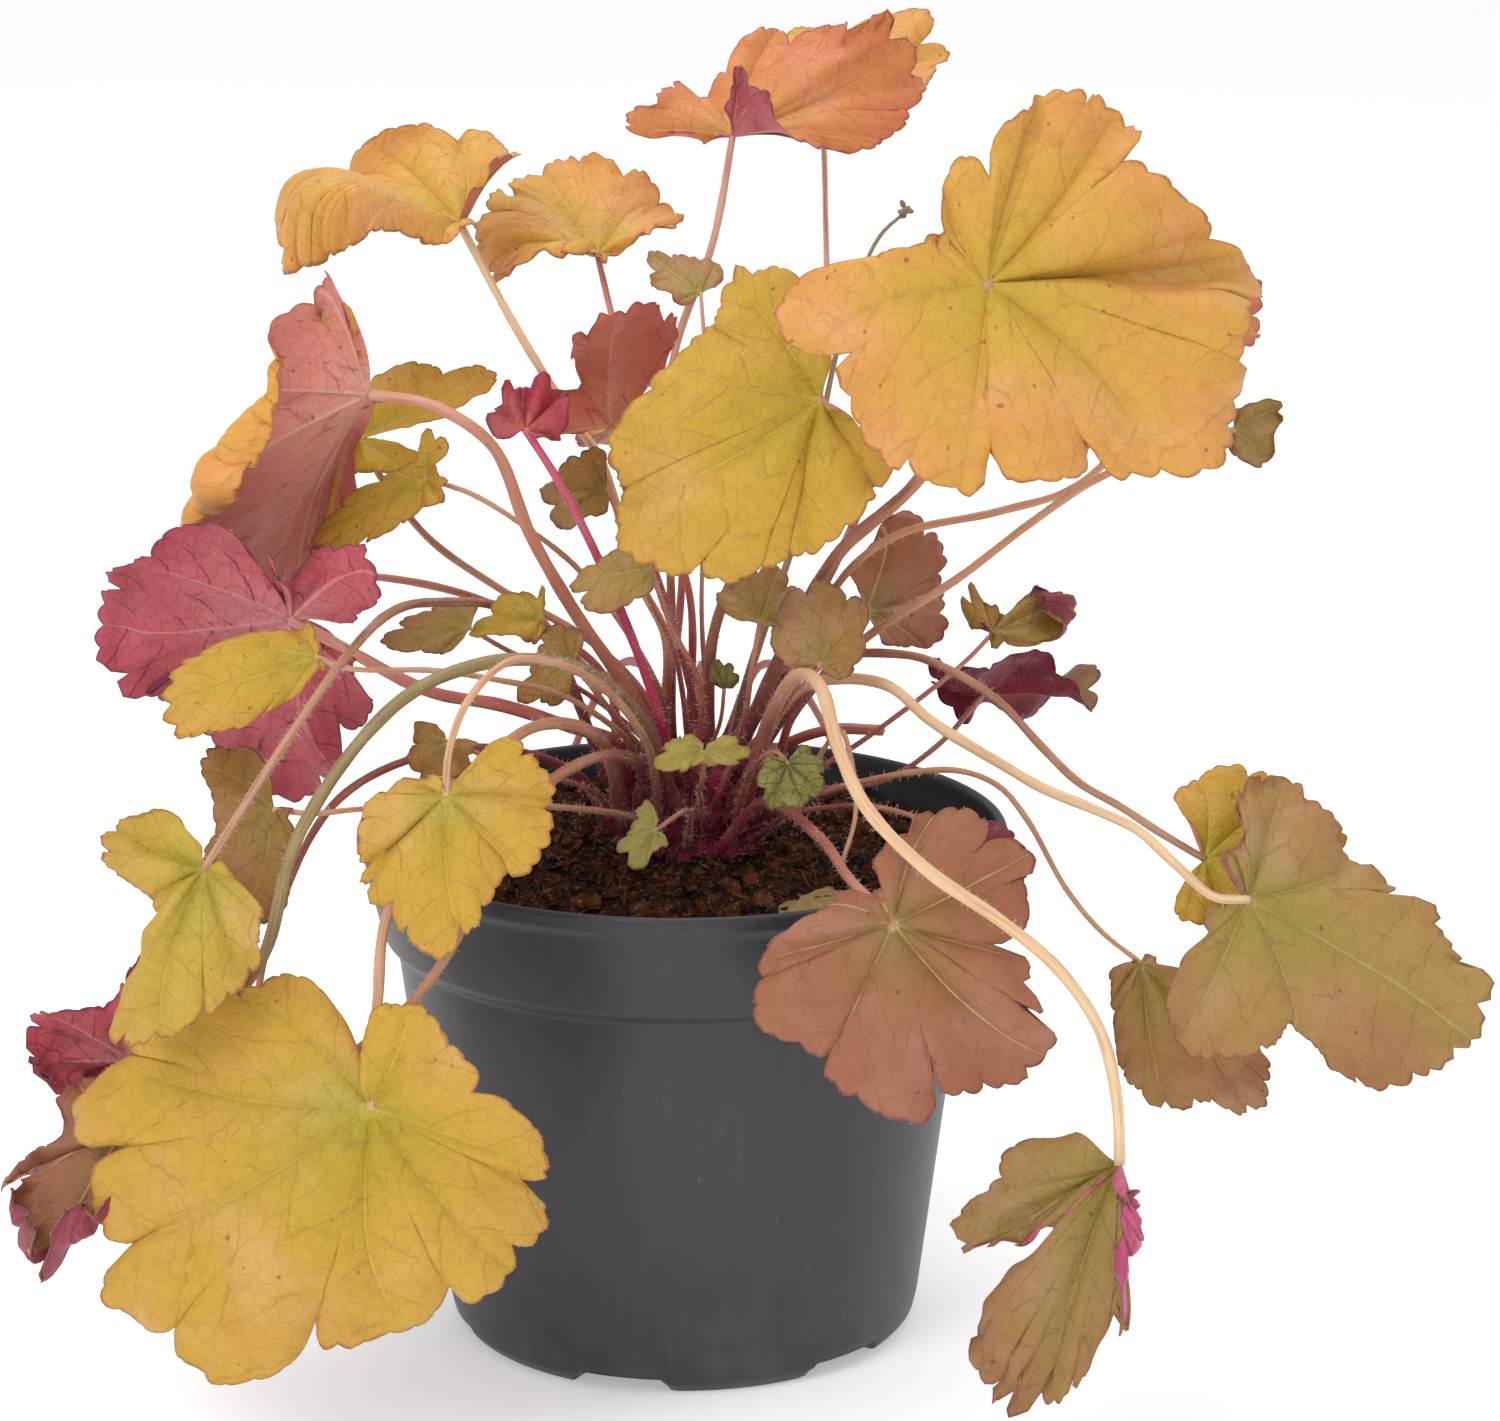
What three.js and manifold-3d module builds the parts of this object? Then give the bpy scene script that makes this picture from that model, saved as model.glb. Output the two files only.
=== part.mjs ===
// A heuchera in its nursery pot: the pot, the compost, the crown and every leaf on its own stalk.
// Millimetres, +Z up. The origin is the middle of the pot's base, on the floor.
import * as THREE from "three";
import { mergeVertices } from "three/addons/utils/BufferGeometryUtils.js";
import Module from "manifold-3d";

const wasm = await Module();
wasm.setup();

// ---------------------------------------------------------------- driving dimensions
const FIT = 0.35; // clearance between a stalk and its hole, and between compost and pot
const BLADE = 0.7; // thickness of a leaf blade

const POT = {
  height: 135,
  rimRadius: 85,
  wallFoot: 62.4, // outer wall radius where the rounded foot ends
  wallHead: 74.8, // outer wall radius just under the rim band
  bandFoot: 78.4, // outer wall radius at the step where the rim band begins
  bandBottom: 107.5,
  bandStep: 3, // height of that step
  lipHeight: 4, // of the rolled rim, and how far it stands out from the band and is rounded off
  lipOut: 1.7,
  lipRound: 0.6,
  lipWall: 2.2,
  wall: 1.4,
  floor: 2.2,
  restRadius: 58.4,
  footHeight: 8, // the rounded foot: its height, and the bend half-way up it
  footBend: 1.1,
  footBendHeight: 3.2,
  footFillet: 2.5,
  sides: 36,
};
const NOTCH = { count: 6, spread: 24, height: 4.5, taper: 1.5, inner: 48, below: 1, first: 15 };
const COMPOST = { edge: 123.5, mound: 4.5, moundRadius: 40, rings: 4, crumb: 0.9, spill: 2.2 };
const CROWN = { x: 2, y: 5, z: 127, radius: 19, rise: 25, root: 11, seats: 64, lowest: 84, turn: 265 };
const KNOB = { height: 0.04, hollow: 0.03 }; // how knobbly the crown is, as shares of its size
const BUD = { length: 8, radius: 2.2, tip: 0.5, sunk: 3, lift: 2, lowest: 0.3, sides: 4, step: 5 };
const STALK = { sunk: 4, straight: 4, lean: 0.5, crowding: 1.3, taper: [1.25, 1, 1, 0.5] };
const HEART = 6; // height above the compost's edge of the point that the stalks fan out from
const SHOULDER = { turn: 24, fall: 0.6, places: [0.4, 1] }; // the blade beside the stalk's notch
const SINUS = { depth: 0.2, power: 2.5 }; // the dip of the edge between two lobes
const BEND = { power: 1.5, parts: 12 }; // how the bend of a spoke grows along it
const EVEN = { shares: [0.62, 0.8, 0.95, 1, 0.95, 0.8, 0.62], turn: 47, rise: 4 };
const SEED_HEAD = [0.8, 0.8, 1.6]; // a dried flower head's shape

// How finely each size of leaf is drawn: where the spokes stand between the middles of two lobes,
// the rings as shares of a spoke, and the sides of the stalk and the length of a step along it.
const LARGE = { spokes: [0.2, 0.5, 0.8], rings: [0.55, 1], sides: 5, step: 22, wave: 1.6 };
const MEDIUM = { spokes: [0.2, 0.5, 0.8], rings: [0.6, 1], sides: 4, step: 24, wave: 1.2 };
const SMALL = { spokes: [0.25, 0.75], rings: [0.6, 1], sides: 4, step: 26, wave: 0.9 };

// colour, roughness
const LOOK = {
  pot: ["#3b3b40", 0.42],
  compost: ["#3a2618", 0.95],
  crown: ["#8c2140", 0.7],
  gold: ["#dba24a", 0.5],
  yellow: ["#d3ae3f", 0.5],
  lime: ["#b5a33f", 0.5],
  salmon: ["#c0685a", 0.55],
  burgundy: ["#96384a", 0.55],
  brown: ["#a56c4c", 0.55],
  olive: ["#a58a48", 0.55],
  green: ["#8d9a3d", 0.55],
  straw: ["#a98e68", 0.8],
};

// ---------------------------------------------------------------- the leaves
// at: where the stalk meets the blade. along: from there towards the leaf's tip. face: out of its
// upper side. lobes: [angle from the tip, length, rise, curl] in degrees and millimetres, where
// rise is the slope at which a lobe leaves the stalk and curl its turn from there to the edge.
// via: the points that the stalk passes on its way from the crown. stalk: its radius.
const LEAVES = [
  {
    name: "front_left", size: LARGE, look: "yellow", stalk: 1.7,
    at: [-73, -112, 96], along: [-0.46, -0.27, -0.85], face: [-0.1, -0.93, 0.35],
    lobes: [
      [-108, 40, 0, -10], [-63, 76, 0, -20], [-28, 82, 0, -15], [0, 76, 0, -20],
      [29, 56, -5, -25], [80, 52, -5, -30], [112, 36, 0, -25], [172, 32, 12, 10],
    ],
    via: [
      [-20, -36, 167], [-31, -50, 175], [-41, -62, 174], [-58, -80, 156], [-70, -94, 139],
      [-72, -105, 121],
    ],
  },
  {
    name: "rim_left", size: MEDIUM, look: "yellow", stalk: 1.2,
    at: [-55, -98, 170], along: [-0.07, -0.36, -0.93], face: [0, -0.93, 0.36],
    lobes: [
      [-106, 12, 0, 10], [-58, 25, 0, -15], [-30, 31, 0, -15], [0, 39, 0, -15], [27, 26, 0, -10],
      [61, 28, 0, -15], [100, 24, 0, -15], [136, 20, 5, 5],
    ],
    via: [
      [-8, -34, 164], [-18, -52, 184], [-30, -68, 195], [-41, -80, 198], [-50, -91, 191],
      [-54, -97, 181],
    ],
  },
  {
    name: "left_lime", size: MEDIUM, look: "lime", stalk: 1.4,
    at: [-113, -100, 152], along: [-0.43, -0.42, -0.8], face: [-0.1, -0.85, 0.5],
    lobes: [
      [-108, 24, 15, 25], [-72, 25, 10, 10], [-38, 20, 0, 0], [-3, 46, -5, -15],
      [30, 32, 0, -15], [66, 23, -5, -25], [106, 10, 0, -10],
    ],
    via: [
      [-36, -6, 189], [-46, -10, 195], [-58, -30, 201], [-70, -56, 205], [-81, -82, 198],
      [-98, -96, 175],
    ],
  },
  {
    name: "left_small_yellow", size: SMALL, look: "yellow", stalk: 0.9,
    at: [-88, -70, 197], along: [-0.89, -0.35, -0.27], face: [0.1, -0.75, 0.65],
    lobes: [
      [-106, 8, 0, 10], [-52, 15, 10, 10], [-20, 31, 0, 0], [-4, 39, 0, -25],
      [12, 32, 0, -25], [35, 17, 0, -20], [80, 7, 0, -10],
    ],
    via: [[-15, -27, 166], [-30, -37, 179], [-45, -46, 185], [-61, -56, 190], [-80, -66, 193]],
  },
  {
    name: "left_burgundy", size: LARGE, look: "burgundy", stalk: 1.9,
    at: [-95, -56, 203], along: [-0.98, 0.2, 0.04], face: [0.2, 0.84, 0.5],
    lobes: [
      [-135, 27, 0, -20], [-88, 56, 0, -20], [-67, 51, 0, -10], [-29, 52, 0, -15],
      [6, 48, 0, -15], [30, 41, 0, -10], [64, 32, 0, -20], [104, 21, 0, 10], [154, 27, 0, 0],
    ],
    via: [[-16, -20, 161], [-30, -32, 170], [-45, -40, 177], [-62, -46, 182], [-82, -54, 195]],
  },
  {
    name: "left_brown", size: SMALL, look: "brown", stalk: 1,
    at: [-99, -72, 159], along: [0, -0.51, -0.86], face: [-0.2, -0.84, 0.5],
    lobes: [
      [-138, 25, 20, 20], [-112, 14, 0, 10], [-40, 17, 0, 0], [-2, 29, 0, -15],
      [38, 13, 0, -15], [80, 8, 0, -10],
    ],
    via: [[-10, -30, 144], [-32, -52, 154], [-54, -60, 156], [-77, -68, 158], [-90, -72, 158]],
  },
  {
    name: "far_left_burgundy", size: MEDIUM, look: "burgundy", stalk: 1.9,
    at: [-136, -76, 96], along: [-0.91, -0.32, 0.27], face: [-0.2, 0.9, 0.4],
    lobes: [
      [-86, 12, 0, 0], [-42, 22, 0, 30], [-7, 24, 0, 20], [28, 23, 0, 10], [67, 27, 0, 10],
      [98, 26, 0, 20],
    ],
    via: [
      [-10, -32, 171], [-24, -48, 188], [-44, -62, 194], [-67, -78, 188], [-91, -88, 158],
      [-101, -88, 126], [-117, -82, 106],
    ],
  },
  {
    name: "far_left_brown", size: MEDIUM, look: "brown", stalk: 1.5,
    at: [-136, -95, 83], along: [-0.82, 0.24, -0.51], face: [-0.5, -0.74, 0.45],
    lobes: [
      [-79, 17, 0, 0], [-32, 26, 0, 0], [-4, 38, 0, -10], [19, 53, -10, -30], [44, 27, -10, 0],
      [78, 24, 0, -20],
    ],
    via: [
      [-10, -24, 156], [-19, -44, 165], [-32, -58, 162], [-44, -72, 149], [-53, -82, 131],
      [-65, -90, 115], [-92, -98, 96], [-121, -97, 85],
    ],
  },
  {
    name: "pot_front_brown", size: LARGE, look: "brown", stalk: 1.6,
    at: [52, -95, 137], along: [0.13, -0.29, -0.95], face: [0.06, -0.95, 0.3],
    lobes: [
      [-122, 18, 5, 5], [-80, 34, 0, -20], [-42, 42, 0, -20], [2, 48, 0, -15],
      [46, 49, 0, -20], [80, 24, 0, 0], [106, 37, 0, -15], [141, 35, 0, 0], [167, 29, 0, 5],
    ],
    via: [[21, -30, 149], [35, -56, 147], [42, -78, 143], [48, -90, 140]],
  },
  {
    name: "hanging_right", size: LARGE, look: "olive", stalk: 1.9,
    at: [106, -118, 84], along: [-0.32, -0.13, -0.94], face: [-0.35, -0.9, 0.25],
    lobes: [
      [-62, 30, 0, 0], [-49, 45, 0, -10], [-37, 18, 0, 0], [-18, 56, 0, -10], [-3, 70, 0, -10],
      [8, 60, 0, -15], [24, 42, 0, -25], [48, 20, 0, -30],
    ],
    via: [
      [23, -34, 173], [30, -56, 189], [35, -70, 189], [39, -82, 177], [46, -98, 166],
      [60, -108, 154], [77, -112, 143], [91, -113, 131], [101, -114, 116], [105, -117, 100],
    ],
  },
  {
    name: "right_large", size: LARGE, look: "olive", stalk: 1.6,
    at: [140, -72, 136], along: [0.95, -0.08, -0.32], face: [0.12, -0.82, 0.56],
    lobes: [
      [-119, 32, 10, -10], [-92, 42, 5, -30], [-67, 40, 0, -25], [-50, 34, 0, -10],
      [-35, 57, 0, -20], [3, 68, 0, -20], [21, 47, 0, -10], [68, 25, 0, -10], [101, 32, 10, 0],
      [128, 25, 10, 20],
    ],
    via: [
      [30, -24, 177], [51, -38, 182], [63, -45, 174], [80, -52, 165], [90, -56, 160],
      [103, -62, 156], [113, -66, 152], [122, -72, 145], [131, -76, 138],
    ],
  },
  {
    name: "right_behind", size: MEDIUM, look: "yellow", stalk: 1.3,
    at: [131, -54, 141], along: [0.99, 0.1, 0.08], face: [0.05, -0.86, 0.51],
    lobes: [
      [-118, 17, 0, -10], [-82, 19, 0, -10], [-29, 23, 0, -10], [1, 36, 0, -10],
      [38, 30, 0, -10], [73, 26, 0, -10], [98, 20, 0, 0],
    ],
    via: [
      [31, -14, 181], [57, -24, 186], [67, -30, 184], [80, -36, 177], [91, -40, 166],
      [100, -44, 158], [110, -48, 153], [120, -51, 147],
    ],
  },
  {
    name: "right_low_olive", size: MEDIUM, look: "olive", stalk: 0.9,
    at: [116, -48, 112], along: [0.28, -0.46, -0.84], face: [0.1, -0.86, 0.5],
    lobes: [
      [-69, 10, 0, -10], [-31, 23, 0, -20], [0, 39, 0, -20], [20, 50, 0, -20], [39, 41, 0, -20],
      [76, 26, 0, -10], [116, 21, 0, 0],
    ],
    via: [
      [34, -24, 149], [53, -34, 157], [70, -40, 160], [80, -44, 157], [87, -46, 149],
      [97, -46, 131], [106, -47, 120],
    ],
  },
  {
    name: "top_right_large", size: LARGE, look: "gold", stalk: 1.9,
    at: [74, -72, 289], along: [0.73, -0.22, -0.64], face: [0.05, -0.92, 0.38],
    lobes: [
      [-150, 30, 5, 0], [-126, 49, 0, -15], [-97, 44, 0, -10], [-64, 52, 0, -15],
      [-45, 26, -15, -5], [-27, 51, 0, -15], [2, 68, 0, -20], [36, 65, 0, -25],
      [77, 48, 0, -10], [111, 52, 0, -15], [150, 22, 0, 0],
    ],
    via: [[30, -22, 195], [40, -34, 215], [59, -50, 237], [71, -62, 264]],
  },
  {
    name: "centre_yellow", size: LARGE, look: "yellow", stalk: 1.6,
    at: [35, -52, 257], along: [-0.74, -0.22, -0.64], face: [-0.05, -0.92, 0.38],
    lobes: [
      [-116, 38, 0, -10], [-74, 38, 0, -10], [-32, 50, 0, -20], [-1, 57, 0, -20],
      [25, 50, 0, -15], [46, 48, 0, -10], [66, 40, 0, -15], [104, 30, 0, -10],
    ],
    via: [[8, -8, 186], [15, -12, 208], [24, -20, 233]],
  },
  {
    name: "top", size: MEDIUM, look: "salmon", stalk: 1.3,
    at: [13, 60, 306], along: [0.9, 0.39, 0.18], face: [0.1, -0.6, 0.8],
    lobes: [
      [-66, 14, 10, -10], [-40, 24, 15, -20], [-12, 46, 10, -30], [4, 60, 10, -30],
      [24, 60, 10, -15], [54, 32, 20, -10], [82, 18, 10, 0], [112, 22, 0, 0], [152, 30, 0, -10],
    ],
    via: [[-3, 16, 191], [-4, 24, 224], [-2, 36, 253], [8, 50, 280]],
  },
  {
    name: "behind_centre_light", size: SMALL, look: "olive", stalk: 0.7,
    at: [5, 20, 271], along: [-0.63, 0.67, 0.39], face: [0, -0.5, 0.86],
    lobes: [[-60, 12, 0, 0], [-20, 16, 0, 0], [4, 20, 0, 0], [30, 14, 0, -10], [76, 8, 0, 0]],
    via: [[5, 14, 188], [6, 16, 223], [6, 18, 254]],
  },
  {
    name: "top_behind", size: SMALL, look: "gold", stalk: 1,
    at: [37, 90, 311], along: [0.72, 0.67, 0.17], face: [0.1, -0.35, 0.93],
    lobes: [[-40, 20, 0, 0], [-6, 40, 0, 0], [4, 54, 0, -10], [16, 58, 5, 0], [56, 35, 5, 0]],
    via: [[10, 20, 187], [28, 44, 219], [37, 64, 243], [38, 90, 285]],
  },
  {
    name: "upper_left", size: MEDIUM, look: "gold", stalk: 1.4,
    at: [-56, 10, 290], along: [-0.92, 0.38, 0.08], face: [-0.1, -0.42, 0.9],
    lobes: [
      [-110, 20, 0, -10], [-84, 34, 0, -10], [-58, 46, 0, -10], [-38, 58, 0, -25],
      [-18, 70, 0, -50], [2, 68, -8, -65], [28, 46, -15, -60], [76, 20, 0, -40],
    ],
    via: [[-4, 4, 183], [-11, 6, 198], [-21, 8, 230], [-27, 8, 239], [-41, 8, 262]],
  },
  {
    name: "upper_middle", size: MEDIUM, look: "gold", stalk: 1.1,
    at: [-22, 34, 278], along: [-0.71, 0.61, 0.35], face: [0, -0.5, 0.87],
    lobes: [
      [-120, 22, 0, -20], [-88, 32, 0, -20], [-60, 40, 0, -10], [-33, 46, 0, -10],
      [-3, 42, 0, -20], [34, 30, -10, -50], [80, 20, -5, -50], [130, 14, 0, -20],
    ],
    via: [[2, 12, 192], [-6, 18, 217], [-13, 24, 245], [-18, 30, 262]],
  },
  {
    name: "left_pink", size: LARGE, look: "salmon", stalk: 1.9,
    at: [-77, -30, 254], along: [-0.82, -0.2, -0.53], face: [-0.45, 0.8, 0.4],
    lobes: [
      [-60, 16, 0, 0], [-38, 44, 0, 0], [-24, 60, 0, 20], [-8, 52, 0, 40], [10, 41, 0, 30],
      [38, 30, 0, 20], [75, 34, 0, 10], [114, 34, 0, 10],
    ],
    via: [
      [-7, -2, 157], [-17, -6, 177], [-27, -12, 194], [-38, -18, 216], [-47, -24, 240],
      [-62, -28, 251],
    ],
  },
  {
    name: "left_yellow_behind", size: MEDIUM, look: "yellow", stalk: 1.2,
    at: [-84, 14, 234], along: [-1, 0.1, 0], face: [0, -0.5, 0.86],
    lobes: [
      [-152, 40, 10, 10], [-120, 27, 10, 10], [-64, 25, 0, 0], [-18, 36, 0, -10],
      [8, 40, 0, -20], [48, 14, 0, -20], [112, 12, 0, -20], [154, 26, 0, -20],
    ],
    via: [[-7, -2, 164], [-21, 2, 181], [-47, 6, 196], [-65, 10, 208], [-75, 12, 220]],
  },
  {
    name: "left_yellow_hanging", size: SMALL, look: "yellow", stalk: 0.9,
    at: [-65, -8, 228], along: [-0.83, -0.3, -0.47], face: [-0.1, -0.75, 0.65],
    lobes: [
      [-126, 12, 0, 10], [-60, 9, 10, 10], [-10, 28, 0, 5], [0, 33, 0, -10],
      [22, 22, 0, -20], [60, 9, 0, -20], [110, 8, 0, -20], [160, 8, 0, 0],
    ],
    via: [[-6, -4, 172], [-25, -4, 202], [-41, -6, 216], [-54, -6, 224]],
  },
  {
    name: "middle_salmon", size: MEDIUM, look: "salmon", stalk: 1.1,
    at: [-18, 4, 239], along: [0.19, -0.59, 0.78], face: [-0.31, 0.72, 0.62],
    lobes: [
      [-71, 24, 0, -20], [-39, 23, 0, -10], [-23, 44, 0, -10], [0, 50, 0, -10], [14, 43, 0, -10],
      [50, 14, 0, 0],
    ],
    via: [[0, 6, 178], [-8, 4, 205], [-16, 4, 228]],
  },
  {
    name: "middle_crinkled", size: SMALL, look: "burgundy", stalk: 1.4, wave: [2.4, 7, 0],
    at: [-38, -34, 246], along: [0.58, 0.65, 0.49], face: [0, -0.6, 0.8],
    lobes: [
      [-80, 10, 0, -20], [-25, 17, 10, 10], [12, 19, 10, 10], [50, 16, 30, 0],
      [88, 13, 20, 20], [120, 14, 0, 20],
    ],
    via: [[-4, -24, 165], [-10, -30, 186], [-16, -34, 203], [-22, -34, 217], [-30, -34, 233]],
  },
  {
    name: "middle_dark", size: SMALL, look: "brown", stalk: 0.8,
    at: [-19, -10, 226], along: [-0.98, 0.09, -0.2], face: [-0.21, -0.64, 0.74],
    lobes: [[-80, 14, 0, 10], [-40, 15, 0, 0], [-8, 17, 0, 0], [26, 16, 0, -30], [70, 9, 0, -20]],
    via: [[-2, -6, 183], [-8, -10, 197], [-13, -12, 213]],
  },
  {
    name: "right_upper_small", size: SMALL, look: "olive", stalk: 1.3,
    at: [138, -30, 245], along: [0.93, 0.08, -0.37], face: [0.31, -0.72, 0.62],
    lobes: [[-92, 8, 0, 0], [-52, 12, 0, 0], [0, 12, 0, 0], [50, 14, 0, 0], [100, 9, 0, 0]],
    via: [
      [28, -14, 169], [48, -27, 192], [58, -32, 200], [70, -36, 209], [87, -38, 223],
      [103, -38, 234], [124, -34, 242],
    ],
  },
  {
    name: "behind_top_right", size: MEDIUM, look: "salmon", stalk: 1.2,
    at: [125, -20, 276], along: [0.8, 0.6, 0.06], face: [0.4, -0.6, 0.7],
    lobes: [
      [-130, 18, 0, 0], [-90, 20, 0, 0], [-44, 22, 0, 0], [-2, 25, 0, 0], [38, 27, 0, 0],
      [82, 22, 0, 0], [126, 16, 0, 0],
    ],
    via: [
      [30, -10, 184], [44, -26, 210], [56, -30, 219], [80, -28, 224], [100, -24, 230],
      [118, -20, 250],
    ],
  },
  {
    name: "right_waved_upper", size: SMALL, look: "brown", stalk: 0.8, wave: [2.4, 5, 0],
    at: [79, -22, 191], along: [0.99, 0.12, -0.05], face: [0.1, -0.45, 0.89],
    lobes: [
      [-110, 8, 0, 0], [-50, 9, 0, -20], [0, 24, 10, -35], [24, 19, 20, 0], [60, 11, 5, 5],
      [120, 11, 10, 20],
    ],
    via: [[36, -16, 154], [48, -18, 163], [71, -20, 182]],
  },
  {
    name: "right_waved_lower", size: MEDIUM, look: "burgundy", stalk: 0.9, wave: [2, 5, 0],
    at: [78, -2, 170], along: [0.98, -0.17, 0], face: [0.1, 0.5, 0.86],
    lobes: [
      [-130, 20, 0, 10], [-100, 22, 0, 10], [-60, 28, 0, 10], [-28, 34, 0, -20],
      [4, 30, 10, 20], [50, 14, 0, -20], [120, 12, -10, -20], [160, 16, 0, 10],
    ],
    via: [[38, 0, 144], [52, 0, 146], [67, -2, 157]],
  },
  {
    name: "middle_brown", size: SMALL, look: "brown", stalk: 1.4,
    at: [35, -50, 190], along: [0, 0.43, 0.9], face: [-0.05, -0.9, 0.43],
    lobes: [
      [-112, 8, 0, 0], [-70, 12, 0, -10], [-39, 19, 0, -20], [-3, 23, 0, -20], [24, 20, 0, 0],
      [65, 14, 0, -20], [100, 8, 0, 0],
    ],
    via: [[21, -16, 163], [27, -32, 177]],
  },
  {
    name: "middle_brown_right", size: MEDIUM, look: "brown", stalk: 1.3,
    at: [47, -20, 196], along: [0.63, 0.43, 0.65], face: [0.2, -0.9, 0.4],
    lobes: [
      [-94, 12, 0, -20], [-67, 21, 0, -10], [-32, 22, 0, -10], [-7, 28, 0, -20], [18, 29, 0, 0],
      [48, 14, 0, 0],
    ],
    via: [[28, -2, 163], [34, -7, 173], [42, -12, 186]],
  },
  {
    name: "under_centre_right", size: SMALL, look: "olive", stalk: 0.9,
    at: [20, -36, 197], along: [0.1, 0.66, 0.75], face: [0, -0.75, 0.66],
    lobes: [[-76, 9, 0, -20], [-42, 14, 0, -10], [-10, 17, 0, 0], [24, 16, 0, 0], [56, 14, 0, -20]],
    via: [[16, -22, 168], [18, -32, 184]],
  },
  {
    name: "under_centre_left", size: SMALL, look: "olive", stalk: 0.9,
    at: [-7, -44, 213], along: [-0.97, -0.09, -0.23], face: [-0.1, -0.7, 0.7],
    lobes: [[-100, 6, 0, 0], [-40, 11, 5, 0], [-8, 21, 0, -20], [18, 19, 0, -20], [60, 9, 0, -20]],
    via: [[5, -26, 178], [-2, -36, 196]],
  },
  {
    name: "left_curled", size: SMALL, look: "lime", stalk: 0.9, wave: [2, 5, 0],
    at: [-35, -22, 195], along: [-0.98, -0.25, -0.18], face: [-0.1, -0.6, 0.8],
    lobes: [
      [-113, 8, 20, 20], [-78, 8, 20, 20], [-45, 12, 10, 0], [-12, 19, 0, -10], [20, 10, 0, -20],
      [70, 6, 0, -10],
    ],
    via: [[-6, -12, 157], [-16, -18, 173], [-28, -20, 186]],
  },
  {
    name: "left_violet", size: SMALL, look: "olive", stalk: 0.8,
    at: [-54, -12, 190], along: [-0.99, -0.04, -0.14], face: [-0.1, -0.55, 0.83],
    lobes: [[-100, 9, 10, 10], [-56, 11, 0, 0], [-20, 17, 0, 10], [0, 23, 0, -10], [36, 10, 0, -20]],
    via: [[-4, -3, 151], [-18, -8, 167], [-35, -11, 179], [-46, -12, 185]],
  },
  {
    name: "left_dark", size: SMALL, look: "brown", stalk: 1,
    at: [-27, -33, 186], along: [-0.8, -0.16, -0.58], face: [-0.21, -0.83, 0.52],
    lobes: [
      [-140, 9, 10, 0], [-94, 12, 0, 0], [-47, 10, 0, 0], [-5, 17, 0, -20], [24, 12, 0, -20],
    ],
    via: [[-4, -12, 150], [-14, -20, 165], [-22, -31, 179]],
  },
  {
    name: "crown_green", size: SMALL, look: "green", stalk: 0.8,
    at: [27, -52, 165], along: [0.1, -0.5, -0.86], face: [0, -0.86, 0.51],
    lobes: [
      [-110, 6, 0, 0], [-66, 9, 0, -10], [-28, 12, 0, -10], [7, 12, 0, -10], [45, 11, 0, -10],
      [88, 9, 0, 0], [126, 7, 0, 0],
    ],
    via: [[18, -32, 158], [24, -44, 166]],
  },
  {
    name: "crown_yellow", size: SMALL, look: "yellow", stalk: 0.8,
    at: [6, -44, 166], along: [-0.97, -0.16, -0.16], face: [0, -0.71, 0.71],
    lobes: [
      [-164, 11, 0, 0], [-118, 7, 0, 0], [-48, 9, 0, 0], [0, 13, 0, -10], [50, 5, 0, -10],
      [95, 6, 0, -20], [134, 9, 0, -20],
    ],
    via: [[5, -34, 153], [6, -42, 161]],
  },
  {
    name: "crown_small_green", size: SMALL, look: "green", stalk: 0.7,
    at: [11, -16, 175], along: [-0.15, 0.5, 0.85], face: [0, -0.86, 0.51],
    lobes: [[-58, 5, 0, 0], [-24, 7, 0, 0], [10, 8, 0, 0], [46, 5, 0, 0]],
    via: [[10, -15, 166]],
  },
  {
    name: "compost_green", size: SMALL, look: "lime", stalk: 0.8,
    at: [-6, -56, 149], along: [-0.8, -0.43, -0.42], face: [-0.1, -0.6, 0.8],
    lobes: [[-110, 9, 10, 20], [-50, 8, 0, 0], [-6, 13, 0, -10], [26, 14, 0, -10], [80, 7, 0, 0]],
    via: [[2, -38, 149]],
  },
  {
    name: "back_high_right", size: SMALL, look: "gold", stalk: 1.4, even: [42, -30],
    at: [74, 52, 262], along: [0.6, 0.75, 0.1], face: [0.2, 0.35, 0.9],
    via: [[26, 14, 172], [42, 28, 202], [58, 42, 236]],
  },
  {
    name: "back_high_middle", size: SMALL, look: "yellow", stalk: 1.3, even: [34, -30],
    at: [0, 66, 228], along: [-0.3, 0.9, 0.2], face: [0, 0.3, 0.95],
    via: [[-2, 24, 176], [0, 42, 202]],
  },
  {
    name: "back_low_left", size: SMALL, look: "brown", stalk: 1.4, even: [36, -25],
    at: [-42, 116, 92], along: [-0.35, 0.35, -0.87], face: [-0.2, 0.9, 0.38],
    via: [[-4, 36, 152], [-12, 68, 160], [-22, 96, 150], [-34, 112, 120]],
  },
  {
    name: "back_low_middle", size: SMALL, look: "olive", stalk: 1.4, even: [32, -25],
    at: [6, 122, 74], along: [0, 0.3, -0.95], face: [0, 0.93, 0.35],
    via: [[3, 38, 148], [4, 72, 158], [6, 104, 146], [6, 118, 110]],
  },
  {
    name: "back_low_right", size: SMALL, look: "gold", stalk: 1.3, even: [34, -25],
    at: [48, 112, 96], along: [0.35, 0.35, -0.87], face: [0.2, 0.9, 0.38],
    via: [[12, 36, 150], [20, 66, 160], [30, 92, 150], [42, 108, 124]],
  },
  {
    name: "back_left_middle", size: SMALL, look: "burgundy", stalk: 1.3, even: [30, -20],
    at: [-104, 40, 190], along: [-0.8, 0.5, -0.3], face: [-0.3, 0.5, 0.8],
    via: [[-20, 20, 168], [-50, 30, 186], [-84, 38, 192]],
  },
  {
    name: "low_left_behind", size: SMALL, look: "olive", stalk: 1.3, even: [30, -20],
    at: [-108, -52, 84], along: [-0.4, 0.1, -0.9], face: [-0.8, -0.4, 0.4],
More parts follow.
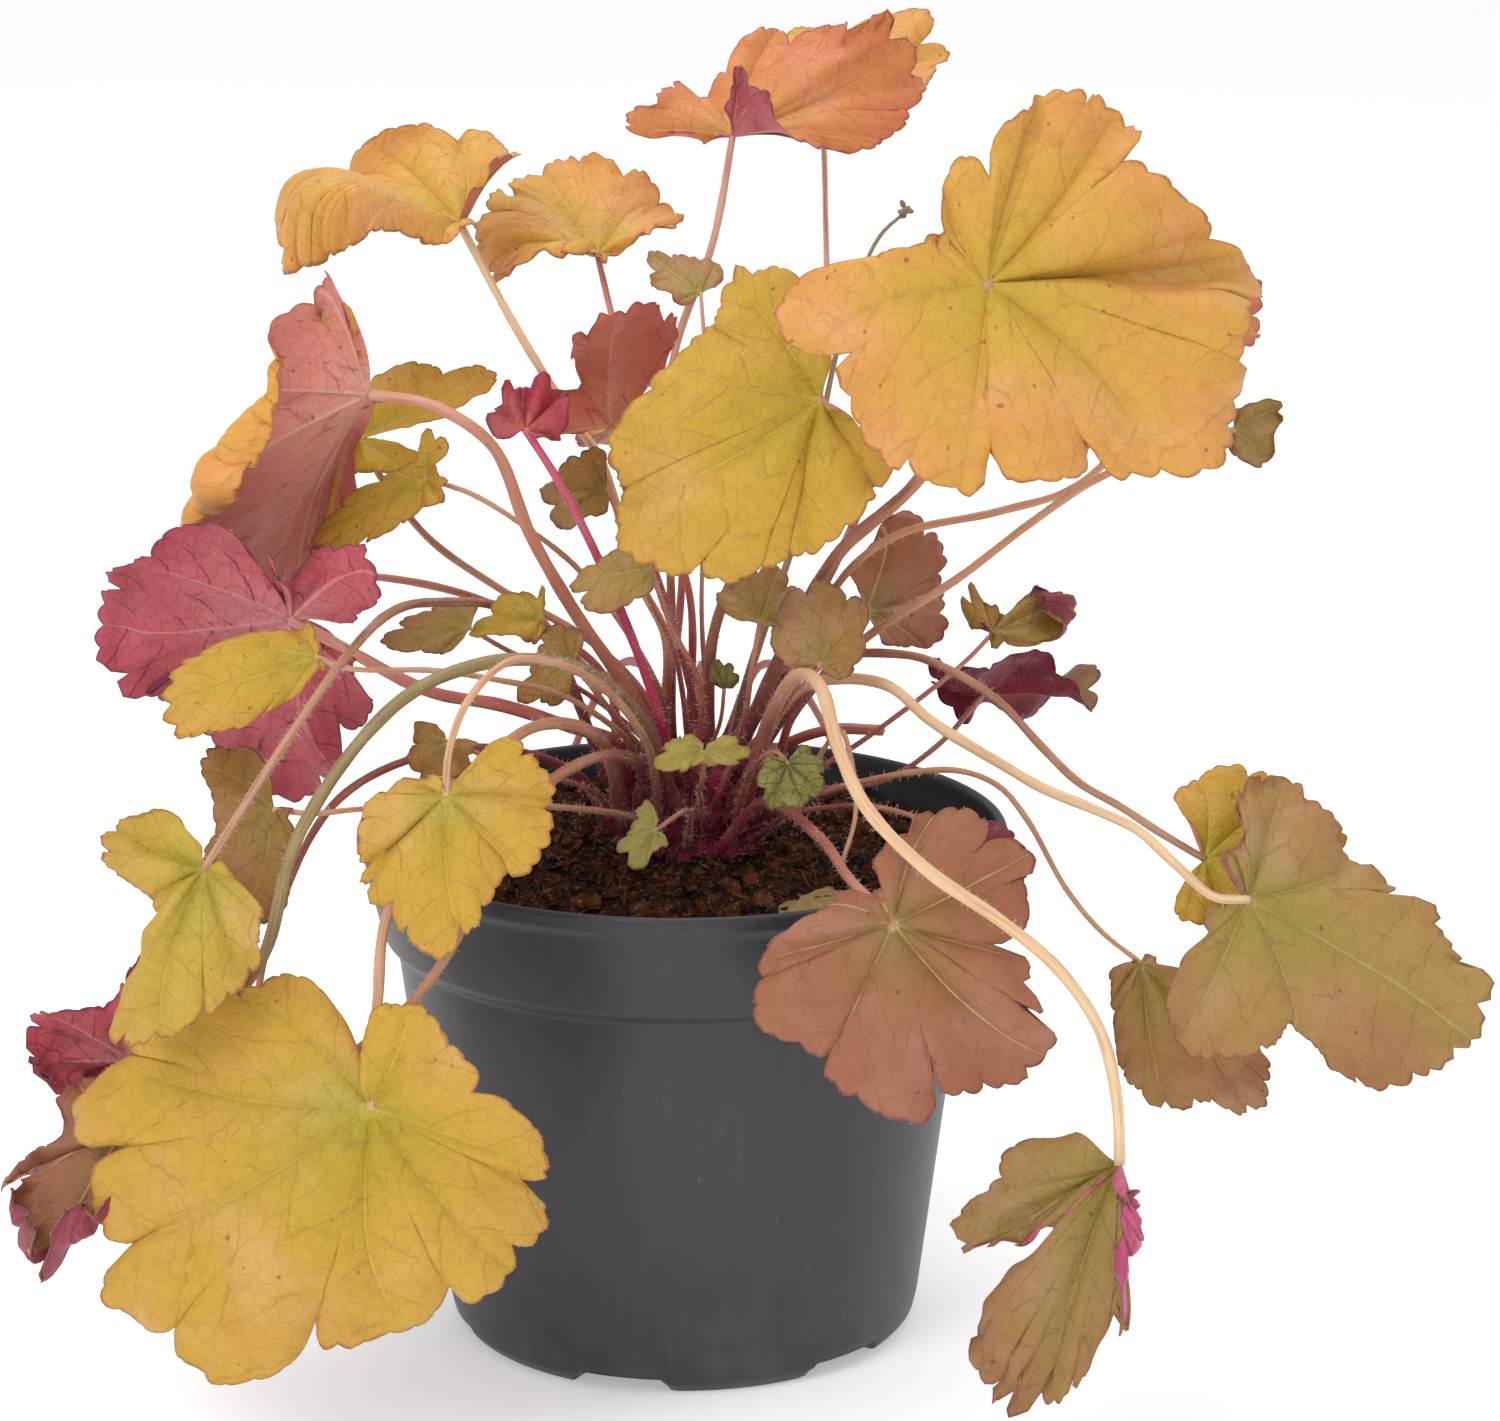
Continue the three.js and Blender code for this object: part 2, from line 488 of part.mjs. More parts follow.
    via: [[-26, 2, 146], [-54, -18, 160], [-86, -38, 152], [-104, -50, 116]],
  },
  {
    name: "rim_crinkled", size: SMALL, look: "brown", stalk: 0.8, wave: [2, 6, 0],
    at: [-57, -56, 172], along: [-0.3, -0.6, -0.7], face: [-0.2, -0.75, 0.6],
    lobes: [[-100, 9, 10, 0], [-50, 11, 0, 0], [-5, 14, 0, -20], [40, 10, 0, 0], [92, 8, 0, 0]],
    via: [[-24, -28, 152], [-44, -44, 163]],
  },
  {
    name: "pot_front_violet", size: SMALL, look: "burgundy", stalk: 0.8,
    at: [72, -66, 150], along: [0.5, -0.5, -0.7], face: [0.2, -0.85, 0.5],
    lobes: [[-80, 12, 0, 0], [-36, 17, 0, 0], [0, 20, 0, -20], [40, 16, 0, 0], [84, 10, 0, 0]],
    via: [[28, -24, 144], [50, -46, 152]],
  },
];

// Leaves and stalks with no blade that show on the compost: where they lie, as above.
const FALLEN = [
  {
    name: "compost_pale", size: SMALL, look: "straw",
    at: [30, -40, 126], along: [0.9, -0.42, 0], face: [0, 0, 1],
    lobes: [[-84, 13, 0, 0], [-46, 20, 0, 0], [-8, 20, 0, 0], [34, 17, 0, 0], [80, 9, 0, 0]],
  },
  {
    name: "compost_brown", size: SMALL, look: "brown",
    at: [-34, -48, 125], along: [-0.82, -0.57, 0], face: [0, 0, 1],
    lobes: [[-70, 8, 0, 0], [-35, 12, 0, 0], [1, 17, 0, 0], [33, 17, 0, 0], [76, 10, 0, 0]],
  },
];
const STEMS = [
  {
    name: "dried_flower_stem", size: SMALL, look: "straw", stalk: 1, head: 2.2,
    via: [[16, 16, 166], [31, 36, 208], [43, 56, 258], [52, 62, 279], [59, 66, 285]],
  },
  {
    name: "cut_stalk", size: MEDIUM, look: "burgundy", stalk: 1.5,
    via: [[24, 8, 152], [38, 3, 159], [52, -1, 160]],
  },
  {
    name: "dry_hoop", size: SMALL, look: "straw", stalk: 0.8,
    via: [[30, -26, 152], [40, -38, 170], [42, -44, 168], [44, -50, 152], [40, -54, 138]],
  },
];

// ---------------------------------------------------------------- small helpers
const vector = (p) => new THREE.Vector3(...p);
const radians = THREE.MathUtils.degToRad;

/** A closed triangle mesh as a manifold-3d solid. */
function solid(positions, triangles) {
  const mesh = new wasm.Mesh({
    numProp: 3,
    vertProperties: new Float32Array(positions),
    triVerts: new Uint32Array(triangles),
  });
  return new wasm.Manifold(mesh);
}

/** A three.js geometry as a manifold-3d solid. */
function solidOf(geometry) {
  const bare = new THREE.BufferGeometry();
  bare.setAttribute("position", geometry.getAttribute("position"));
  bare.setIndex(geometry.index);
  const merged = mergeVertices(bare, 1e-4);
  return solid(merged.attributes.position.array, merged.index.array);
}

/** A solid as a named mesh in one of the looks. */
function node(name, body, look) {
  const { vertProperties, triVerts } = body.getMesh();
  const geometry = new THREE.BufferGeometry();
  geometry.setAttribute("position", new THREE.BufferAttribute(vertProperties, 3));
  geometry.setIndex(new THREE.BufferAttribute(triVerts, 1));
  const [color, roughness] = LOOK[look];
  const material = new THREE.MeshStandardMaterial({ color, roughness, metalness: 0 });
  const mesh = new THREE.Mesh(geometry, material);
  mesh.name = name;
  return mesh;
}

/** A closed solid from rings of points: each ring is joined to the next, and the ends are capped. */
function loft(rings) {
  const sides = rings[0].length;
  const points = rings.flat();
  const triangles = [];
  for (let ring = 0; ring + 1 < rings.length; ring++) {
    for (let side = 0; side < sides; side++) {
      const a = ring * sides + side;
      const b = ring * sides + ((side + 1) % sides);
      triangles.push(a, b, b + sides, a, b + sides, a + sides);
    }
  }
  const last = (rings.length - 1) * sides;
  for (let side = 1; side + 1 < sides; side++) {
    triangles.push(0, side + 1, side, last, last + side, last + side + 1);
  }
  return solid(points.flatMap((p) => p.toArray()), triangles);
}

// ---------------------------------------------------------------- the pot
/** Outer profile of the pot from the middle of its base up to the rim, then down the inside. */
function potProfile() {
  const { height, rimRadius, wallFoot, wallHead, bandFoot, bandBottom, wall, floor } = POT;
  const { bandStep, lipHeight, lipOut, lipRound, lipWall, footHeight, footFillet } = POT;
  const top = rimRadius - lipRound;
  return [
    [0, 0],
    [POT.restRadius, 0],
    [wallFoot - POT.footBend, POT.footBendHeight],
    [wallFoot, footHeight],
    [wallHead, bandBottom - bandStep],
    [bandFoot, bandBottom],
    [rimRadius - lipOut, height - lipHeight * 1.5],
    [rimRadius, height - lipHeight],
    [top, height],
    [top - lipWall, height],
    [bandFoot - wall, bandBottom + wall],
    [wallHead - wall, bandBottom + wall - bandStep],
    [wallFoot - wall, footHeight],
    [wallFoot - wall - footFillet, floor],
    [0, floor],
  ];
}

/** A solid turned round the pot's axis from a profile of [radius, height]. */
function turned(profile) {
  const points = profile.map(([r, z]) => new THREE.Vector2(r, z));
  const geometry = new THREE.LatheGeometry(points, POT.sides);
  geometry.rotateX(Math.PI / 2);
  return solidOf(geometry);
}

/** The recesses round the foot of the pot, where water drains off. */
function drainNotch(index) {
  const middle = radians(NOTCH.first + (index * 360) / NOTCH.count);
  const half = radians(NOTCH.spread / 2);
  const corner = (radius, angle, z) =>
    new THREE.Vector3(radius * Math.cos(angle), radius * Math.sin(angle), z);
  const ring = (z, inset) => [
    corner(NOTCH.inner, middle - half + inset, z),
    corner(2 * POT.restRadius, middle - half + inset, z),
    corner(2 * POT.restRadius, middle + half - inset, z),
    corner(NOTCH.inner, middle + half - inset, z),
  ];
  const { height, taper, below } = NOTCH;
  return loft([ring(-below, 0), ring(height - taper, 0), ring(height, half / 4)]);
}

function pot() {
  let body = turned(potProfile());
  for (let index = 0; index < NOTCH.count; index++) {
    body = body.subtract(drainNotch(index));
  }
  return body;
}

// ---------------------------------------------------------------- the compost
/** Height of the compost at a radius and angle: a low mound, broken up by crumbs. */
function compostHeight(radius, angle) {
  const { edge, mound, moundRadius, crumb } = COMPOST;
  const x = radius * Math.cos(angle);
  const y = radius * Math.sin(angle);
  const rough = Math.sin(x * 0.41 + 1.3) * Math.sin(y * 0.37 - 0.6) + Math.sin(x * 0.23 - y * 0.29);
  return edge + mound * Math.exp(-((radius / moundRadius) ** 2)) + crumb * rough;
}

/** Inside radius of the pot at a height, less the clearance. */
function compostRadius(z) {
  const inside = potProfile().slice(9, 14).reverse();
  const upper = inside.findIndex((p) => p[1] >= z);
  if (upper < 1) {
    return inside[0][0] - FIT;
  }
  const [low, high] = [inside[upper - 1], inside[upper]];
  return low[0] + ((z - low[1]) / (high[1] - low[1])) * (high[0] - low[0]) - FIT;
}

/** The compost that fills the pot, with a hollow for the crown and for what is pressed into it. */
function compost(hollows) {
  const { sides, bandBottom, bandStep, wall, footHeight } = POT;
  const levels = [POT.floor + FIT, footHeight, bandBottom + wall - bandStep, bandBottom + wall];
  const positions = [0, 0, levels[0]];
  const circle = (radius, heightAt) => {
    for (let side = 0; side < sides; side++) {
      const angle = (side / sides) * 2 * Math.PI;
      positions.push(radius * Math.cos(angle), radius * Math.sin(angle), heightAt(angle));
    }
  };
  for (const z of levels) {
    circle(compostRadius(z), () => z);
  }
  const edge = compostRadius(bandBottom + wall) + COMPOST.spill;
  for (let ring = 0; ring < COMPOST.rings; ring++) {
    const radius = edge * (1 - ring / COMPOST.rings);
    circle(radius, (angle) => compostHeight(radius, angle));
  }
  positions.push(0, 0, compostHeight(0, 0));
  const rows = levels.length + COMPOST.rings;
  const top = 1 + rows * sides;
  const triangles = [];
  for (let side = 0; side < sides; side++) {
    const next = (side + 1) % sides;
    triangles.push(0, 1 + next, 1 + side);
    for (let row = 0; row + 1 < rows; row++) {
      const a = 1 + row * sides + side;
      const b = 1 + row * sides + next;
      triangles.push(a, b, b + sides, a, b + sides, a + sides);
    }
    triangles.push(top - sides + side, top - sides + next, top);
  }
  return hollows.reduce((body, hollow) => body.subtract(hollow), solid(positions, triangles));
}

// ---------------------------------------------------------------- the crown
/** Point of the crown's surface in a direction, grown outwards by a clearance. */
function crownPoint(direction, grow = 0) {
  const height = direction.z > 0 ? CROWN.rise : CROWN.root;
  const { x, y, z } = direction;
  const bumps = Math.sin(7 * x + 2) * Math.cos(6 * y);
  const knob = 1 + KNOB.height * bumps - KNOB.hollow * Math.sin(9 * z);
  return new THREE.Vector3(
    CROWN.x + x * (CROWN.radius * knob + grow),
    CROWN.y + y * (CROWN.radius * knob + grow),
    CROWN.z + z * (height * knob + grow),
  );
}

/** The woody crown, as a knobbly dome that goes down into the compost. */
function crownDome(grow) {
  const geometry = new THREE.IcosahedronGeometry(1, 1);
  const position = geometry.getAttribute("position");
  for (let i = 0; i < position.count; i++) {
    const direction = new THREE.Vector3().fromBufferAttribute(position, i);
    position.setXYZ(i, ...crownPoint(direction, grow).toArray());
  }
  return solidOf(geometry);
}

/** Places for stalks and buds, spread evenly over the dome by the golden angle. */
function crownSeats() {
  const turn = Math.PI * (3 - Math.sqrt(5));
  const lowest = Math.cos(radians(CROWN.lowest));
  return Array.from({ length: CROWN.seats }, (_, index) => {
    const z = 1 - ((1 - lowest) * (index + 0.5)) / CROWN.seats;
    const across = Math.sqrt(1 - z * z);
    const angle = index * turn + radians(CROWN.turn);
    return new THREE.Vector3(across * Math.cos(angle), across * Math.sin(angle), z);
  });
}

/** Which way a stalk sets off from the crown. */
function heading(plant) {
  return vector(plant.via[0]).sub(vector([CROWN.x, CROWN.y, CROWN.z + HEART])).normalize();
}

/** Gives each stalk the free seat nearest to its heading, then lets pairs trade while both gain. */
function seatStalks(plants) {
  const free = crownSeats();
  for (const plant of plants) {
    plant.heading = heading(plant);
    free.sort((a, b) => b.dot(plant.heading) - a.dot(plant.heading));
    plant.seat = free.shift();
  }
  const miss = (plant, seat) => plant.heading.angleTo(seat) ** 2;
  let traded = true;
  while (traded) {
    traded = false;
    for (const one of plants) {
      for (const other of plants) {
        const now = miss(one, one.seat) + miss(other, other.seat);
        if (miss(one, other.seat) + miss(other, one.seat) < now - 1e-9) {
          [one.seat, other.seat] = [other.seat, one.seat];
          traded = true;
        }
      }
    }
  }
  return free;
}

/** A pointed bud scale standing on the crown. */
function bud(direction) {
  const foot = crownPoint(direction).addScaledVector(direction, -BUD.sunk);
  const tip = crownPoint(direction).addScaledVector(direction, BUD.length);
  tip.z += BUD.lift;
  const route = [foot, foot.clone().lerp(tip, 0.5), tip];
  return tube(route, [BUD.radius, BUD.radius, BUD.tip], BUD.sides, BUD.step);
}

// ---------------------------------------------------------------- stalks
/** A round bar along a smooth route, its radius eased between given ones, begun a little early. */
function tube(points, radii, sides, step, early = 0) {
  const route = new THREE.CatmullRomCurve3(points, false, "centripetal");
  const steps = Math.max(2, Math.round(route.getLength() / step));
  const frames = route.computeFrenetFrames(steps, false);
  const rings = [];
  for (let index = 0; index <= steps; index++) {
    const along = (index / steps) ** STALK.crowding;
    const place = along * (radii.length - 1);
    const low = Math.min(Math.floor(place), radii.length - 2);
    const radius = THREE.MathUtils.lerp(radii[low], radii[low + 1], place - low);
    const centre = route.getPointAt(along);
    if (index === 0) {
      centre.addScaledVector(frames.tangents[0], -early);
    }
    const { normals, binormals } = frames;
    const corner = (side) => {
      const angle = (side / sides) * 2 * Math.PI;
      const out = normals[index].clone().multiplyScalar(radius * Math.cos(angle));
      return out.addScaledVector(binormals[index], radius * Math.sin(angle)).add(centre);
    };
    rings.push(Array.from({ length: sides }, (_, side) => corner(side)));
  }
  return loft(rings);
}

/** The stalk of a plant part from inside the crown to its end, or the hole that it needs. */
function stalk(plant, clearance = 0) {
  const { seat, via } = plant;
  const { sides, step } = plant.size;
  const foot = crownPoint(seat);
  const onward = vector(via[0]).sub(foot).normalize();
  const start = seat.clone().lerp(onward, STALK.lean).normalize();
  const points = [
    foot.clone().addScaledVector(start, -STALK.sunk),
    foot.clone().addScaledVector(start, STALK.straight),
    ...via.map(vector),
  ];
  if (plant.at) {
    points.push(vector(plant.at));
  }
  const radii = STALK.taper.map((share) => share * plant.stalk + clearance);
  return tube(points, radii, sides, step, clearance);
}

// ---------------------------------------------------------------- leaf blades
/** Seven even lobes: how long the middle one is, and how much they all droop. */
function evenLobes([length, droop]) {
  const middle = (EVEN.shares.length - 1) / 2;
  return EVEN.shares.map((share, index) => {
    return [(index - middle) * EVEN.turn, length * share, EVEN.rise, droop];
  });
}

/** The spokes of a blade, from one side of the stalk's notch round to the other. */
function spokes(lobes, shares) {
  const shoulder = ([angle, length, rise, curl], side, way) => ({
    angle: angle + way * SHOULDER.turn * side,
    length: length * (1 - SHOULDER.fall * side * side),
    rise,
    curl,
  });
  const [first, last] = [lobes[0], lobes[lobes.length - 1]];
  const [near, far] = SHOULDER.places;
  const list = [shoulder(first, far, -1), shoulder(first, near, -1)];
  for (let lobe = 0; lobe + 1 < lobes.length; lobe++) {
    for (const t of shares) {
      const between = 1 - Math.abs(2 * t - 1);
      const [angle, length, rise, curl] = lobes[lobe].map(
        (value, k) => value + (lobes[lobe + 1][k] - value) * t,
      );
      const dip = 1 - SINUS.depth * between ** SINUS.power;
      list.push({ angle, length: length * dip, rise, curl });
    }
  }
  list.push(shoulder(last, near, 1), shoulder(last, far, 1));
  return list;
}

/** A point of the blade at a share of a spoke: the spoke bends as it runs out, then ripples. */
function bladePoint(spoke, share, wave) {
  const { parts, power } = BEND;
  let out = 0;
  let up = 0;
  for (let part = 0; part < parts; part++) {
    const t = ((part + 0.5) / parts) * share;
    const slope = radians(spoke.rise + spoke.curl * t ** power);
    out += (Math.cos(slope) * share * spoke.length) / parts;
    up += (Math.sin(slope) * share * spoke.length) / parts;
  }
  const angle = radians(spoke.angle);
  const [size, count, phase] = wave;
  up += size * share * share * Math.sin(count * angle + phase);
  return new THREE.Vector3(out * Math.cos(angle), out * Math.sin(angle), up);
}

/** A leaf blade as a thin closed solid, thicker and wider by a clearance where one is given. */
function blade(leaf, grow = 0) {
  const { size } = leaf;
  const lobes = leaf.lobes ?? evenLobes(leaf.even);
  const wave = leaf.wave ?? [size.wave, 6, 1];
  const spread = spokes(lobes, size.spokes).map((s) => ({ ...s, length: s.length + grow }));
  const rings = size.rings.length;
  const middle = [new THREE.Vector3()];
  for (const spoke of spread) {
    middle.push(...size.rings.map((share) => bladePoint(spoke, share, wave)));
  }
  const skin = [];
  for (let spoke = 0; spoke + 1 < spread.length; spoke++) {
    const a = 1 + spoke * rings;
    const b = a + rings;
    skin.push(0, a, b);
    for (let ring = 0; ring + 1 < rings; ring++) {
      skin.push(a + ring, a + ring + 1, b + ring + 1, a + ring, b + ring + 1, b + ring);
    }
  }
  const last = 1 + (spread.length - 1) * rings;
  const border = [0];
  for (let ring = 0; ring < rings; ring++) {
    border.push(1 + ring);
  }
  for (let spoke = 1; spoke < spread.length; spoke++) {
    border.push(spoke * rings + rings);
  }
  for (let ring = rings - 2; ring >= 0; ring--) {
    border.push(last + ring);
  }
  return placed(thickened(middle, skin, border, BLADE / 2 + grow), leaf);
}

/** A sheet of triangles made solid: both faces, each half a thickness out, and the edge between. */
function thickened(points, skin, border, half) {
  const sheet = new THREE.BufferGeometry().setFromPoints(points);
  sheet.setIndex(skin);
  sheet.computeVertexNormals();
  const normal = sheet.getAttribute("normal");
  const side = (way) =>
    points.flatMap((p, i) =>
      p.clone().addScaledVector(new THREE.Vector3().fromBufferAttribute(normal, i), way * half).toArray(),
    );
  const count = points.length;
  const triangles = [...skin];
  for (let i = 0; i < skin.length; i += 3) {
    triangles.push(skin[i] + count, skin[i + 2] + count, skin[i + 1] + count);
  }
  border.forEach((a, index) => {
    const b = border[(index + 1) % border.length];
    triangles.push(a, a + count, b + count, a, b + count, b);
  });
  return solid([...side(1), ...side(-1)], triangles);
}

/** A blade turned and moved to where its stalk holds it. */
function placed(body, leaf) {
  const face = vector(leaf.face).normalize();
  const along = vector(leaf.along);
  along.addScaledVector(face, -along.dot(face)).normalize();
  const across = new THREE.Vector3().crossVectors(face, along);
  const place = new THREE.Matrix4().makeBasis(along, across, face);
  place.setPosition(...leaf.at);
  return body.transform(place.elements);
}

/** A leaf: its blade and the stalk that carries it, joined in one piece. */
function leaf(plant) {
  return blade(plant).add(stalk(plant));
}

/** A stem with no leaf, with a dried head at its end if it has one. */
function bareStem(plant) {
  const body = stalk(plant);
  if (!plant.head) {
    return body;
  }
  const head = new THREE.IcosahedronGeometry(plant.head, 1);
  head.scale(...SEED_HEAD);
  head.translate(...plant.via[plant.via.length - 1]);
  return body.add(solidOf(head));
}

// ---------------------------------------------------------------- the whole plant
function plantInPot() {
  const group = new THREE.Group();
  group.name = "heuchera_in_pot";
  const seated = [...LEAVES, ...STEMS];
  const free = seatStalks(seated).filter((seat) => seat.z > BUD.lowest);
  const holes = seated.map((plant) => stalk(plant, FIT));
  const dome = free.reduce((body, seat) => body.add(bud(seat)), crownDome(0));
  const crown = holes.reduce((body, hole) => body.subtract(hole), dome);
  const pressed = FALLEN.map((fallen) => blade(fallen, FIT));

  group.add(node("pot", pot(), "pot"));
  group.add(node("compost", compost([crownDome(FIT), ...pressed]), "compost"));
  group.add(node("crown", crown, "crown"));
  for (const plant of LEAVES) {
    group.add(node(`leaf_${plant.name}`, leaf(plant), plant.look));
  }
  for (const plant of STEMS) {
    group.add(node(plant.name, bareStem(plant), plant.look));
  }
  for (const fallen of FALLEN) {
    group.add(node(`leaf_${fallen.name}`, blade(fallen), fallen.look));
  }
  return group;
}

export default plantInPot();
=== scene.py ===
"""A heuchera in a round nursery pot: the pot, its compost, the crown and each leaf on its stalk.

Tables are in millimetres, and a mesh becomes metres when it is made. The origin is the middle of
the pot's base on the floor, with +Z up. Every surface is worked out with numpy on a grid.
"""

import logging
from dataclasses import dataclass, fields
from enum import Enum

import bpy
import numpy as np
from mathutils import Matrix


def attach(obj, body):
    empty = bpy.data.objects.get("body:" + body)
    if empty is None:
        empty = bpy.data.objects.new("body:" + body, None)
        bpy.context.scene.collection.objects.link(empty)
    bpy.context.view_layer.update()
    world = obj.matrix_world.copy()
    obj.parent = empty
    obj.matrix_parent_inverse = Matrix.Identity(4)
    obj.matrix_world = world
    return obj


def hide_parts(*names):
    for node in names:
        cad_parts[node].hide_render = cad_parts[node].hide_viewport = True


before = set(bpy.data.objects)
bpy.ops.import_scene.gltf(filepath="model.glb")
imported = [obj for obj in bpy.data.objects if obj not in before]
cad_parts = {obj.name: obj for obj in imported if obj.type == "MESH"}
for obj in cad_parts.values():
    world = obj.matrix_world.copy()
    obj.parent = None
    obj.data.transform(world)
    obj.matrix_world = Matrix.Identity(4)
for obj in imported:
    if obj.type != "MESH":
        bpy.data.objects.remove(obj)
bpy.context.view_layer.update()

MM = 0.001
SEED = 7413
LUMPS, LYING, ON_CROWN, ON_STEMS = 300, 301, 400, 500  # added to the seed, one for each
TURN = 2 * np.pi
Array, Random = np.ndarray, np.random.Generator
Material, Socket = bpy.types.Material, bpy.types.NodeSocket
Point = tuple[float, float, float]
log = logging.getLogger("heuchera")


# ------------------------------------------------------------------ finishes
@dataclass(frozen=True)
class Skin:
    """The colours of one face of a blade, and how strongly its net and its flush show.

    heart is round the stalk, blade the main colour, blush the flush that spreads from the edge,
    edge the thin line along it, vein and rib the net and the main veins.
    """

    heart: str
    blade: str
    blush: str
    edge: str
    vein: str
    rib: str
    net: float
    flush: float


@dataclass(frozen=True)
class Rind:
    """The colours of a stalk at its foot, along it and at the blade, and of its streaks."""

    foot: str
    middle: str
    tip: str
    streak: str


class Stem(Enum):
    """The kinds of stalk."""

    ROSE = Rind("#8c2240", "#ae6254", "#c88a74", "#8a3c40")
    CRIMSON = Rind("#96193f", "#b8365a", "#cc5c74", "#8c1f3f")
    PINK = Rind("#94284a", "#bc6658", "#d49484", "#9a4044")
    TAN = Rind("#8c2e40", "#c08c6a", "#dcac88", "#9c6448")
    BRONZE = Rind("#802840", "#a8745a", "#c09274", "#7c4a38")
    OLIVE = Rind("#883040", "#988458", "#b09c6c", "#745c3c")
    STRAW = Rind("#9c4a48", "#e4bc92", "#eccca4", "#c08e64")
    PALE = Rind("#86303f", "#cb9480", "#dcb09c", "#a9665c")
    SALMON = Rind("#8c3a3c", "#cc8468", "#d89c84", "#b06a58")
    DRY = Rind("#6b4a35", "#a08561", "#8c8067", "#5d4a36")


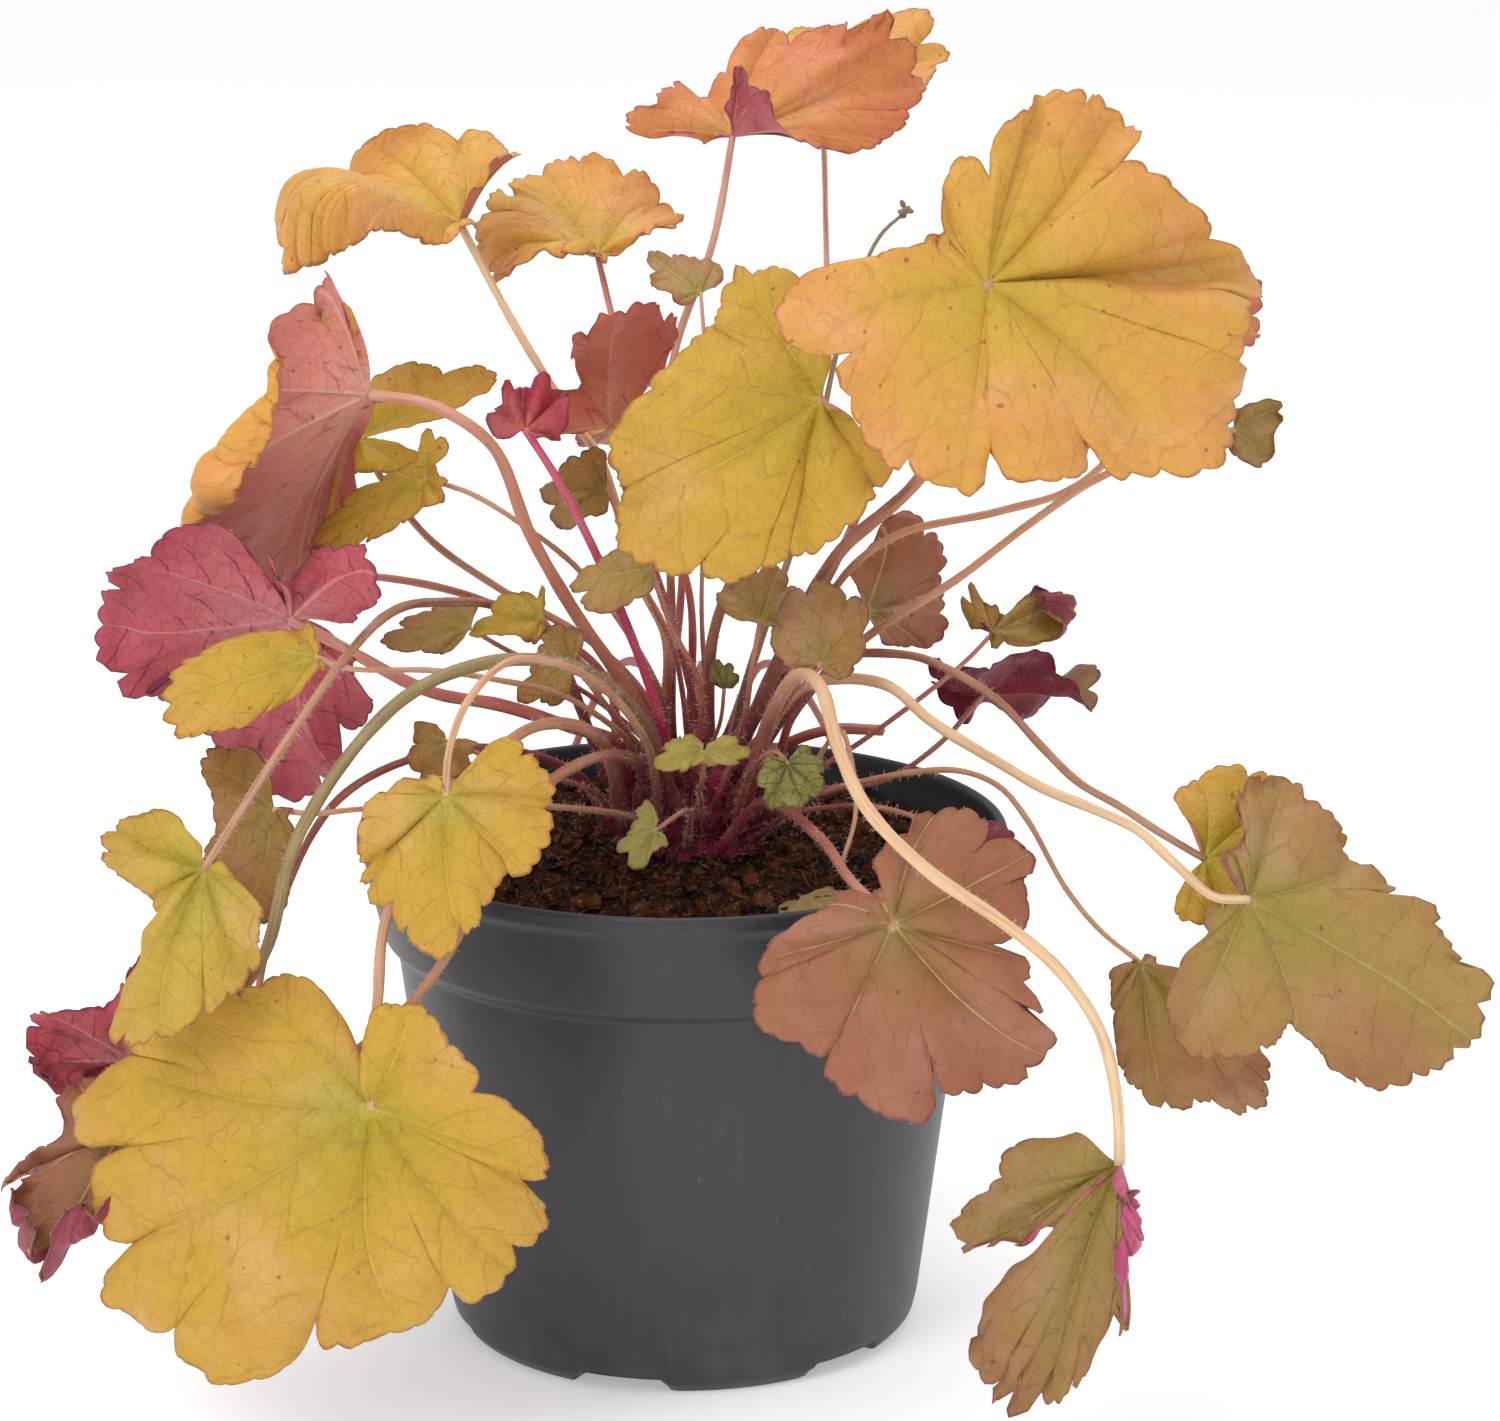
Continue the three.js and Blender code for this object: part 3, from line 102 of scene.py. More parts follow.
class Look(Enum):
    """The looks of a leaf: its record slot, and its upper and under face."""

    YELLOW = (
        "yellow",
        Skin("#b09a28", "#c69f34", "#d09348", "#8e3f2c", "#a07a2a", "#cdb64e", 0.45, 0.5),
        Skin("#c98f6a", "#c9815e", "#b85c5c", "#8a2f3a", "#a04a48", "#dba080", 0.5, 0.6),
    )
    GOLD = (
        "gold",
        Skin("#c2a232", "#d4a144", "#dc9054", "#8f3a2e", "#b0752e", "#d0a246", 0.4, 0.62),
        Skin("#cf8a6c", "#c87860", "#b5525a", "#8a2f3a", "#9c4448", "#dba080", 0.5, 0.6),
    )
    LIME = (
        "lime",
        Skin("#aa9a34", "#c0a23c", "#c48a46", "#8c2f38", "#968430", "#c8b852", 0.45, 0.5),
        Skin("#b98a60", "#b0745a", "#a04a50", "#852a3a", "#8a4242", "#c89a78", 0.5, 0.6),
    )
    OLIVE = (
        "olive",
        Skin("#9c8a3c", "#a88748", "#a5684a", "#7d2a34", "#7e6a34", "#bba86a", 0.4, 0.6),
        Skin("#a87a5c", "#9f6552", "#8c3c48", "#6f2434", "#7c3a3e", "#b98a6c", 0.5, 0.6),
    )
    BROWN = (
        "brown",
        Skin("#94743c", "#a06a46", "#9c5648", "#6c2434", "#8a5038", "#dcc48c", 0.25, 0.6),
        Skin("#a05a50", "#94404c", "#802c42", "#641d33", "#7a2c3c", "#b0605c", 0.6, 0.5),
    )
    SALMON = (
        "salmon",
        Skin("#cf8a4e", "#d08054", "#c8645a", "#7c2636", "#b3604c", "#d9a070", 0.4, 0.6),
        Skin("#dc9c88", "#d57f74", "#c2605f", "#842438", "#a8434c", "#e4b09c", 0.7, 0.5),
    )
    COPPER = (
        "salmon",
        Skin("#cf8a4e", "#d08054", "#c8645a", "#7c2636", "#b3604c", "#d9a070", 0.4, 0.6),
        Skin("#d08a6c", "#c46c52", "#b05248", "#7c2430", "#a0443c", "#dc9c7c", 0.7, 0.5),
    )
    ROSE = (
        "salmon",
        Skin("#cf9a44", "#d68a4c", "#cc6c52", "#7c2636", "#b3604c", "#d9a070", 0.4, 0.6),
        Skin("#cc747c", "#bc5462", "#a03c50", "#701c34", "#8c2c44", "#dc9c98", 0.7, 0.5),
    )
    BLUSH = (
        "salmon",
        Skin("#cfa238", "#daa044", "#e08e50", "#8f3a2e", "#b0752e", "#d0a246", 0.4, 0.55),
        Skin("#e4a490", "#e29080", "#d0746a", "#842438", "#b04c50", "#e8b8a4", 0.6, 0.4),
    )
    RUST = (
        "olive",
        Skin("#948038", "#9c7c42", "#a0604c", "#6c2434", "#6e5a2e", "#a89454", 0.4, 0.6),
        Skin("#c46a80", "#c4587c", "#a8405a", "#6c1834", "#842444", "#d49296", 0.6, 0.45),
    )
    BRONZE = (
        "brown",
        Skin("#947a34", "#a07a38", "#9c6440", "#5c2030", "#745030", "#ac8a48", 0.5, 0.45),
        Skin("#a04c50", "#903846", "#78263a", "#58162c", "#681c32", "#aa5c5c", 0.6, 0.5),
    )
    CRIMSON = (
        "burgundy",
        Skin("#b84a48", "#b03444", "#94243c", "#5c142c", "#7c1c34", "#c0605c", 0.6, 0.5),
        Skin("#b84e58", "#a43248", "#86203a", "#54122a", "#701a32", "#c07470", 0.7, 0.45),
    )
    BURGUNDY = (
        "burgundy",
        Skin("#7c3a40", "#7a3240", "#6c2238", "#56162c", "#5f1c30", "#9c5a54", 0.5, 0.5),
        Skin("#cc8084", "#be5660", "#9c3648", "#681830", "#7c2038", "#d49092", 0.85, 0.55),
    )
    WINE = (
        "burgundy",
        Skin("#8a7a3c", "#8f7440", "#7c4440", "#5c2030", "#6e4a2c", "#a88448", 0.5, 0.6),
        Skin("#94404a", "#84303e", "#702638", "#4c1226", "#5c1a2c", "#a05058", 0.6, 0.5),
    )
    SAGE = (
        "yellow",
        Skin("#a09444", "#aa9a48", "#b09248", "#8a5a3c", "#8c7c40", "#b8ac6c", 0.4, 0.4),
        Skin("#a08a58", "#9c8452", "#94703f", "#7c4a38", "#7c6238", "#b39c62", 0.4, 0.4),
    )
    MOSS = (
        "lime",
        Skin("#8a8a44", "#98904a", "#9c8448", "#7c5a3c", "#7c7038", "#a8a060", 0.5, 0.4),
        Skin("#8c8450", "#94844e", "#8c6c44", "#6c4434", "#746034", "#a49460", 0.5, 0.4),
    )
    GREEN = (
        "green",
        Skin("#848040", "#8e8a42", "#8a6c40", "#4a2030", "#44302a", "#4c3a2c", 1.0, 0.4),
        Skin("#9a8a60", "#8f7654", "#7c4448", "#5f2434", "#6c3a3c", "#a08a6c", 0.5, 0.5),
    )
    STRAW = (
        "straw",
        Skin("#a98e50", "#a8904f", "#94703f", "#5c3c28", "#7c6238", "#b39c62", 0.6, 0.5),
        Skin("#a08a58", "#9c8452", "#8a6840", "#5c3c28", "#7c6238", "#b39c62", 0.6, 0.5),
    )


@dataclass(frozen=True)
class Mottle:
    """A mottled matt finish.

    dark and light are the colours of its hollows and high places. size is that of its mottling and
    deep the depth of its grain, in millimetres, and rough is its roughness.
    """

    dark: str
    light: str
    size: float
    rough: float
    deep: float


class Matt(Enum):
    """The mottled matt finishes."""

    HAIR = Mottle("#ecd2c4", "#f8ebe0", 3, 0.5, 0.02)
    SOIL = Mottle("#0c0401", "#44200c", 5, 1.0, 1.6)
    CRUMB = Mottle("#1a0a03", "#66381a", 5, 0.95, 0.9)
    BARK = Mottle("#24130b", "#5e3822", 5, 0.85, 0.5)
    FIBRE = Mottle("#4a2e1a", "#8a6040", 5, 0.8, 0.1)
    CROWN_SKIN = Mottle("#4c1624", "#902642", 6, 0.65, 0.4)
    SCALE = Mottle("#6e1e32", "#a44c60", 5, 0.55, 0.2)
    BUD = Mottle("#821d3a", "#b03e5c", 5, 0.5, 0.2)


# ------------------------------------------------------------------ sizes of leaf
@dataclass(frozen=True)
class Cut:
    """How finely a leaf is drawn and how strong its relief is, in millimetres.

    tooth and notch are the width of a scallop of the edge and the depth between two. corners is
    the number of grid columns to a scallop, and is even, and rings the number of grid rows from
    the stalk to the edge. wave is the height of the ripples, pleat how far the blade rises between
    two main veins, groove how deep those veins lie, and quilt the swelling between side veins.
    thick is the blade's thickness. sides and step are the stalk's: how many it has, and how far
    apart its rings are. dip is the percent of its length that a blade loses between two lobes.
    """

    tooth: float
    notch: float
    corners: int
    rings: int
    wave: float
    pleat: float
    groove: float
    quilt: float
    thick: float
    sides: int
    step: float
    dip: float


class Size(Enum):
    """The sizes of leaf."""

    LARGE = Cut(6.6, 0.8, 6, 32, 1.8, 3.4, 0.25, 0.35, 0.5, 12, 2.2, 7)
    MEDIUM = Cut(5.2, 0.8, 6, 22, 1.4, 2.2, 0.2, 0.25, 0.45, 10, 2.4, 9)
    SMALL = Cut(3.6, 0.6, 4, 14, 0.9, 1.0, 0.15, 0.18, 0.4, 8, 2.6, 15)


LARGE, MEDIUM, SMALL = Size


@dataclass(frozen=True)
class Leaf:
    """One leaf: its blade, from a few lobes, and the stalk that carries it.

    at is where the stalk meets the blade, along runs from there towards the tip, and face out of
    the upper side. via are the points that the stalk passes on its way from the crown, and stalk
    is its radius: with none, the leaf lies loose. wave is the height, number and phase of the
    ripples round the blade. even stands for seven even lobes: how long the middle one is and how
    much they droop.

    A lobe is its angle from the tip and its length, then in degrees the slope at which it leaves
    the stalk, its turn from there to the edge, and the roll of the edge alone. Then come the dip
    between it and the next lobe, how far over to that lobe the dip lies, and how far out the roll
    begins, all three in percent. What a lobe leaves out is as usual.
    """

    name: str
    size: Size
    look: Look
    stalk: float
    at: Point
    along: Point
    face: Point
    stem: Stem = Stem.ROSE
    via: tuple[Point, ...] = ()
    lobes: tuple[tuple[float, ...], ...] = ()
    even: tuple[float, float] | None = None
    wave: tuple[float, float, float] | None = None


LEAVES = (
    Leaf(
        "front_left", LARGE, Look.YELLOW, 1.7, (-73, -112, 96), (-0.46, -0.27, -0.85),
        (-0.1, -0.93, 0.35), Stem.TAN, via=((-20, -36, 167), (-31, -50, 175), (-41, -62, 174),
        (-58, -79, 156), (-70, -91, 138), (-72, -101, 119)), lobes=((-114, 40, 0, -10, 0, 12, 40),
        (-85, 62, 0, -14, -15, 8, 45), (-63, 77, 0, -20, -20, 16, 45),
        (-43, 74, 0, -15, 0, 13, 60), (-28, 82, 0, -15, -20), (-4, 78, 0, -20, -10, 16, 62),
        (20, 60, -5, -25, 0, 12, 70), (61, 55, -5, -28, -10, 8), (83, 52, -5, -30, 0, 14),
        (99, 45, 0, -25, 0, 20, 60), (150, 27, 14, 5, 0, 0), (178, 29, 16, 5, 0, 0),
        (196, 27, 18, 5)),
    ),
    Leaf(
        "rim_left", MEDIUM, Look.YELLOW, 1.2, (-55, -98, 170), (-0.07, -0.36, -0.93),
        (0, -0.93, 0.36), Stem.TAN, via=((-8, -34, 164), (-18, -52, 184), (-30, -68, 195),
        (-41, -80, 198), (-50, -91, 191), (-54, -97, 181)), lobes=((-132, 6, 8, 5, 0, 3, 73),
        (-103, 12, 5, 0, 0, 10, 47), (-75, 20, 0, -12, -15, 8, 40), (-54, 25, 0, -14, 0, 12, 76),
        (-42, 30, -5, -25), (-31, 31, 0, -12, -15), (-15, 34, 0, -12, 0, 4, 15),
        (2, 40, 0, -18, -10), (18, 32, 0, -12, 0, 7, 15), (35, 24, 0, -12, -10, 36, 59),
        (52, 27, 0, -16, -15, 0), (78, 27, 0, -12, 0, 10, 42), (98, 26, 0, -10, 0, 0, 67),
        (119, 23, 3, -5, 0, 6, 16), (138, 20, 8, 5, 0, 0, 78), (151, 5, 10, 5)),
    ),
    Leaf(
        "left_lime", MEDIUM, Look.LIME, 1.4, (-113, -100, 152), (-0.43, -0.42, -0.8),
        (-0.1, -0.85, 0.5), Stem.BRONZE, via=((-36, -6, 189), (-46, -10, 195), (-58, -30, 201),
        (-70, -56, 205), (-81, -82, 198), (-98, -96, 175)), lobes=((-113, 19, 5, 10, 0, 0),
        (-97, 24, 0, 5, 0, 3), (-83, 26, 0, 5, 0, 3), (-71, 25, 0, 5, 0, 0), (-56, 18, 0, 0, 0, 0),
        (-40, 14.5, 0, 0, 0, 0), (-12, 15, 0, 0, 0, 0), (-3, 45, 0, -10, 0, 2),
        (4, 46, 0, -14, 0, 4), (16, 41, 0, -15, 0, 12, 75), (30, 35, 0, -15, 0, 4),
        (44, 30, 0, -15, -10, 5), (58, 28, 0, -15, 0, 3), (68, 22, 0, -14, 0, 2),
        (80, 18, 0, -12, 0, 2), (88, 11, 0, -10), (110, 7), (152, 6, 5)),
    ),
    Leaf(
        "left_small_yellow", SMALL, Look.YELLOW, 0.9, (-88, -70, 197), (-0.89, -0.35, -0.27),
        (0.1, -0.75, 0.65), Stem.TAN, via=((-15, -27, 166), (-30, -37, 179), (-45, -46, 185),
        (-61, -56, 190), (-80, -66, 193)), lobes=((-119, 4, 0, 0, 0, 0), (-104, 9, 0, 5, 0, 3),
        (-81, 8.8, 0, 0, 0, 5), (-58, 11.5, 0, 0, 0, 2), (-50, 14.5, 0, 0, 0, 2),
        (-36, 21.5, 0, 0, 0, 6, 90), (-24, 32, 0, -5, 0, 2), (-18, 35, 0, -5, 0, 2),
        (-9, 38, 0, -10, 0, 3), (-1, 40, 0, -15, 0, 2), (9, 39, 0, -15, 0, 5),
        (17, 30, 0, -12, 0, 2), (22, 26, 0, -10, 0, 22, 35), (31, 17, 0, -5, 0, 2),
        (39, 12.5, 0, -5), (60, 6), (100, 4)),
    ),
    Leaf(
        "left_burgundy", LARGE, Look.BURGUNDY, 1.9, (-95, -56, 203), (-0.98, 0.2, 0.04),
        (0.2, 0.84, 0.5), Stem.PINK, via=((-16, -20, 161), (-30, -32, 170), (-45, -40, 177),
        (-62, -46, 182), (-82, -54, 195)), lobes=((-140, 19, -5, 5),
        (-130, 29, -10, 0, 10, 18, 82), (-99, 46, -5, -5, -10), (-84, 60, 0, -10, 0, 12, 69),
        (-67, 53, 0, -15, 0, 3, 78), (-39, 46, 0, -20, 0, 8, 72), (-28, 51, 0, -20, -10),
        (-16, 53, 0, -15, 10, 1, 46), (5, 48, 0, -12, -10, 8, 25), (14, 47, 0, -10, 0, 0, 69),
        (30, 41, 0, -8, 0, 3, 15), (52, 35, 0, -10, 0, 66, 47), (94, 14, 5, 5), (111, 23, 5),
        (129, 35, 0, -10, 15, 5, 17), (148, 31, -5, -5), (163, 19, -5)),
    ),
    Leaf(
        "left_brown", SMALL, Look.BRONZE, 1, (-99, -72, 159), (0, -0.51, -0.86),
        (-0.2, -0.84, 0.5), Stem.TAN, via=((-10, -30, 144), (-32, -52, 154), (-54, -60, 156),
        (-77, -68, 158), (-90, -72, 158)), lobes=((-150, 19, 0, 5, 0, 0), (-134, 24, 0, 5, 0, 3),
        (-125, 23, 0, 5, 0, 0), (-105, 16, 0, 0, 0, 0), (-73, 15.5, 0, 0, 0, 0), (-56, 21, 0, -5),
        (-30, 24, 0, -10), (-4, 28.6, 0, -15), (8, 25, 0, -15), (24, 12, 0, -5), (41, 8.5),
        (84, 5)),
    ),
    Leaf(
        "far_left_burgundy", MEDIUM, Look.BURGUNDY, 1.9, (-136, -76, 96), (-0.91, -0.32, 0.27),
        (-0.2, 0.9, 0.4), Stem.OLIVE, via=((-10, -32, 171), (-24, -48, 188), (-44, -62, 194),
        (-67, -78, 188), (-91, -88, 158), (-101, -88, 126), (-117, -82, 106)),
        lobes=((-36, 15, 0, 0, -140, 7, 50, 60), (-30, 24, 0, 10, -160, 7, 50, 55),
        (-18, 25, 0, 30), (-16, 27, 0, 15, -150, 7, 50, 60), (2, 26, 0, 25, -40),
        (8, 27, 0, 20, 0, 3, 31), (28, 26, 0, 15, -60), (45, 19, 0, 10),
        (63, 19, 0, 10, 40, 25, 84), (74, 29, 0, 20, -60, 5, 44), (83, 32, 0, 20, 20)),
    ),
    Leaf(
        "far_left_brown", MEDIUM, Look.BROWN, 1.5, (-136, -95, 83), (-0.82, 0.24, -0.51),
        (-0.5, -0.74, 0.45), Stem.TAN, via=((-10, -24, 156), (-19, -44, 165), (-32, -58, 162),
        (-44, -72, 149), (-53, -82, 131), (-65, -90, 115), (-92, -98, 96), (-121, -97, 85)),
        lobes=((-72, 18, 10), (-65, 19, 10, 10, 60), (-16, 21, 5, 0, 60), (-8, 47, -5, -20),
        (-5, 26, 0, -5, 30), (13, 43, 0, 0, 140, 7, 50, 62), (34, 50, 0, 5, 150, 23, 65, 60),
        (40, 42, 0, -10, 60), (48, 44, 0, 5, 160, 0, 61, 55), (62, 38, 0, 5, 160, 7, 50, 55),
        (66, 30, 0, 0, 120, 7, 50, 60)),
    ),
    Leaf(
        "pot_front_brown", LARGE, Look.BROWN, 1.6, (52, -95, 137), (0.13, -0.29, -0.95),
        (0.06, -0.95, 0.3), via=((21, -30, 149), (35, -56, 147), (42, -78, 143), (48, -90, 140)),
        lobes=((-124, 16, 8, 5, 0, 3, 63), (-80, 34, 0, -15, 10, 16, 35),
        (-61, 40, 0, -20, 0, 0, 22), (-40, 39, 0, -20, -25, 24, 85), (-31, 41, 0, -12, -20, 2, 39),
        (1, 49, 0, -18, 0, 20, 62), (12, 44, 0, -15, -30, 4, 55), (31, 50, 0, -20, 0, 1, 28),
        (48, 49, 0, -15, -15, 19, 77), (54, 42, 0, -10), (65, 35, 0, -12, 10, 27, 17),
        (98, 34, 0, -10, 10), (107, 38, 0, -8, -10, 20, 61), (137, 33, 3, 0, 0, 2, 55),
        (163, 27, 5, 5, 0, 4, 26), (192, 17, 8, 8), (197, 10, 8, 5)),
    ),
    Leaf(
        "hanging_right", LARGE, Look.RUST, 1.9, (106, -118, 84), (-0.32, -0.13, -0.94),
        (-0.35, -0.9, 0.25), Stem.STRAW, via=((23, -34, 173), (30, -56, 189), (35, -70, 189),
        (39, -82, 177), (46, -98, 166), (60, -108, 154), (77, -112, 143), (91, -113, 131),
        (101, -114, 116), (105, -117, 100)), lobes=((-65, 30, 5, -15, 0, 8, 85),
        (-55, 41, 0, -20, 10, 0, 70), (-50, 49, 0, -25, -10, 2, 74), (-41, 51, -5, -25, 10),
        (-37, 40, -5, -15, 40), (-33, 33, 0, -5, 30), (-26, 25), (-21, 55, 0, -15),
        (-17, 63, 0, -18, -10, 9, 85), (-7, 67, 0, -12), (-3, 69, 0, -15, 60, 11, 47),
        (5, 60, 0, -10), (8, 55, 0, -12, 0, 18, 64), (25, 40, 0, -5, 30),
        (29, 42, 5, 10, 160, 10, 45, 55), (37, 36, 10, 15, 165, 7, 50, 50),
        (46, 31, 10, 15, 150, 7, 50, 50), (57, 18, 20, 20, 100, 7, 50, 60)),
    ),
    Leaf(
        "right_large", LARGE, Look.OLIVE, 1.6, (140, -72, 136), (0.95, -0.08, -0.32),
        (0.12, -0.82, 0.56), Stem.STRAW, via=((30, -24, 177), (51, -38, 182), (63, -45, 174),
        (80, -52, 165), (90, -56, 160), (103, -62, 156), (113, -66, 152), (122, -72, 145),
        (131, -76, 138)), lobes=((-124, 14, 0, 0, 0, 0), (-117, 28, 0, -10, 10, 0),
        (-110, 36, 0, -12, 0, 2), (-94, 42, 0, -14, 0, 3), (-74, 41, 0, -14, 20, 2),
        (-63, 37, 0, -12, 0, 0), (-55, 33, 0, -10, 0, 0), (-49, 40, 0, -12, 0, 2, 40),
        (-44, 50, 0, -14, 20, 3), (-38, 56, 0, -14, 0, 2, 65), (-21, 63, 0, -14, 0, 2),
        (-10, 67, 0, -14, 10, 3), (1, 64, 0, -12, 20, 6, 40), (8, 52, 0, -10, 0, 2),
        (18, 47, 0, -10, 25, 14, 40), (30, 36, 0, -8, 10, 3), (45, 29.5, 0, -8, 0, 3),
        (64, 31, 0, -8, 10, 6), (90, 35, 0, -5, 20, 3), (108, 32, 0, -5, 30, 5),
        (117, 27, 0, -5, 30, 10), (130, 14, 5, 0, 60, 0), (146, 19, 20, 30, 150)),
    ),
    Leaf(
        "right_behind", MEDIUM, Look.YELLOW, 1.3, (131, -54, 141), (0.99, 0.1, 0.08),
        (0.05, -0.86, 0.51), Stem.BRONZE, via=((31, -14, 181), (57, -24, 186), (67, -30, 184),
        (80, -36, 177), (91, -40, 166), (100, -44, 158), (110, -48, 153), (120, -51, 147)),
        lobes=((-118, 17, 0, -10), (-82, 19, 0, -10), (-29, 23, 0, -10), (1, 36, 0, -10),
        (38, 30, 0, -10), (73, 26, 0, -10), (98, 20)),
    ),
    Leaf(
        "right_low_olive", MEDIUM, Look.OLIVE, 0.9, (116, -48, 112), (0.28, -0.46, -0.84),
        (0.1, -0.86, 0.5), Stem.TAN, via=((34, -24, 149), (53, -34, 157), (70, -40, 160),
        (80, -44, 157), (87, -46, 149), (97, -46, 131), (106, -47, 120)),
        lobes=((-96, 3, 0, 0, 0, 0), (-80, 8, 0, -6, 0, 3), (-61, 11, 0, -8, 0, 34, 85),
        (-37, 19, 0, -12, 0, 2), (-28, 26, 0, -14, 0, 2), (-21, 30, 0, -16, 0, 20, 75),
        (-12, 36, 0, -18, 0, 2), (0, 39, 0, -20, 0, 3), (10, 39, 0, -20, 0, 15, 15),
        (18, 46, 0, -20, 0, 2), (26, 48, 0, -18, 0, 2), (37, 41, 0, -12, 0, 3),
        (55, 16, 0, -6, 0, 0), (80, 4)),
    ),
    Leaf(
        "top_right_large", LARGE, Look.GOLD, 1.9, (74, -72, 289), (0.73, -0.22, -0.64),
        (0.05, -0.92, 0.38), Stem.BRONZE, via=((30, -22, 195), (40, -34, 215), (59, -50, 237),
        (71, -62, 264)), lobes=((-172, 18, 5, -5, 0, 27, 54), (-130, 51, 0, -15, -10, 16, 73),
        (-102, 43, 0, -12, 0, 0, 48), (-75, 50, 0, -14, 0, 6, 15), (-52, 51, 0, -18, -15, 50, 22),
        (-29, 49, 0, -15, 0, 15, 85), (-12, 57, 0, -18, -10, 2, 51), (6, 70, 0, -22, 0, 0, 46),
        (22, 67, 0, -24, -10, 6, 38), (36, 64, 0, -20), (48, 80, -10, -40, 0, 10, 42),
        (74, 50, 0, -14, 0, 13, 85), (88, 53, 0, -8, 10, 0, 27), (103, 53, 0, -6, 0, 3, 19),
        (114, 50, 0, -4, 0, 0, 70), (122, 42, 5, 0, 10, 30, 24), (168, 22, 10, 5, 0, 7, 76),
        (179, 16, 8)),
    ),
    Leaf(
        "centre_yellow", LARGE, Look.YELLOW, 1.6, (35, -52, 257), (-0.74, -0.22, -0.64),
        (-0.05, -0.92, 0.38), Stem.BRONZE, via=((8, -8, 186), (15, -12, 208), (24, -20, 233)),
        lobes=((-112, 35, 0, -6, 10, 4, 73), (-101, 40, 0, -8, 0, 0, 70),
        (-81, 33, 0, -8, 0, 4, 49), (-76, 34, 0, -12, 0, 1, 36), (-50, 43, 0, -16, 0, 3, 15),
        (-34, 53, 0, -20, 0, 0, 76), (-21, 54, 0, -18, 0, 2, 16), (-16, 57, 0, -18, -10, 0),
        (-7, 62, 0, -20, 0, 0, 59), (7, 56, 0, -18, -10, 9, 33), (20, 50, 0, -16, 0, 5, 60),
        (30, 42, 0, -16, 0, 14, 24), (45, 37, 0, -14, -10, 0, 45), (76, 27, 0, -12, 0, 4, 15),
        (92, 24, 0, -8), (105, 9)),
    ),
    Leaf(
        "top", MEDIUM, Look.ROSE, 1.3, (13, 60, 306), (0.9, 0.39, 0.18), (0.1, -0.6, 0.8),
        Stem.PALE, via=((-3, 16, 191), (-4, 24, 224), (-2, 36, 253), (8, 50, 280)),
        lobes=((-190, 10, 80), (-155, 22, 82, -5), (-122, 30, 85, -10), (-91, 30, 70, -10),
        (-60, 26, 42, -15), (-38, 24, 15, -20, 0, 4), (-28, 28, 5, -25), (-20, 38, 5, -28, 0, 8),
        (-12, 47, 8, -30, -10, 10), (-1, 57, 10, -30, -10, 5), (6, 57, 12, -15),
        (14, 57, 15, -5, 60, 12, 40), (30, 44, 13, -8, 30, 12, 40), (55, 36, 10, -10, 20, 20),
        (85, 17), (103, 24, 5, -20, 30, 5), (122, 23, 5, -20, 30, 12), (146, 29, 5, -20, 30, 0),
        (153, 27, 5, -20), (161, 8, 0, -20)),
    ),
    Leaf(
        "behind_centre_light", SMALL, Look.OLIVE, 0.7, (5, 20, 271), (-0.63, 0.67, 0.39),
        (0, -0.5, 0.86), Stem.PALE, via=((5, 14, 188), (6, 16, 223), (6, 18, 254)),
        lobes=((-60, 12), (-20, 16), (4, 20), (30, 14, 0, -10), (76, 8)),
    ),
    Leaf(
        "top_behind", SMALL, Look.GOLD, 1, (37, 90, 311), (0.72, 0.67, 0.17), (0.1, -0.35, 0.93),
        Stem.PALE, via=((10, 20, 187), (28, 44, 219), (37, 64, 243), (38, 90, 285)),
        lobes=((-40, 20), (-6, 40), (4, 54, 0, -10), (16, 58, 5), (56, 35, 5)),
    ),
    Leaf(
        "upper_left", MEDIUM, Look.GOLD, 1.4, (-56, 10, 290), (-0.92, 0.38, 0.08),
        (-0.1, -0.42, 0.9), Stem.STRAW, via=((-4, 4, 183), (-11, 6, 198), (-21, 8, 230),
        (-27, 8, 239), (-41, 8, 262)), lobes=((-155, 12, 60), (-131, 16, 45),
        (-104, 27, 10, -10, 0, 6), (-76, 39, 5, -10, 0, 16, 35), (-38, 42, 10, -10, 60, 8),
        (-13, 60, 18, -90, 0, 5), (-3, 66, 20, -105), (16, 58, 30, -20, -80, 6, 50, 50),
        (36, 66, 38, -20, -100, 5, 50, 50), (49, 70, 42, -20, -105, 5, 50, 50),
        (57, 68, 45, -20, -110, 5, 50, 52), (64, 58, 46, -20, -110, 10, 50, 55),
        (75, 32, 48, -40, -60, 10), (95, 18, 45, -60), (125, 9, 30, -40)),
    ),
    Leaf(
        "upper_middle", MEDIUM, Look.GOLD, 1.1, (-22, 34, 278), (-0.71, 0.61, 0.35),
        (0, -0.5, 0.87), Stem.PINK, via=((2, 12, 192), (-6, 18, 217), (-13, 24, 245),
        (-18, 30, 262)), lobes=((-150, 7, 50, -50), (-122, 13, 45, -60), (-104, 18, 20, -40),
        (-96, 26, 0, -20), (-88, 32, 0, -18, 0, 8), (-67, 33, 5, -10, 50, 12, 40),
        (-44, 36, 10, -15, 40, 4), (-30, 43, 10, -20, 0, 5), (-14, 46, 10, -30, -10, 10),
        (0, 42, 8, -32, 0, 6), (14, 38, 10, -50, 0, 5), (29, 36, 18, -75, -30, 8),
        (48, 34, 25, -100, -20, 8), (62, 28, 35, -100, 0, 10), (85, 20, 58, -70, 0, 12),
        (110, 17, 60, -60, 0, 12), (135, 13, 60, -60), (155, 8, 50, -40)),
    ),
    Leaf(
        "left_pink", LARGE, Look.BLUSH, 1.9, (-77, -30, 254), (-0.82, -0.2, -0.53),
        (-0.45, 0.8, 0.4), Stem.SALMON, via=((-7, -2, 157), (-17, -6, 177), (-27, -12, 194),
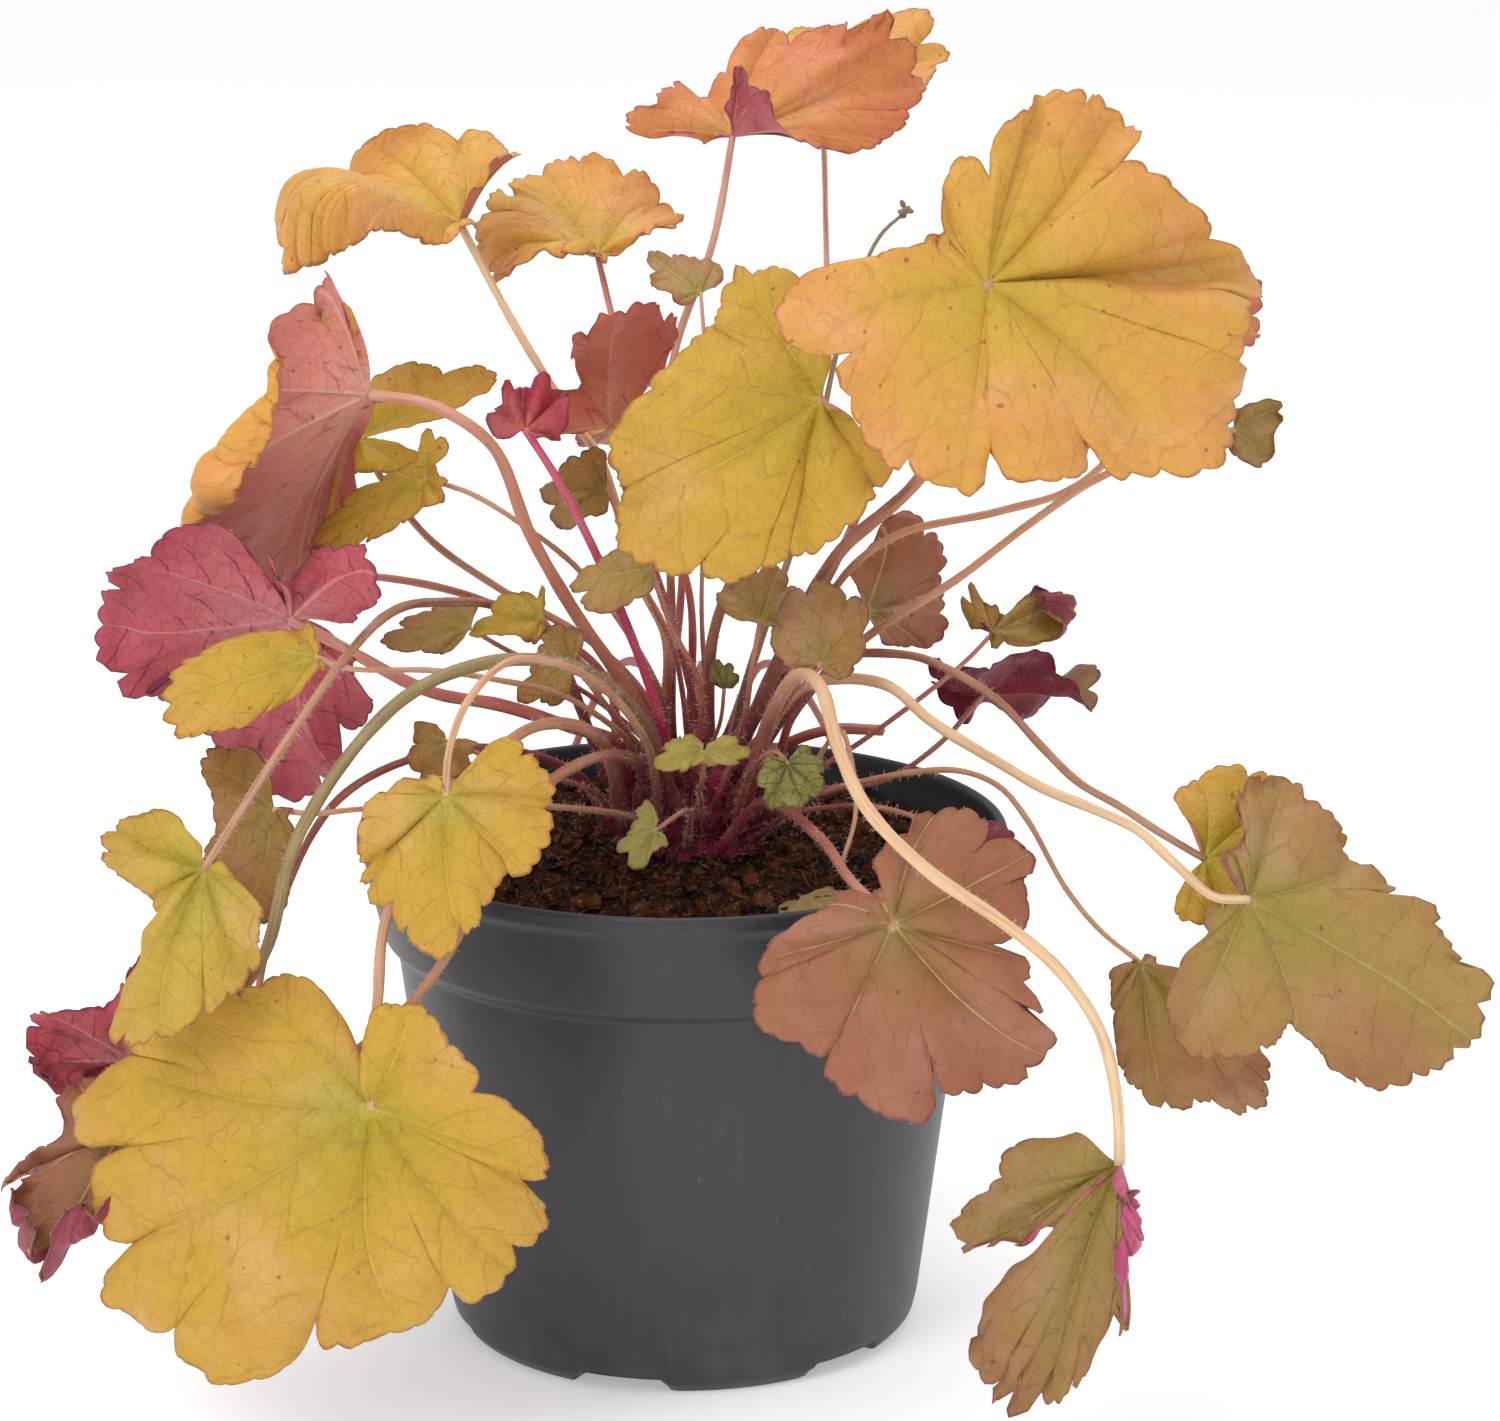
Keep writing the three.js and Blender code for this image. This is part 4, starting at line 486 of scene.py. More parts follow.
        (-38, -18, 216), (-47, -24, 240), (-62, -28, 251)), lobes=((-64, 6, 30, -40, 0, 0),
        (-62.5, 70, 30, -40, 0, 0), (-61, 88, 30, -40, 0, 4, 40), (-54, 93, 28, -40, 0, 8),
        (-45, 83, 22, -30, -20, 6, 33), (-8, 62, 8, 0, -100), (11, 63, 0, 5, -160, 7, 50, 62),
        (27, 50, 0, 5, -160, 6, 50, 62), (46, 38, 0, 5, -120, 20, 55, 66),
        (76, 38, 0, 8, -40, 26, 60), (103, 36, 5, 5, 0, 10, 40), (108, 35, 10, 20, 60),
        (112, 12, 5)),
    ),
    Leaf(
        "left_yellow_behind", MEDIUM, Look.YELLOW, 1.2, (-84, 14, 234), (-1, 0.1, 0),
        (0, -0.5, 0.86), Stem.TAN, via=((-7, -2, 164), (-21, 2, 181), (-47, 6, 196),
        (-65, 10, 208), (-75, 12, 220)), lobes=((-152, 40, 10, 10), (-120, 26, 10, 10), (-64, 13),
        (-18, 15, 0, -10), (8, 14, 0, -20), (48, 13, 0, -20), (112, 12, 0, -20),
        (154, 26, 0, -20)),
    ),
    Leaf(
        "left_yellow_hanging", SMALL, Look.YELLOW, 0.9, (-65, -8, 228), (-0.83, -0.3, -0.47),
        (-0.1, -0.75, 0.65), Stem.TAN, via=((-6, -4, 172), (-25, -4, 202), (-41, -6, 216),
        (-54, -6, 224)), lobes=((-143, 13, 0, -10), (-123, 15, 0, -10, 0, 5),
        (-105, 7, 0, -8, 0, 0), (-62, 7, 0, -8, 0, 0), (-42, 11, 0, -8),
        (-29, 17, 0, -8, 0, 20, 60), (-6, 33, 0, -15), (7, 31, 0, -15), (19, 20, 0, -12),
        (38, 11, 0, -10, 0, 15, 30), (94, 8, 0, -10), (141, 6, 0, -10)),
    ),
    Leaf(
        "middle_salmon", MEDIUM, Look.COPPER, 1.1, (-18, 4, 239), (0.19, -0.59, 0.78),
        (-0.31, 0.72, 0.62), via=((0, 6, 178), (-8, 4, 205), (-16, 4, 228)),
        lobes=((-86, 15, 0, 0, 0, 0), (-78, 24, 0, -10, 0, 5), (-62, 21, 0, -5, 0, 0),
        (-37, 19, 0, 0, 0, 0), (-24, 43, 0, -10), (-14, 48, 0, -10, 0, 4), (4, 47, 0, -10, 0, 6),
        (17, 40, 0, -10, 20), (22, 30, 0, -5), (28, 8)),
    ),
    Leaf(
        "middle_crinkled", SMALL, Look.CRIMSON, 1.4, (-38, -34, 246), (0.58, 0.65, 0.49),
        (0, -0.6, 0.8), Stem.CRIMSON, via=((-4, -24, 165), (-10, -30, 186), (-16, -34, 203),
        (-22, -34, 217), (-30, -34, 233)), lobes=((-80, 8, 0, -20), (-40, 13, 20, 10),
        (-10, 15, 10, 10), (14, 14, 25), (40, 14, 0, 20), (66, 12, 30), (95, 10, 20, 20),
        (122, 10, 0, 20)), wave=(2.4, 7, 0),
    ),
    Leaf(
        "middle_dark", SMALL, Look.BRONZE, 0.8, (-19, -10, 226), (-0.98, 0.09, -0.2),
        (-0.21, -0.64, 0.74), via=((-2, -6, 183), (-8, -10, 197), (-13, -12, 213)),
        lobes=((-80, 14, 0, 10), (-40, 15), (-8, 17), (26, 16, 0, -30), (70, 9, 0, -20)),
    ),
    Leaf(
        "right_upper_small", SMALL, Look.OLIVE, 1.3, (138, -30, 245), (0.93, 0.08, -0.37),
        (0.31, -0.72, 0.62), Stem.TAN, via=((28, -14, 169), (48, -27, 192), (58, -32, 200),
        (70, -36, 209), (87, -38, 223), (103, -38, 234), (124, -34, 242)), lobes=((-92, 6),
        (-54, 12, 0, 0, 0, 5), (-20, 12, 0, 0, 60, 5), (6, 12, 0, 10, 130, 5),
        (30, 15, 0, 10, 130, 5), (51, 16, 0, 0, 40, 10), (88, 7)),
    ),
    Leaf(
        "behind_top_right", MEDIUM, Look.SALMON, 1.2, (125, -20, 276), (0.8, 0.6, 0.06),
        (0.4, -0.6, 0.7), Stem.TAN, via=((30, -10, 184), (44, -26, 210), (56, -30, 219),
        (80, -28, 224), (100, -24, 230), (118, -20, 250)), lobes=((-130, 18), (-90, 20), (-44, 22),
        (-2, 25), (38, 27), (82, 22), (126, 16)),
    ),
    Leaf(
        "right_waved_upper", SMALL, Look.BRONZE, 0.8, (79, -22, 191), (0.99, 0.12, -0.05),
        (0.1, -0.45, 0.89), via=((36, -16, 154), (48, -18, 163), (71, -20, 182)),
        lobes=((-100, 4, 0, 0, 0, 0), (-20, 6, 0, 0, 0, 0), (6, 36, 0, -8, 175, 6, 50, 48),
        (20, 38, 0, -8, 175, 6, 50, 48), (33, 36, 0, -8, 175, 5, 50, 48), (52, 17, 10, 0, 60, 5),
        (66, 10), (80, 9), (97, 10), (106, 16, 10, 10, 0, 25), (118, 14, 5, 10), (128, 5),
        (150, 4)), wave=(2.4, 5, 0),
    ),
    Leaf(
        "right_waved_lower", MEDIUM, Look.WINE, 0.9, (78, -2, 170), (0.98, -0.17, 0),
        (0.1, 0.5, 0.86), via=((38, 0, 144), (52, 0, 146), (67, -2, 157)),
        lobes=((-130, 20, 0, 10), (-100, 22, 0, 10), (-60, 28, 0, 10), (-28, 34, 0, -20),
        (4, 30, 10, 20), (50, 14, 0, -20), (120, 12, -10, -20), (160, 16, 0, 10)), wave=(2, 5, 0),
    ),
    Leaf(
        "middle_brown", SMALL, Look.BRONZE, 1.4, (35, -50, 190), (0, 0.43, 0.9),
        (-0.05, -0.9, 0.43), via=((21, -16, 163), (27, -32, 177)), lobes=((-112, 8),
        (-70, 12, 0, -10), (-39, 19, 0, -20), (-3, 23, 0, -20), (24, 20), (65, 14, 0, -20),
        (100, 8)),
    ),
    Leaf(
        "middle_brown_right", MEDIUM, Look.BROWN, 1.3, (47, -20, 196), (0.63, 0.43, 0.65),
        (0.2, -0.9, 0.4), via=((28, -2, 163), (34, -7, 173), (42, -12, 186)),
        lobes=((-94, 12, 0, -20), (-67, 21, 0, -10), (-32, 22, 0, -10), (-7, 28, 0, -20), (18, 29),
        (48, 14)),
    ),
    Leaf(
        "under_centre_right", SMALL, Look.OLIVE, 0.9, (20, -36, 197), (0.1, 0.66, 0.75),
        (0, -0.75, 0.66), via=((16, -22, 168), (18, -32, 184)), lobes=((-76, 9, 0, -20),
        (-42, 14, 0, -10), (-10, 17), (24, 16), (56, 14, 0, -20)),
    ),
    Leaf(
        "under_centre_left", SMALL, Look.OLIVE, 0.9, (-7, -44, 213), (-0.97, -0.09, -0.23),
        (-0.1, -0.7, 0.7), via=((5, -26, 178), (-2, -36, 196)), lobes=((-100, 6), (-40, 11, 5),
        (-8, 21, 0, -20), (18, 19, 0, -20), (60, 9, 0, -20)),
    ),
    Leaf(
        "left_curled", SMALL, Look.LIME, 0.9, (-35, -22, 195), (-0.98, -0.25, -0.18),
        (-0.1, -0.6, 0.8), via=((-6, -12, 157), (-16, -18, 173), (-28, -20, 186)),
        lobes=((-113, 8, 20, 20), (-78, 8, 20, 20), (-45, 12, 10), (-12, 19, 0, -10),
        (20, 10, 0, -20), (70, 6, 0, -10)), wave=(2, 5, 0),
    ),
    Leaf(
        "left_violet", SMALL, Look.OLIVE, 0.8, (-54, -12, 190), (-0.99, -0.04, -0.14),
        (-0.1, -0.55, 0.83), via=((-4, -3, 151), (-18, -8, 167), (-35, -11, 179), (-46, -12, 185)),
        lobes=((-100, 9, 10, 10), (-56, 11), (-20, 17, 0, 10), (0, 23, 0, -10), (36, 10, 0, -20)),
    ),
    Leaf(
        "left_dark", SMALL, Look.BRONZE, 1, (-27, -33, 186), (-0.8, -0.16, -0.58),
        (-0.21, -0.83, 0.52), via=((-4, -12, 150), (-14, -20, 165), (-22, -31, 179)),
        lobes=((-140, 9, 10), (-94, 12), (-47, 10), (-5, 17, 0, -20), (24, 12, 0, -20)),
    ),
    Leaf(
        "crown_green", SMALL, Look.GREEN, 0.8, (27, -52, 165), (0.1, -0.5, -0.86),
        (0, -0.86, 0.51), via=((18, -32, 158), (24, -44, 166)), lobes=((-110, 6), (-66, 9, 0, -10),
        (-28, 12, 0, -10), (7, 12, 0, -10), (45, 11, 0, -10), (88, 9), (126, 7)),
    ),
    Leaf(
        "crown_yellow", SMALL, Look.SAGE, 0.8, (6, -44, 166), (-0.97, -0.16, -0.16),
        (0, -0.71, 0.71), via=((5, -34, 153), (6, -42, 161)), lobes=((-67, 6), (-26, 10),
        (7, 13, 0, -10), (40, 6), (105, 4.5), (136, 9), (169, 12, 0, -10), (188, 9)),
    ),
    Leaf(
        "crown_small_green", SMALL, Look.GREEN, 0.7, (11, -16, 175), (-0.15, 0.5, 0.85),
        (0, -0.86, 0.51), via=((10, -15, 166),), lobes=((-58, 5), (-24, 7), (10, 8), (46, 5)),
    ),
    Leaf(
        "compost_green", SMALL, Look.MOSS, 0.8, (-6, -56, 149), (-0.8, -0.43, -0.42),
        (-0.1, -0.6, 0.8), via=((2, -38, 149),), lobes=((-110, 8, 10, 20), (-50, 6),
        (-6, 11, 0, -10), (26, 12, 0, -10), (80, 6)),
    ),
    Leaf(
        "back_high_right", SMALL, Look.GOLD, 1.4, (74, 52, 262), (0.6, 0.75, 0.1),
        (0.2, 0.35, 0.9), via=((26, 14, 172), (42, 28, 202), (58, 42, 236)), even=(42, -30),
    ),
    Leaf(
        "back_high_middle", SMALL, Look.YELLOW, 1.3, (0, 66, 228), (-0.3, 0.9, 0.2),
        (0, 0.3, 0.95), via=((-2, 24, 176), (0, 42, 202)), even=(34, -30),
    ),
    Leaf(
        "back_low_left", SMALL, Look.BROWN, 1.4, (-42, 116, 92), (-0.35, 0.35, -0.87),
        (-0.2, 0.9, 0.38), via=((-4, 36, 152), (-12, 68, 160), (-22, 96, 150), (-34, 112, 120)),
        even=(36, -25),
    ),
    Leaf(
        "back_low_middle", SMALL, Look.OLIVE, 1.4, (6, 122, 74), (0, 0.3, -0.95), (0, 0.93, 0.35),
        via=((3, 38, 148), (4, 72, 158), (6, 104, 146), (6, 118, 110)), even=(32, -25),
    ),
    Leaf(
        "back_low_right", SMALL, Look.GOLD, 1.3, (48, 112, 96), (0.35, 0.35, -0.87),
        (0.2, 0.9, 0.38), via=((12, 36, 150), (20, 66, 160), (30, 92, 150), (42, 108, 124)),
        even=(34, -25),
    ),
    Leaf(
        "back_left_middle", SMALL, Look.BURGUNDY, 1.3, (-104, 40, 190), (-0.8, 0.5, -0.3),
        (-0.3, 0.5, 0.8), via=((-20, 20, 168), (-50, 30, 186), (-84, 38, 192)), even=(30, -20),
    ),
    Leaf(
        "low_left_behind", SMALL, Look.OLIVE, 1.3, (-108, -52, 84), (-0.4, 0.1, -0.9),
        (-0.8, -0.4, 0.4), via=((-26, 2, 146), (-54, -18, 160), (-86, -38, 152), (-104, -50, 116)),
        even=(30, -20),
    ),
    Leaf(
        "rim_crinkled", SMALL, Look.BRONZE, 0.8, (-57, -56, 172), (-0.3, -0.6, -0.7),
        (-0.2, -0.75, 0.6), via=((-24, -28, 152), (-44, -44, 163)), lobes=((-100, 9, 10),
        (-50, 11), (-5, 14, 0, -20), (40, 10), (92, 8)), wave=(2, 6, 0),
    ),
    Leaf(
        "pot_front_violet", SMALL, Look.BURGUNDY, 0.8, (72, -66, 150), (0.5, -0.5, -0.7),
        (0.2, -0.85, 0.5), via=((28, -24, 144), (50, -46, 152)), lobes=((-80, 12), (-36, 17),
        (0, 20, 0, -20), (40, 16), (84, 10)),
    ),
)
FALLEN = (
    Leaf(
        "compost_pale", SMALL, Look.STRAW, 0, (30, -40, 126), (0.9, -0.42, 0), (0, 0, 1),
        lobes=((-84, 13), (-46, 20), (-8, 20), (34, 17), (80, 9)),
    ),
    Leaf(
        "compost_brown", SMALL, Look.BRONZE, 0, (-34, -48, 125), (-0.82, -0.57, 0), (0, 0, 1),
        lobes=((-70, 8), (-35, 12), (1, 17), (33, 17), (76, 10)),
    ),
)


# ------------------------------------------------------------------ surfaces
@dataclass
class Faces:
    """Faces of one finish: the numbers of their points, and two maps at each of their corners."""

    corners: Array
    finish: int = 0
    flat: Array | None = None
    veins: Array | None = None
    smooth: bool = True


@dataclass
class Surface:
    """A closed surface: points in millimetres, facts that its finish reads at them, and faces."""

    points: Array
    faces: list[Faces]
    facts: Array | None = None


def unit(vectors: Array) -> Array:
    """Vectors along the last axis, made one long."""
    return vectors / np.maximum(np.linalg.norm(vectors, axis=-1, keepdims=True), 1e-9)


def sheet_faces(columns: int, rows: int, wrap: bool = False, first: int = 0) -> Array:
    """Faces of a grid of points numbered column by column.

    Args:
        columns: Number of columns of points.
        rows: Number of points in a column.
        wrap: Whether the last column is joined to the first.
        first: Number of the first point.

    Returns:
        One row of four point numbers a face, column by column.
    """
    spans = columns if wrap else columns - 1
    column = np.repeat(np.arange(spans), rows - 1)
    row = np.tile(np.arange(rows - 1), spans)
    here = column * rows + row
    there = (column + 1) % columns * rows + row
    return first + np.stack([here, here + 1, there + 1, there], axis=1)


def end_fans(columns: int, rows: int) -> list[Array]:
    """Triangles that close both ends of a wrapped grid on the two points numbered after it."""
    start = np.arange(columns) * rows
    after, total = np.roll(start, -1), np.full(columns, columns * rows)
    high = [start + rows - 1, after + rows - 1, total + 1]
    return [np.stack([after, start, total], 1), np.stack(high, 1)]


def rim_faces(border: Array, count: int) -> Array:
    """Faces between a closed line of points and the same line numbered count further on."""
    after = np.roll(border, -1)
    return np.stack([border, border + count, after + count, after], axis=1)


WAVES = 7


def waves(rng: Random, x: Array, y: Array, length: float) -> Array:
    """Gentle unevenness: the mean of seven sine waves of random heading and phase.

    Args:
        rng: Where the headings and phases are drawn from.
        x, y: Places to work it out at.
        length: The longest wave, in the same unit.

    Returns:
        Values of about -1 to 1.
    """
    turn, phase = rng.uniform(0, TURN, (2, WAVES))
    pace = TURN / (length * rng.uniform(0.35, 1.0, WAVES))
    along = x[..., None] * np.cos(turn) + y[..., None] * np.sin(turn)
    return np.sin(along * pace + phase).sum(-1) / 4


def mesh_object(name: str, surfaces: list[Surface], finishes: list[Material]) -> bpy.types.Object:
    """Makes one object of several surfaces.

    Args:
        name: The object's name.
        surfaces: What it is made of, in millimetres.
        finishes: Its materials, in the order that the faces number them.

    Returns:
        The object, linked to the scene, with its place in its mesh.
    """
    firsts = np.cumsum([0] + [len(s.points) for s in surfaces])
    points = np.concatenate([s.points for s in surfaces]) * MM
    facts = [np.zeros((len(s.points), 3)) if s.facts is None else s.facts for s in surfaces]
    sets = [(first, f) for first, s in zip(firsts, surfaces) for f in s.faces]
    corners = np.concatenate([(first + f.corners).ravel() for first, f in sets])
    faces = [f for _, f in sets]
    counts = [len(f.corners) for f in faces]
    sides = np.repeat([f.corners.shape[1] for f in faces], counts)
    mesh = bpy.data.meshes.new(name)
    mesh.vertices.add(len(points))
    mesh.vertices.foreach_set("co", points.astype(np.float32).ravel())
    mesh.loops.add(len(corners))
    mesh.loops.foreach_set("vertex_index", corners.astype(np.int32))
    mesh.polygons.add(len(sides))
    starts = np.concatenate([[0], np.cumsum(sides)[:-1]])
    mesh.polygons.foreach_set("loop_start", starts.astype(np.int32))
    for finish in finishes:
        mesh.materials.append(finish)
    use = np.repeat([f.finish for f in faces], counts)
    mesh.polygons.foreach_set("material_index", use.astype(np.int32))
    for title in ("flat", "veins"):
        maps = [(f, getattr(f, title)) for f in faces]
        places = [np.zeros(2 * f.corners.size) if m is None else m.ravel() for f, m in maps]
        layer = mesh.uv_layers.new(name=title)
        layer.data.foreach_set("uv", np.concatenate(places).astype(np.float32))
    mesh.update(calc_edges=True)
    mesh.polygons.foreach_set("use_smooth", np.repeat([f.smooth for f in faces], counts))
    layer = mesh.attributes.new("facts", "FLOAT_VECTOR", "POINT")
    layer.data.foreach_set("vector", np.concatenate(facts).astype(np.float32).ravel())
    mesh.validate(clean_customdata=False)
    piece = bpy.data.objects.new(name, mesh)
    bpy.context.scene.collection.objects.link(piece)
    return piece


class Piece:
    """A piece of the plant, made in place of its node. Each kind says what it consists of."""

    node: str
    slot: str
    part: str
    kinds: tuple[Matt, ...] = ()

    def surfaces(self) -> list[Surface]:
        """Its surfaces, in millimetres."""
        raise NotImplementedError

    def materials(self, finishes: "Finishes") -> list[Material]:
        """Its materials, in the order that its faces number them."""
        return [finishes.matt(kind) for kind in self.kinds]

    def build(self, finishes: "Finishes") -> bpy.types.Object:
        """Makes the piece, rides it on the plant's one body, and puts it in place of its node.

        Args:
            finishes: Where its materials come from.

        Returns:
            The finished piece.
        """
        piece = mesh_object(f"{self.node}_{self.part}", self.surfaces(), self.materials(finishes))
        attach(piece, "root")
        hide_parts(self.node)
        log.info("%s: %d faces, for %s", piece.name, len(piece.data.polygons), self.node)
        return piece


# ------------------------------------------------------------------ routes and tubes
def route(points: Array, count: int = 24) -> Array:
    """A smooth line through points.

    Each stretch between two points is a cubic whose ends follow their neighbours, paced by the
    square root of the distances (a centripetal Catmull-Rom line). Beyond its ends the line is
    taken to go on straight.

    Args:
        points: The points to pass, one a row.
        count: Places worked out on each stretch.

    Returns:
        Places along the line, one a row.
    """
    ends = [2 * points[0] - points[1], 2 * points[-1] - points[-2]]
    padded = np.concatenate([ends[:1], points, ends[1:]])
    gap = np.sqrt(np.linalg.norm(np.diff(padded, axis=0), axis=1))[:, None]
    before, over, after = gap[:-2], gap[1:-1], gap[2:]
    p, q, r, s = padded[:-3], padded[1:-2], padded[2:-1], padded[3:]
    leave = (q - p) / before - (r - p) / (before + over) + (r - q) / over
    reach = (r - q) / over - (s - q) / (over + after) + (s - r) / after
    leave, reach = leave * over, reach * over
    t = np.linspace(0, 1, count, endpoint=False)[None, :, None]
    q, r, leave, reach = (v[:, None, :] for v in (q, r, leave, reach))
    cubic = (
        q * (2 * t**3 - 3 * t**2 + 1)
        + leave * (t**3 - 2 * t**2 + t)
        + r * (3 * t**2 - 2 * t**3)
        + reach * (t**3 - t**2)
    )
    return np.concatenate([cubic.reshape(-1, 3), points[-1:]])


def evenly(line: Array, step: float) -> tuple[Array, Array]:
    """A line's places set about a step apart, and how far along it each lies."""
    far = np.concatenate([[0], np.cumsum(np.linalg.norm(np.diff(line, axis=0), axis=1))])
    wanted = np.linspace(0, far[-1], max(4, round(far[-1] / step)) + 1)
    return np.stack([np.interp(wanted, far, line[:, k]) for k in range(3)], axis=1), wanted


@dataclass
class Tube:
    """A round bar along a line, closed to a point at both ends.

    A point of it is the line's place plus the radius times (cos of the angle round it times the
    line's normal plus sin of it times the binormal), where the normal lies across the flat that
    fits the line best. The radius swells and shrinks round the bar as five ridges.
    """

    line: Array
    far: Array
    radii: Array
    sides: int
    ridges: float = 0.0
    finish: int = 0

    def frames(self) -> tuple[Array, Array, Array]:
        """Tangent, normal and binormal at each place of the line."""
        tangent = unit(np.gradient(self.line, axis=0))
        flat = np.linalg.svd(self.line - self.line.mean(0))[2][2]
        normal = unit(np.cross(flat, tangent))
        return tangent, normal, np.cross(tangent, normal)

    def surface(self, tone: float = 0.0) -> Surface:
        """The bar's surface, with its length and girth as its flat map."""
        tangent, normal, binormal = self.frames()
        sides, rows = self.sides, len(self.line)
        angle = np.arange(sides) / sides * TURN
        swell = self.radii * (1 + self.ridges * np.cos(5 * angle)[:, None])
        out = np.cos(angle)[:, None, None] * normal + np.sin(angle)[:, None, None] * binormal
        wall = self.line + swell[..., None] * out
        tips = self.line[[0, -1]] + tangent[[0, -1]] * self.radii[[0, -1], None] * [[-0.5], [0.5]]
        points = np.concatenate([wall.reshape(-1, 3), tips])
        body = sheet_faces(sides, rows, wrap=True)[:, ::-1]
        side = np.repeat(np.arange(sides), rows - 1)
        row = np.tile(np.arange(rows - 1), sides)
        girth = self.radii.mean() * TURN
        around = np.stack([side + 1, side + 1, side, side], 1) / sides * girth
        along = self.far[np.stack([row, row + 1, row + 1, row], 1)]
        share = np.concatenate([np.tile(self.far / self.far[-1], sides), [0, 1]])
        facts = np.stack([share, np.full(len(points), 9.0), np.full(len(points), tone)], 1)
        faces = [Faces(body, self.finish, np.stack([along, around], 2))]
        faces += [Faces(fan, self.finish) for fan in end_fans(sides, rows)]
        return Surface(points, faces, facts)

    def feet(self, rng: Random, count: int) -> tuple[Array, Array]:
        """Random places on the bar's skin, and the way out of it there with a lean forwards."""
        tangent, normal, binormal = self.frames()
        place = rng.integers(1, len(self.line) - 1, count)
        shift = rng.uniform(-0.5, 0.5, count)[:, None]
        angle = rng.uniform(0, TURN, count)[:, None]
        out = np.cos(angle) * normal[place] + np.sin(angle) * binormal[place]
        step = np.linalg.norm(self.line[1] - self.line[0])
        foot = self.line[place] + out * self.radii[place, None] * 0.9
        lean = rng.normal(0, 0.35, (count, 1))
        return foot + tangent[place] * shift * step, unit(out + lean * tangent[place])


HAIR_RADIUS = 0.065


def hairs(
    foot: Array, out: Array, rng: Random, long: tuple[float, float], finish: int
) -> Surface:
    """Fine hairs, each a slim closed three-sided spike.

    Args:
        foot: Where each stands, one a row.
        out: Which way each points.
        rng: Where their lengths are drawn from.
        long: Shortest and longest hair, in millimetres.
        finish: Number of their finish.

    Returns:
        All the hairs as one surface.
    """
    count = len(foot)
    side = unit(np.cross(out, unit(rng.normal(size=(count, 3)))))
    other = np.cross(out, side)
    length = rng.uniform(*long, (count, 1))
    ring = [side, -0.5 * side + 0.87 * other, -0.5 * side - 0.87 * other]
    spike = np.stack([foot + HAIR_RADIUS * r for r in ring] + [foot + out * length], axis=1)
    corners = np.array([[0, 2, 1], [0, 1, 3], [1, 2, 3], [2, 0, 3]])
    faces = (np.arange(count)[:, None, None] * 4 + corners).reshape(-1, 3)
    return Surface(spike.reshape(-1, 3), [Faces(faces, finish)])


# ------------------------------------------------------------------ leaf blades
HEM = 72.0  # percent of the way at which the edge begins to roll, where a lobe names none
TURNED = 0.28  # share of the way over which it rolls
APART = 34.0  # no two main veins are nearer than this many degrees
SHOULDER = (24.0, 0.6)  # turn and fall of the edge beside the stalk's notch
BEND = 1.5  # power of the share of the way by which a column bends
EVEN = ((0.62, 0.8, 0.95, 1, 0.95, 0.8, 0.62), 47.0, 4.0)  # shares of length, turn, slope
EVEN_DIP = 16.0
CROWDED = 0.9  # power of the share of the way by which the rings crowd towards the edge
SHARP = 0.45  # power of a scallop's cosine: the less, the narrower the notches
PROUD = (0.5, 1.3)  # how much deeper or shallower one scallop's notch may be
SIDE_VEINS = (0.17, 0.6)  # their distance apart: this share of the blade, and so much more
NEAR_VEIN = (0.03, 0.8)  # how far a main vein's groove reaches, in the same way
OPEN_BLADE = (0.06, 0.6)  # how far from a main vein the swelling begins, in the same way


@dataclass
class Columns:
    """What is the same all along a column of a blade's grid, as one array each.

    angle is in radians, length in millimetres with no scallops, notch what the scallops take off
    it, rise, curl and roll in degrees, where roll is the turn of the edge alone from the share
    hem of the way on.
    """

    angle: Array
    length: Array
    notch: Array
    rise: Array
    curl: Array
    roll: Array
    hem: Array

    @classmethod
    def joined(cls, runs: list["Columns"]) -> "Columns":
        """Runs set one after another, each beginning on the last column of the one before."""
        whole = {}
        for field in fields(cls):
            parts = [getattr(run, field.name) for run in runs]
            whole[field.name] = np.concatenate([parts[0]] + [part[1:] for part in parts[1:]])
        return cls(**whole)

    def turned(self) -> "Columns":
        """The same columns in the other order."""
        return Columns(*(getattr(self, field.name)[::-1] for field in fields(self)))


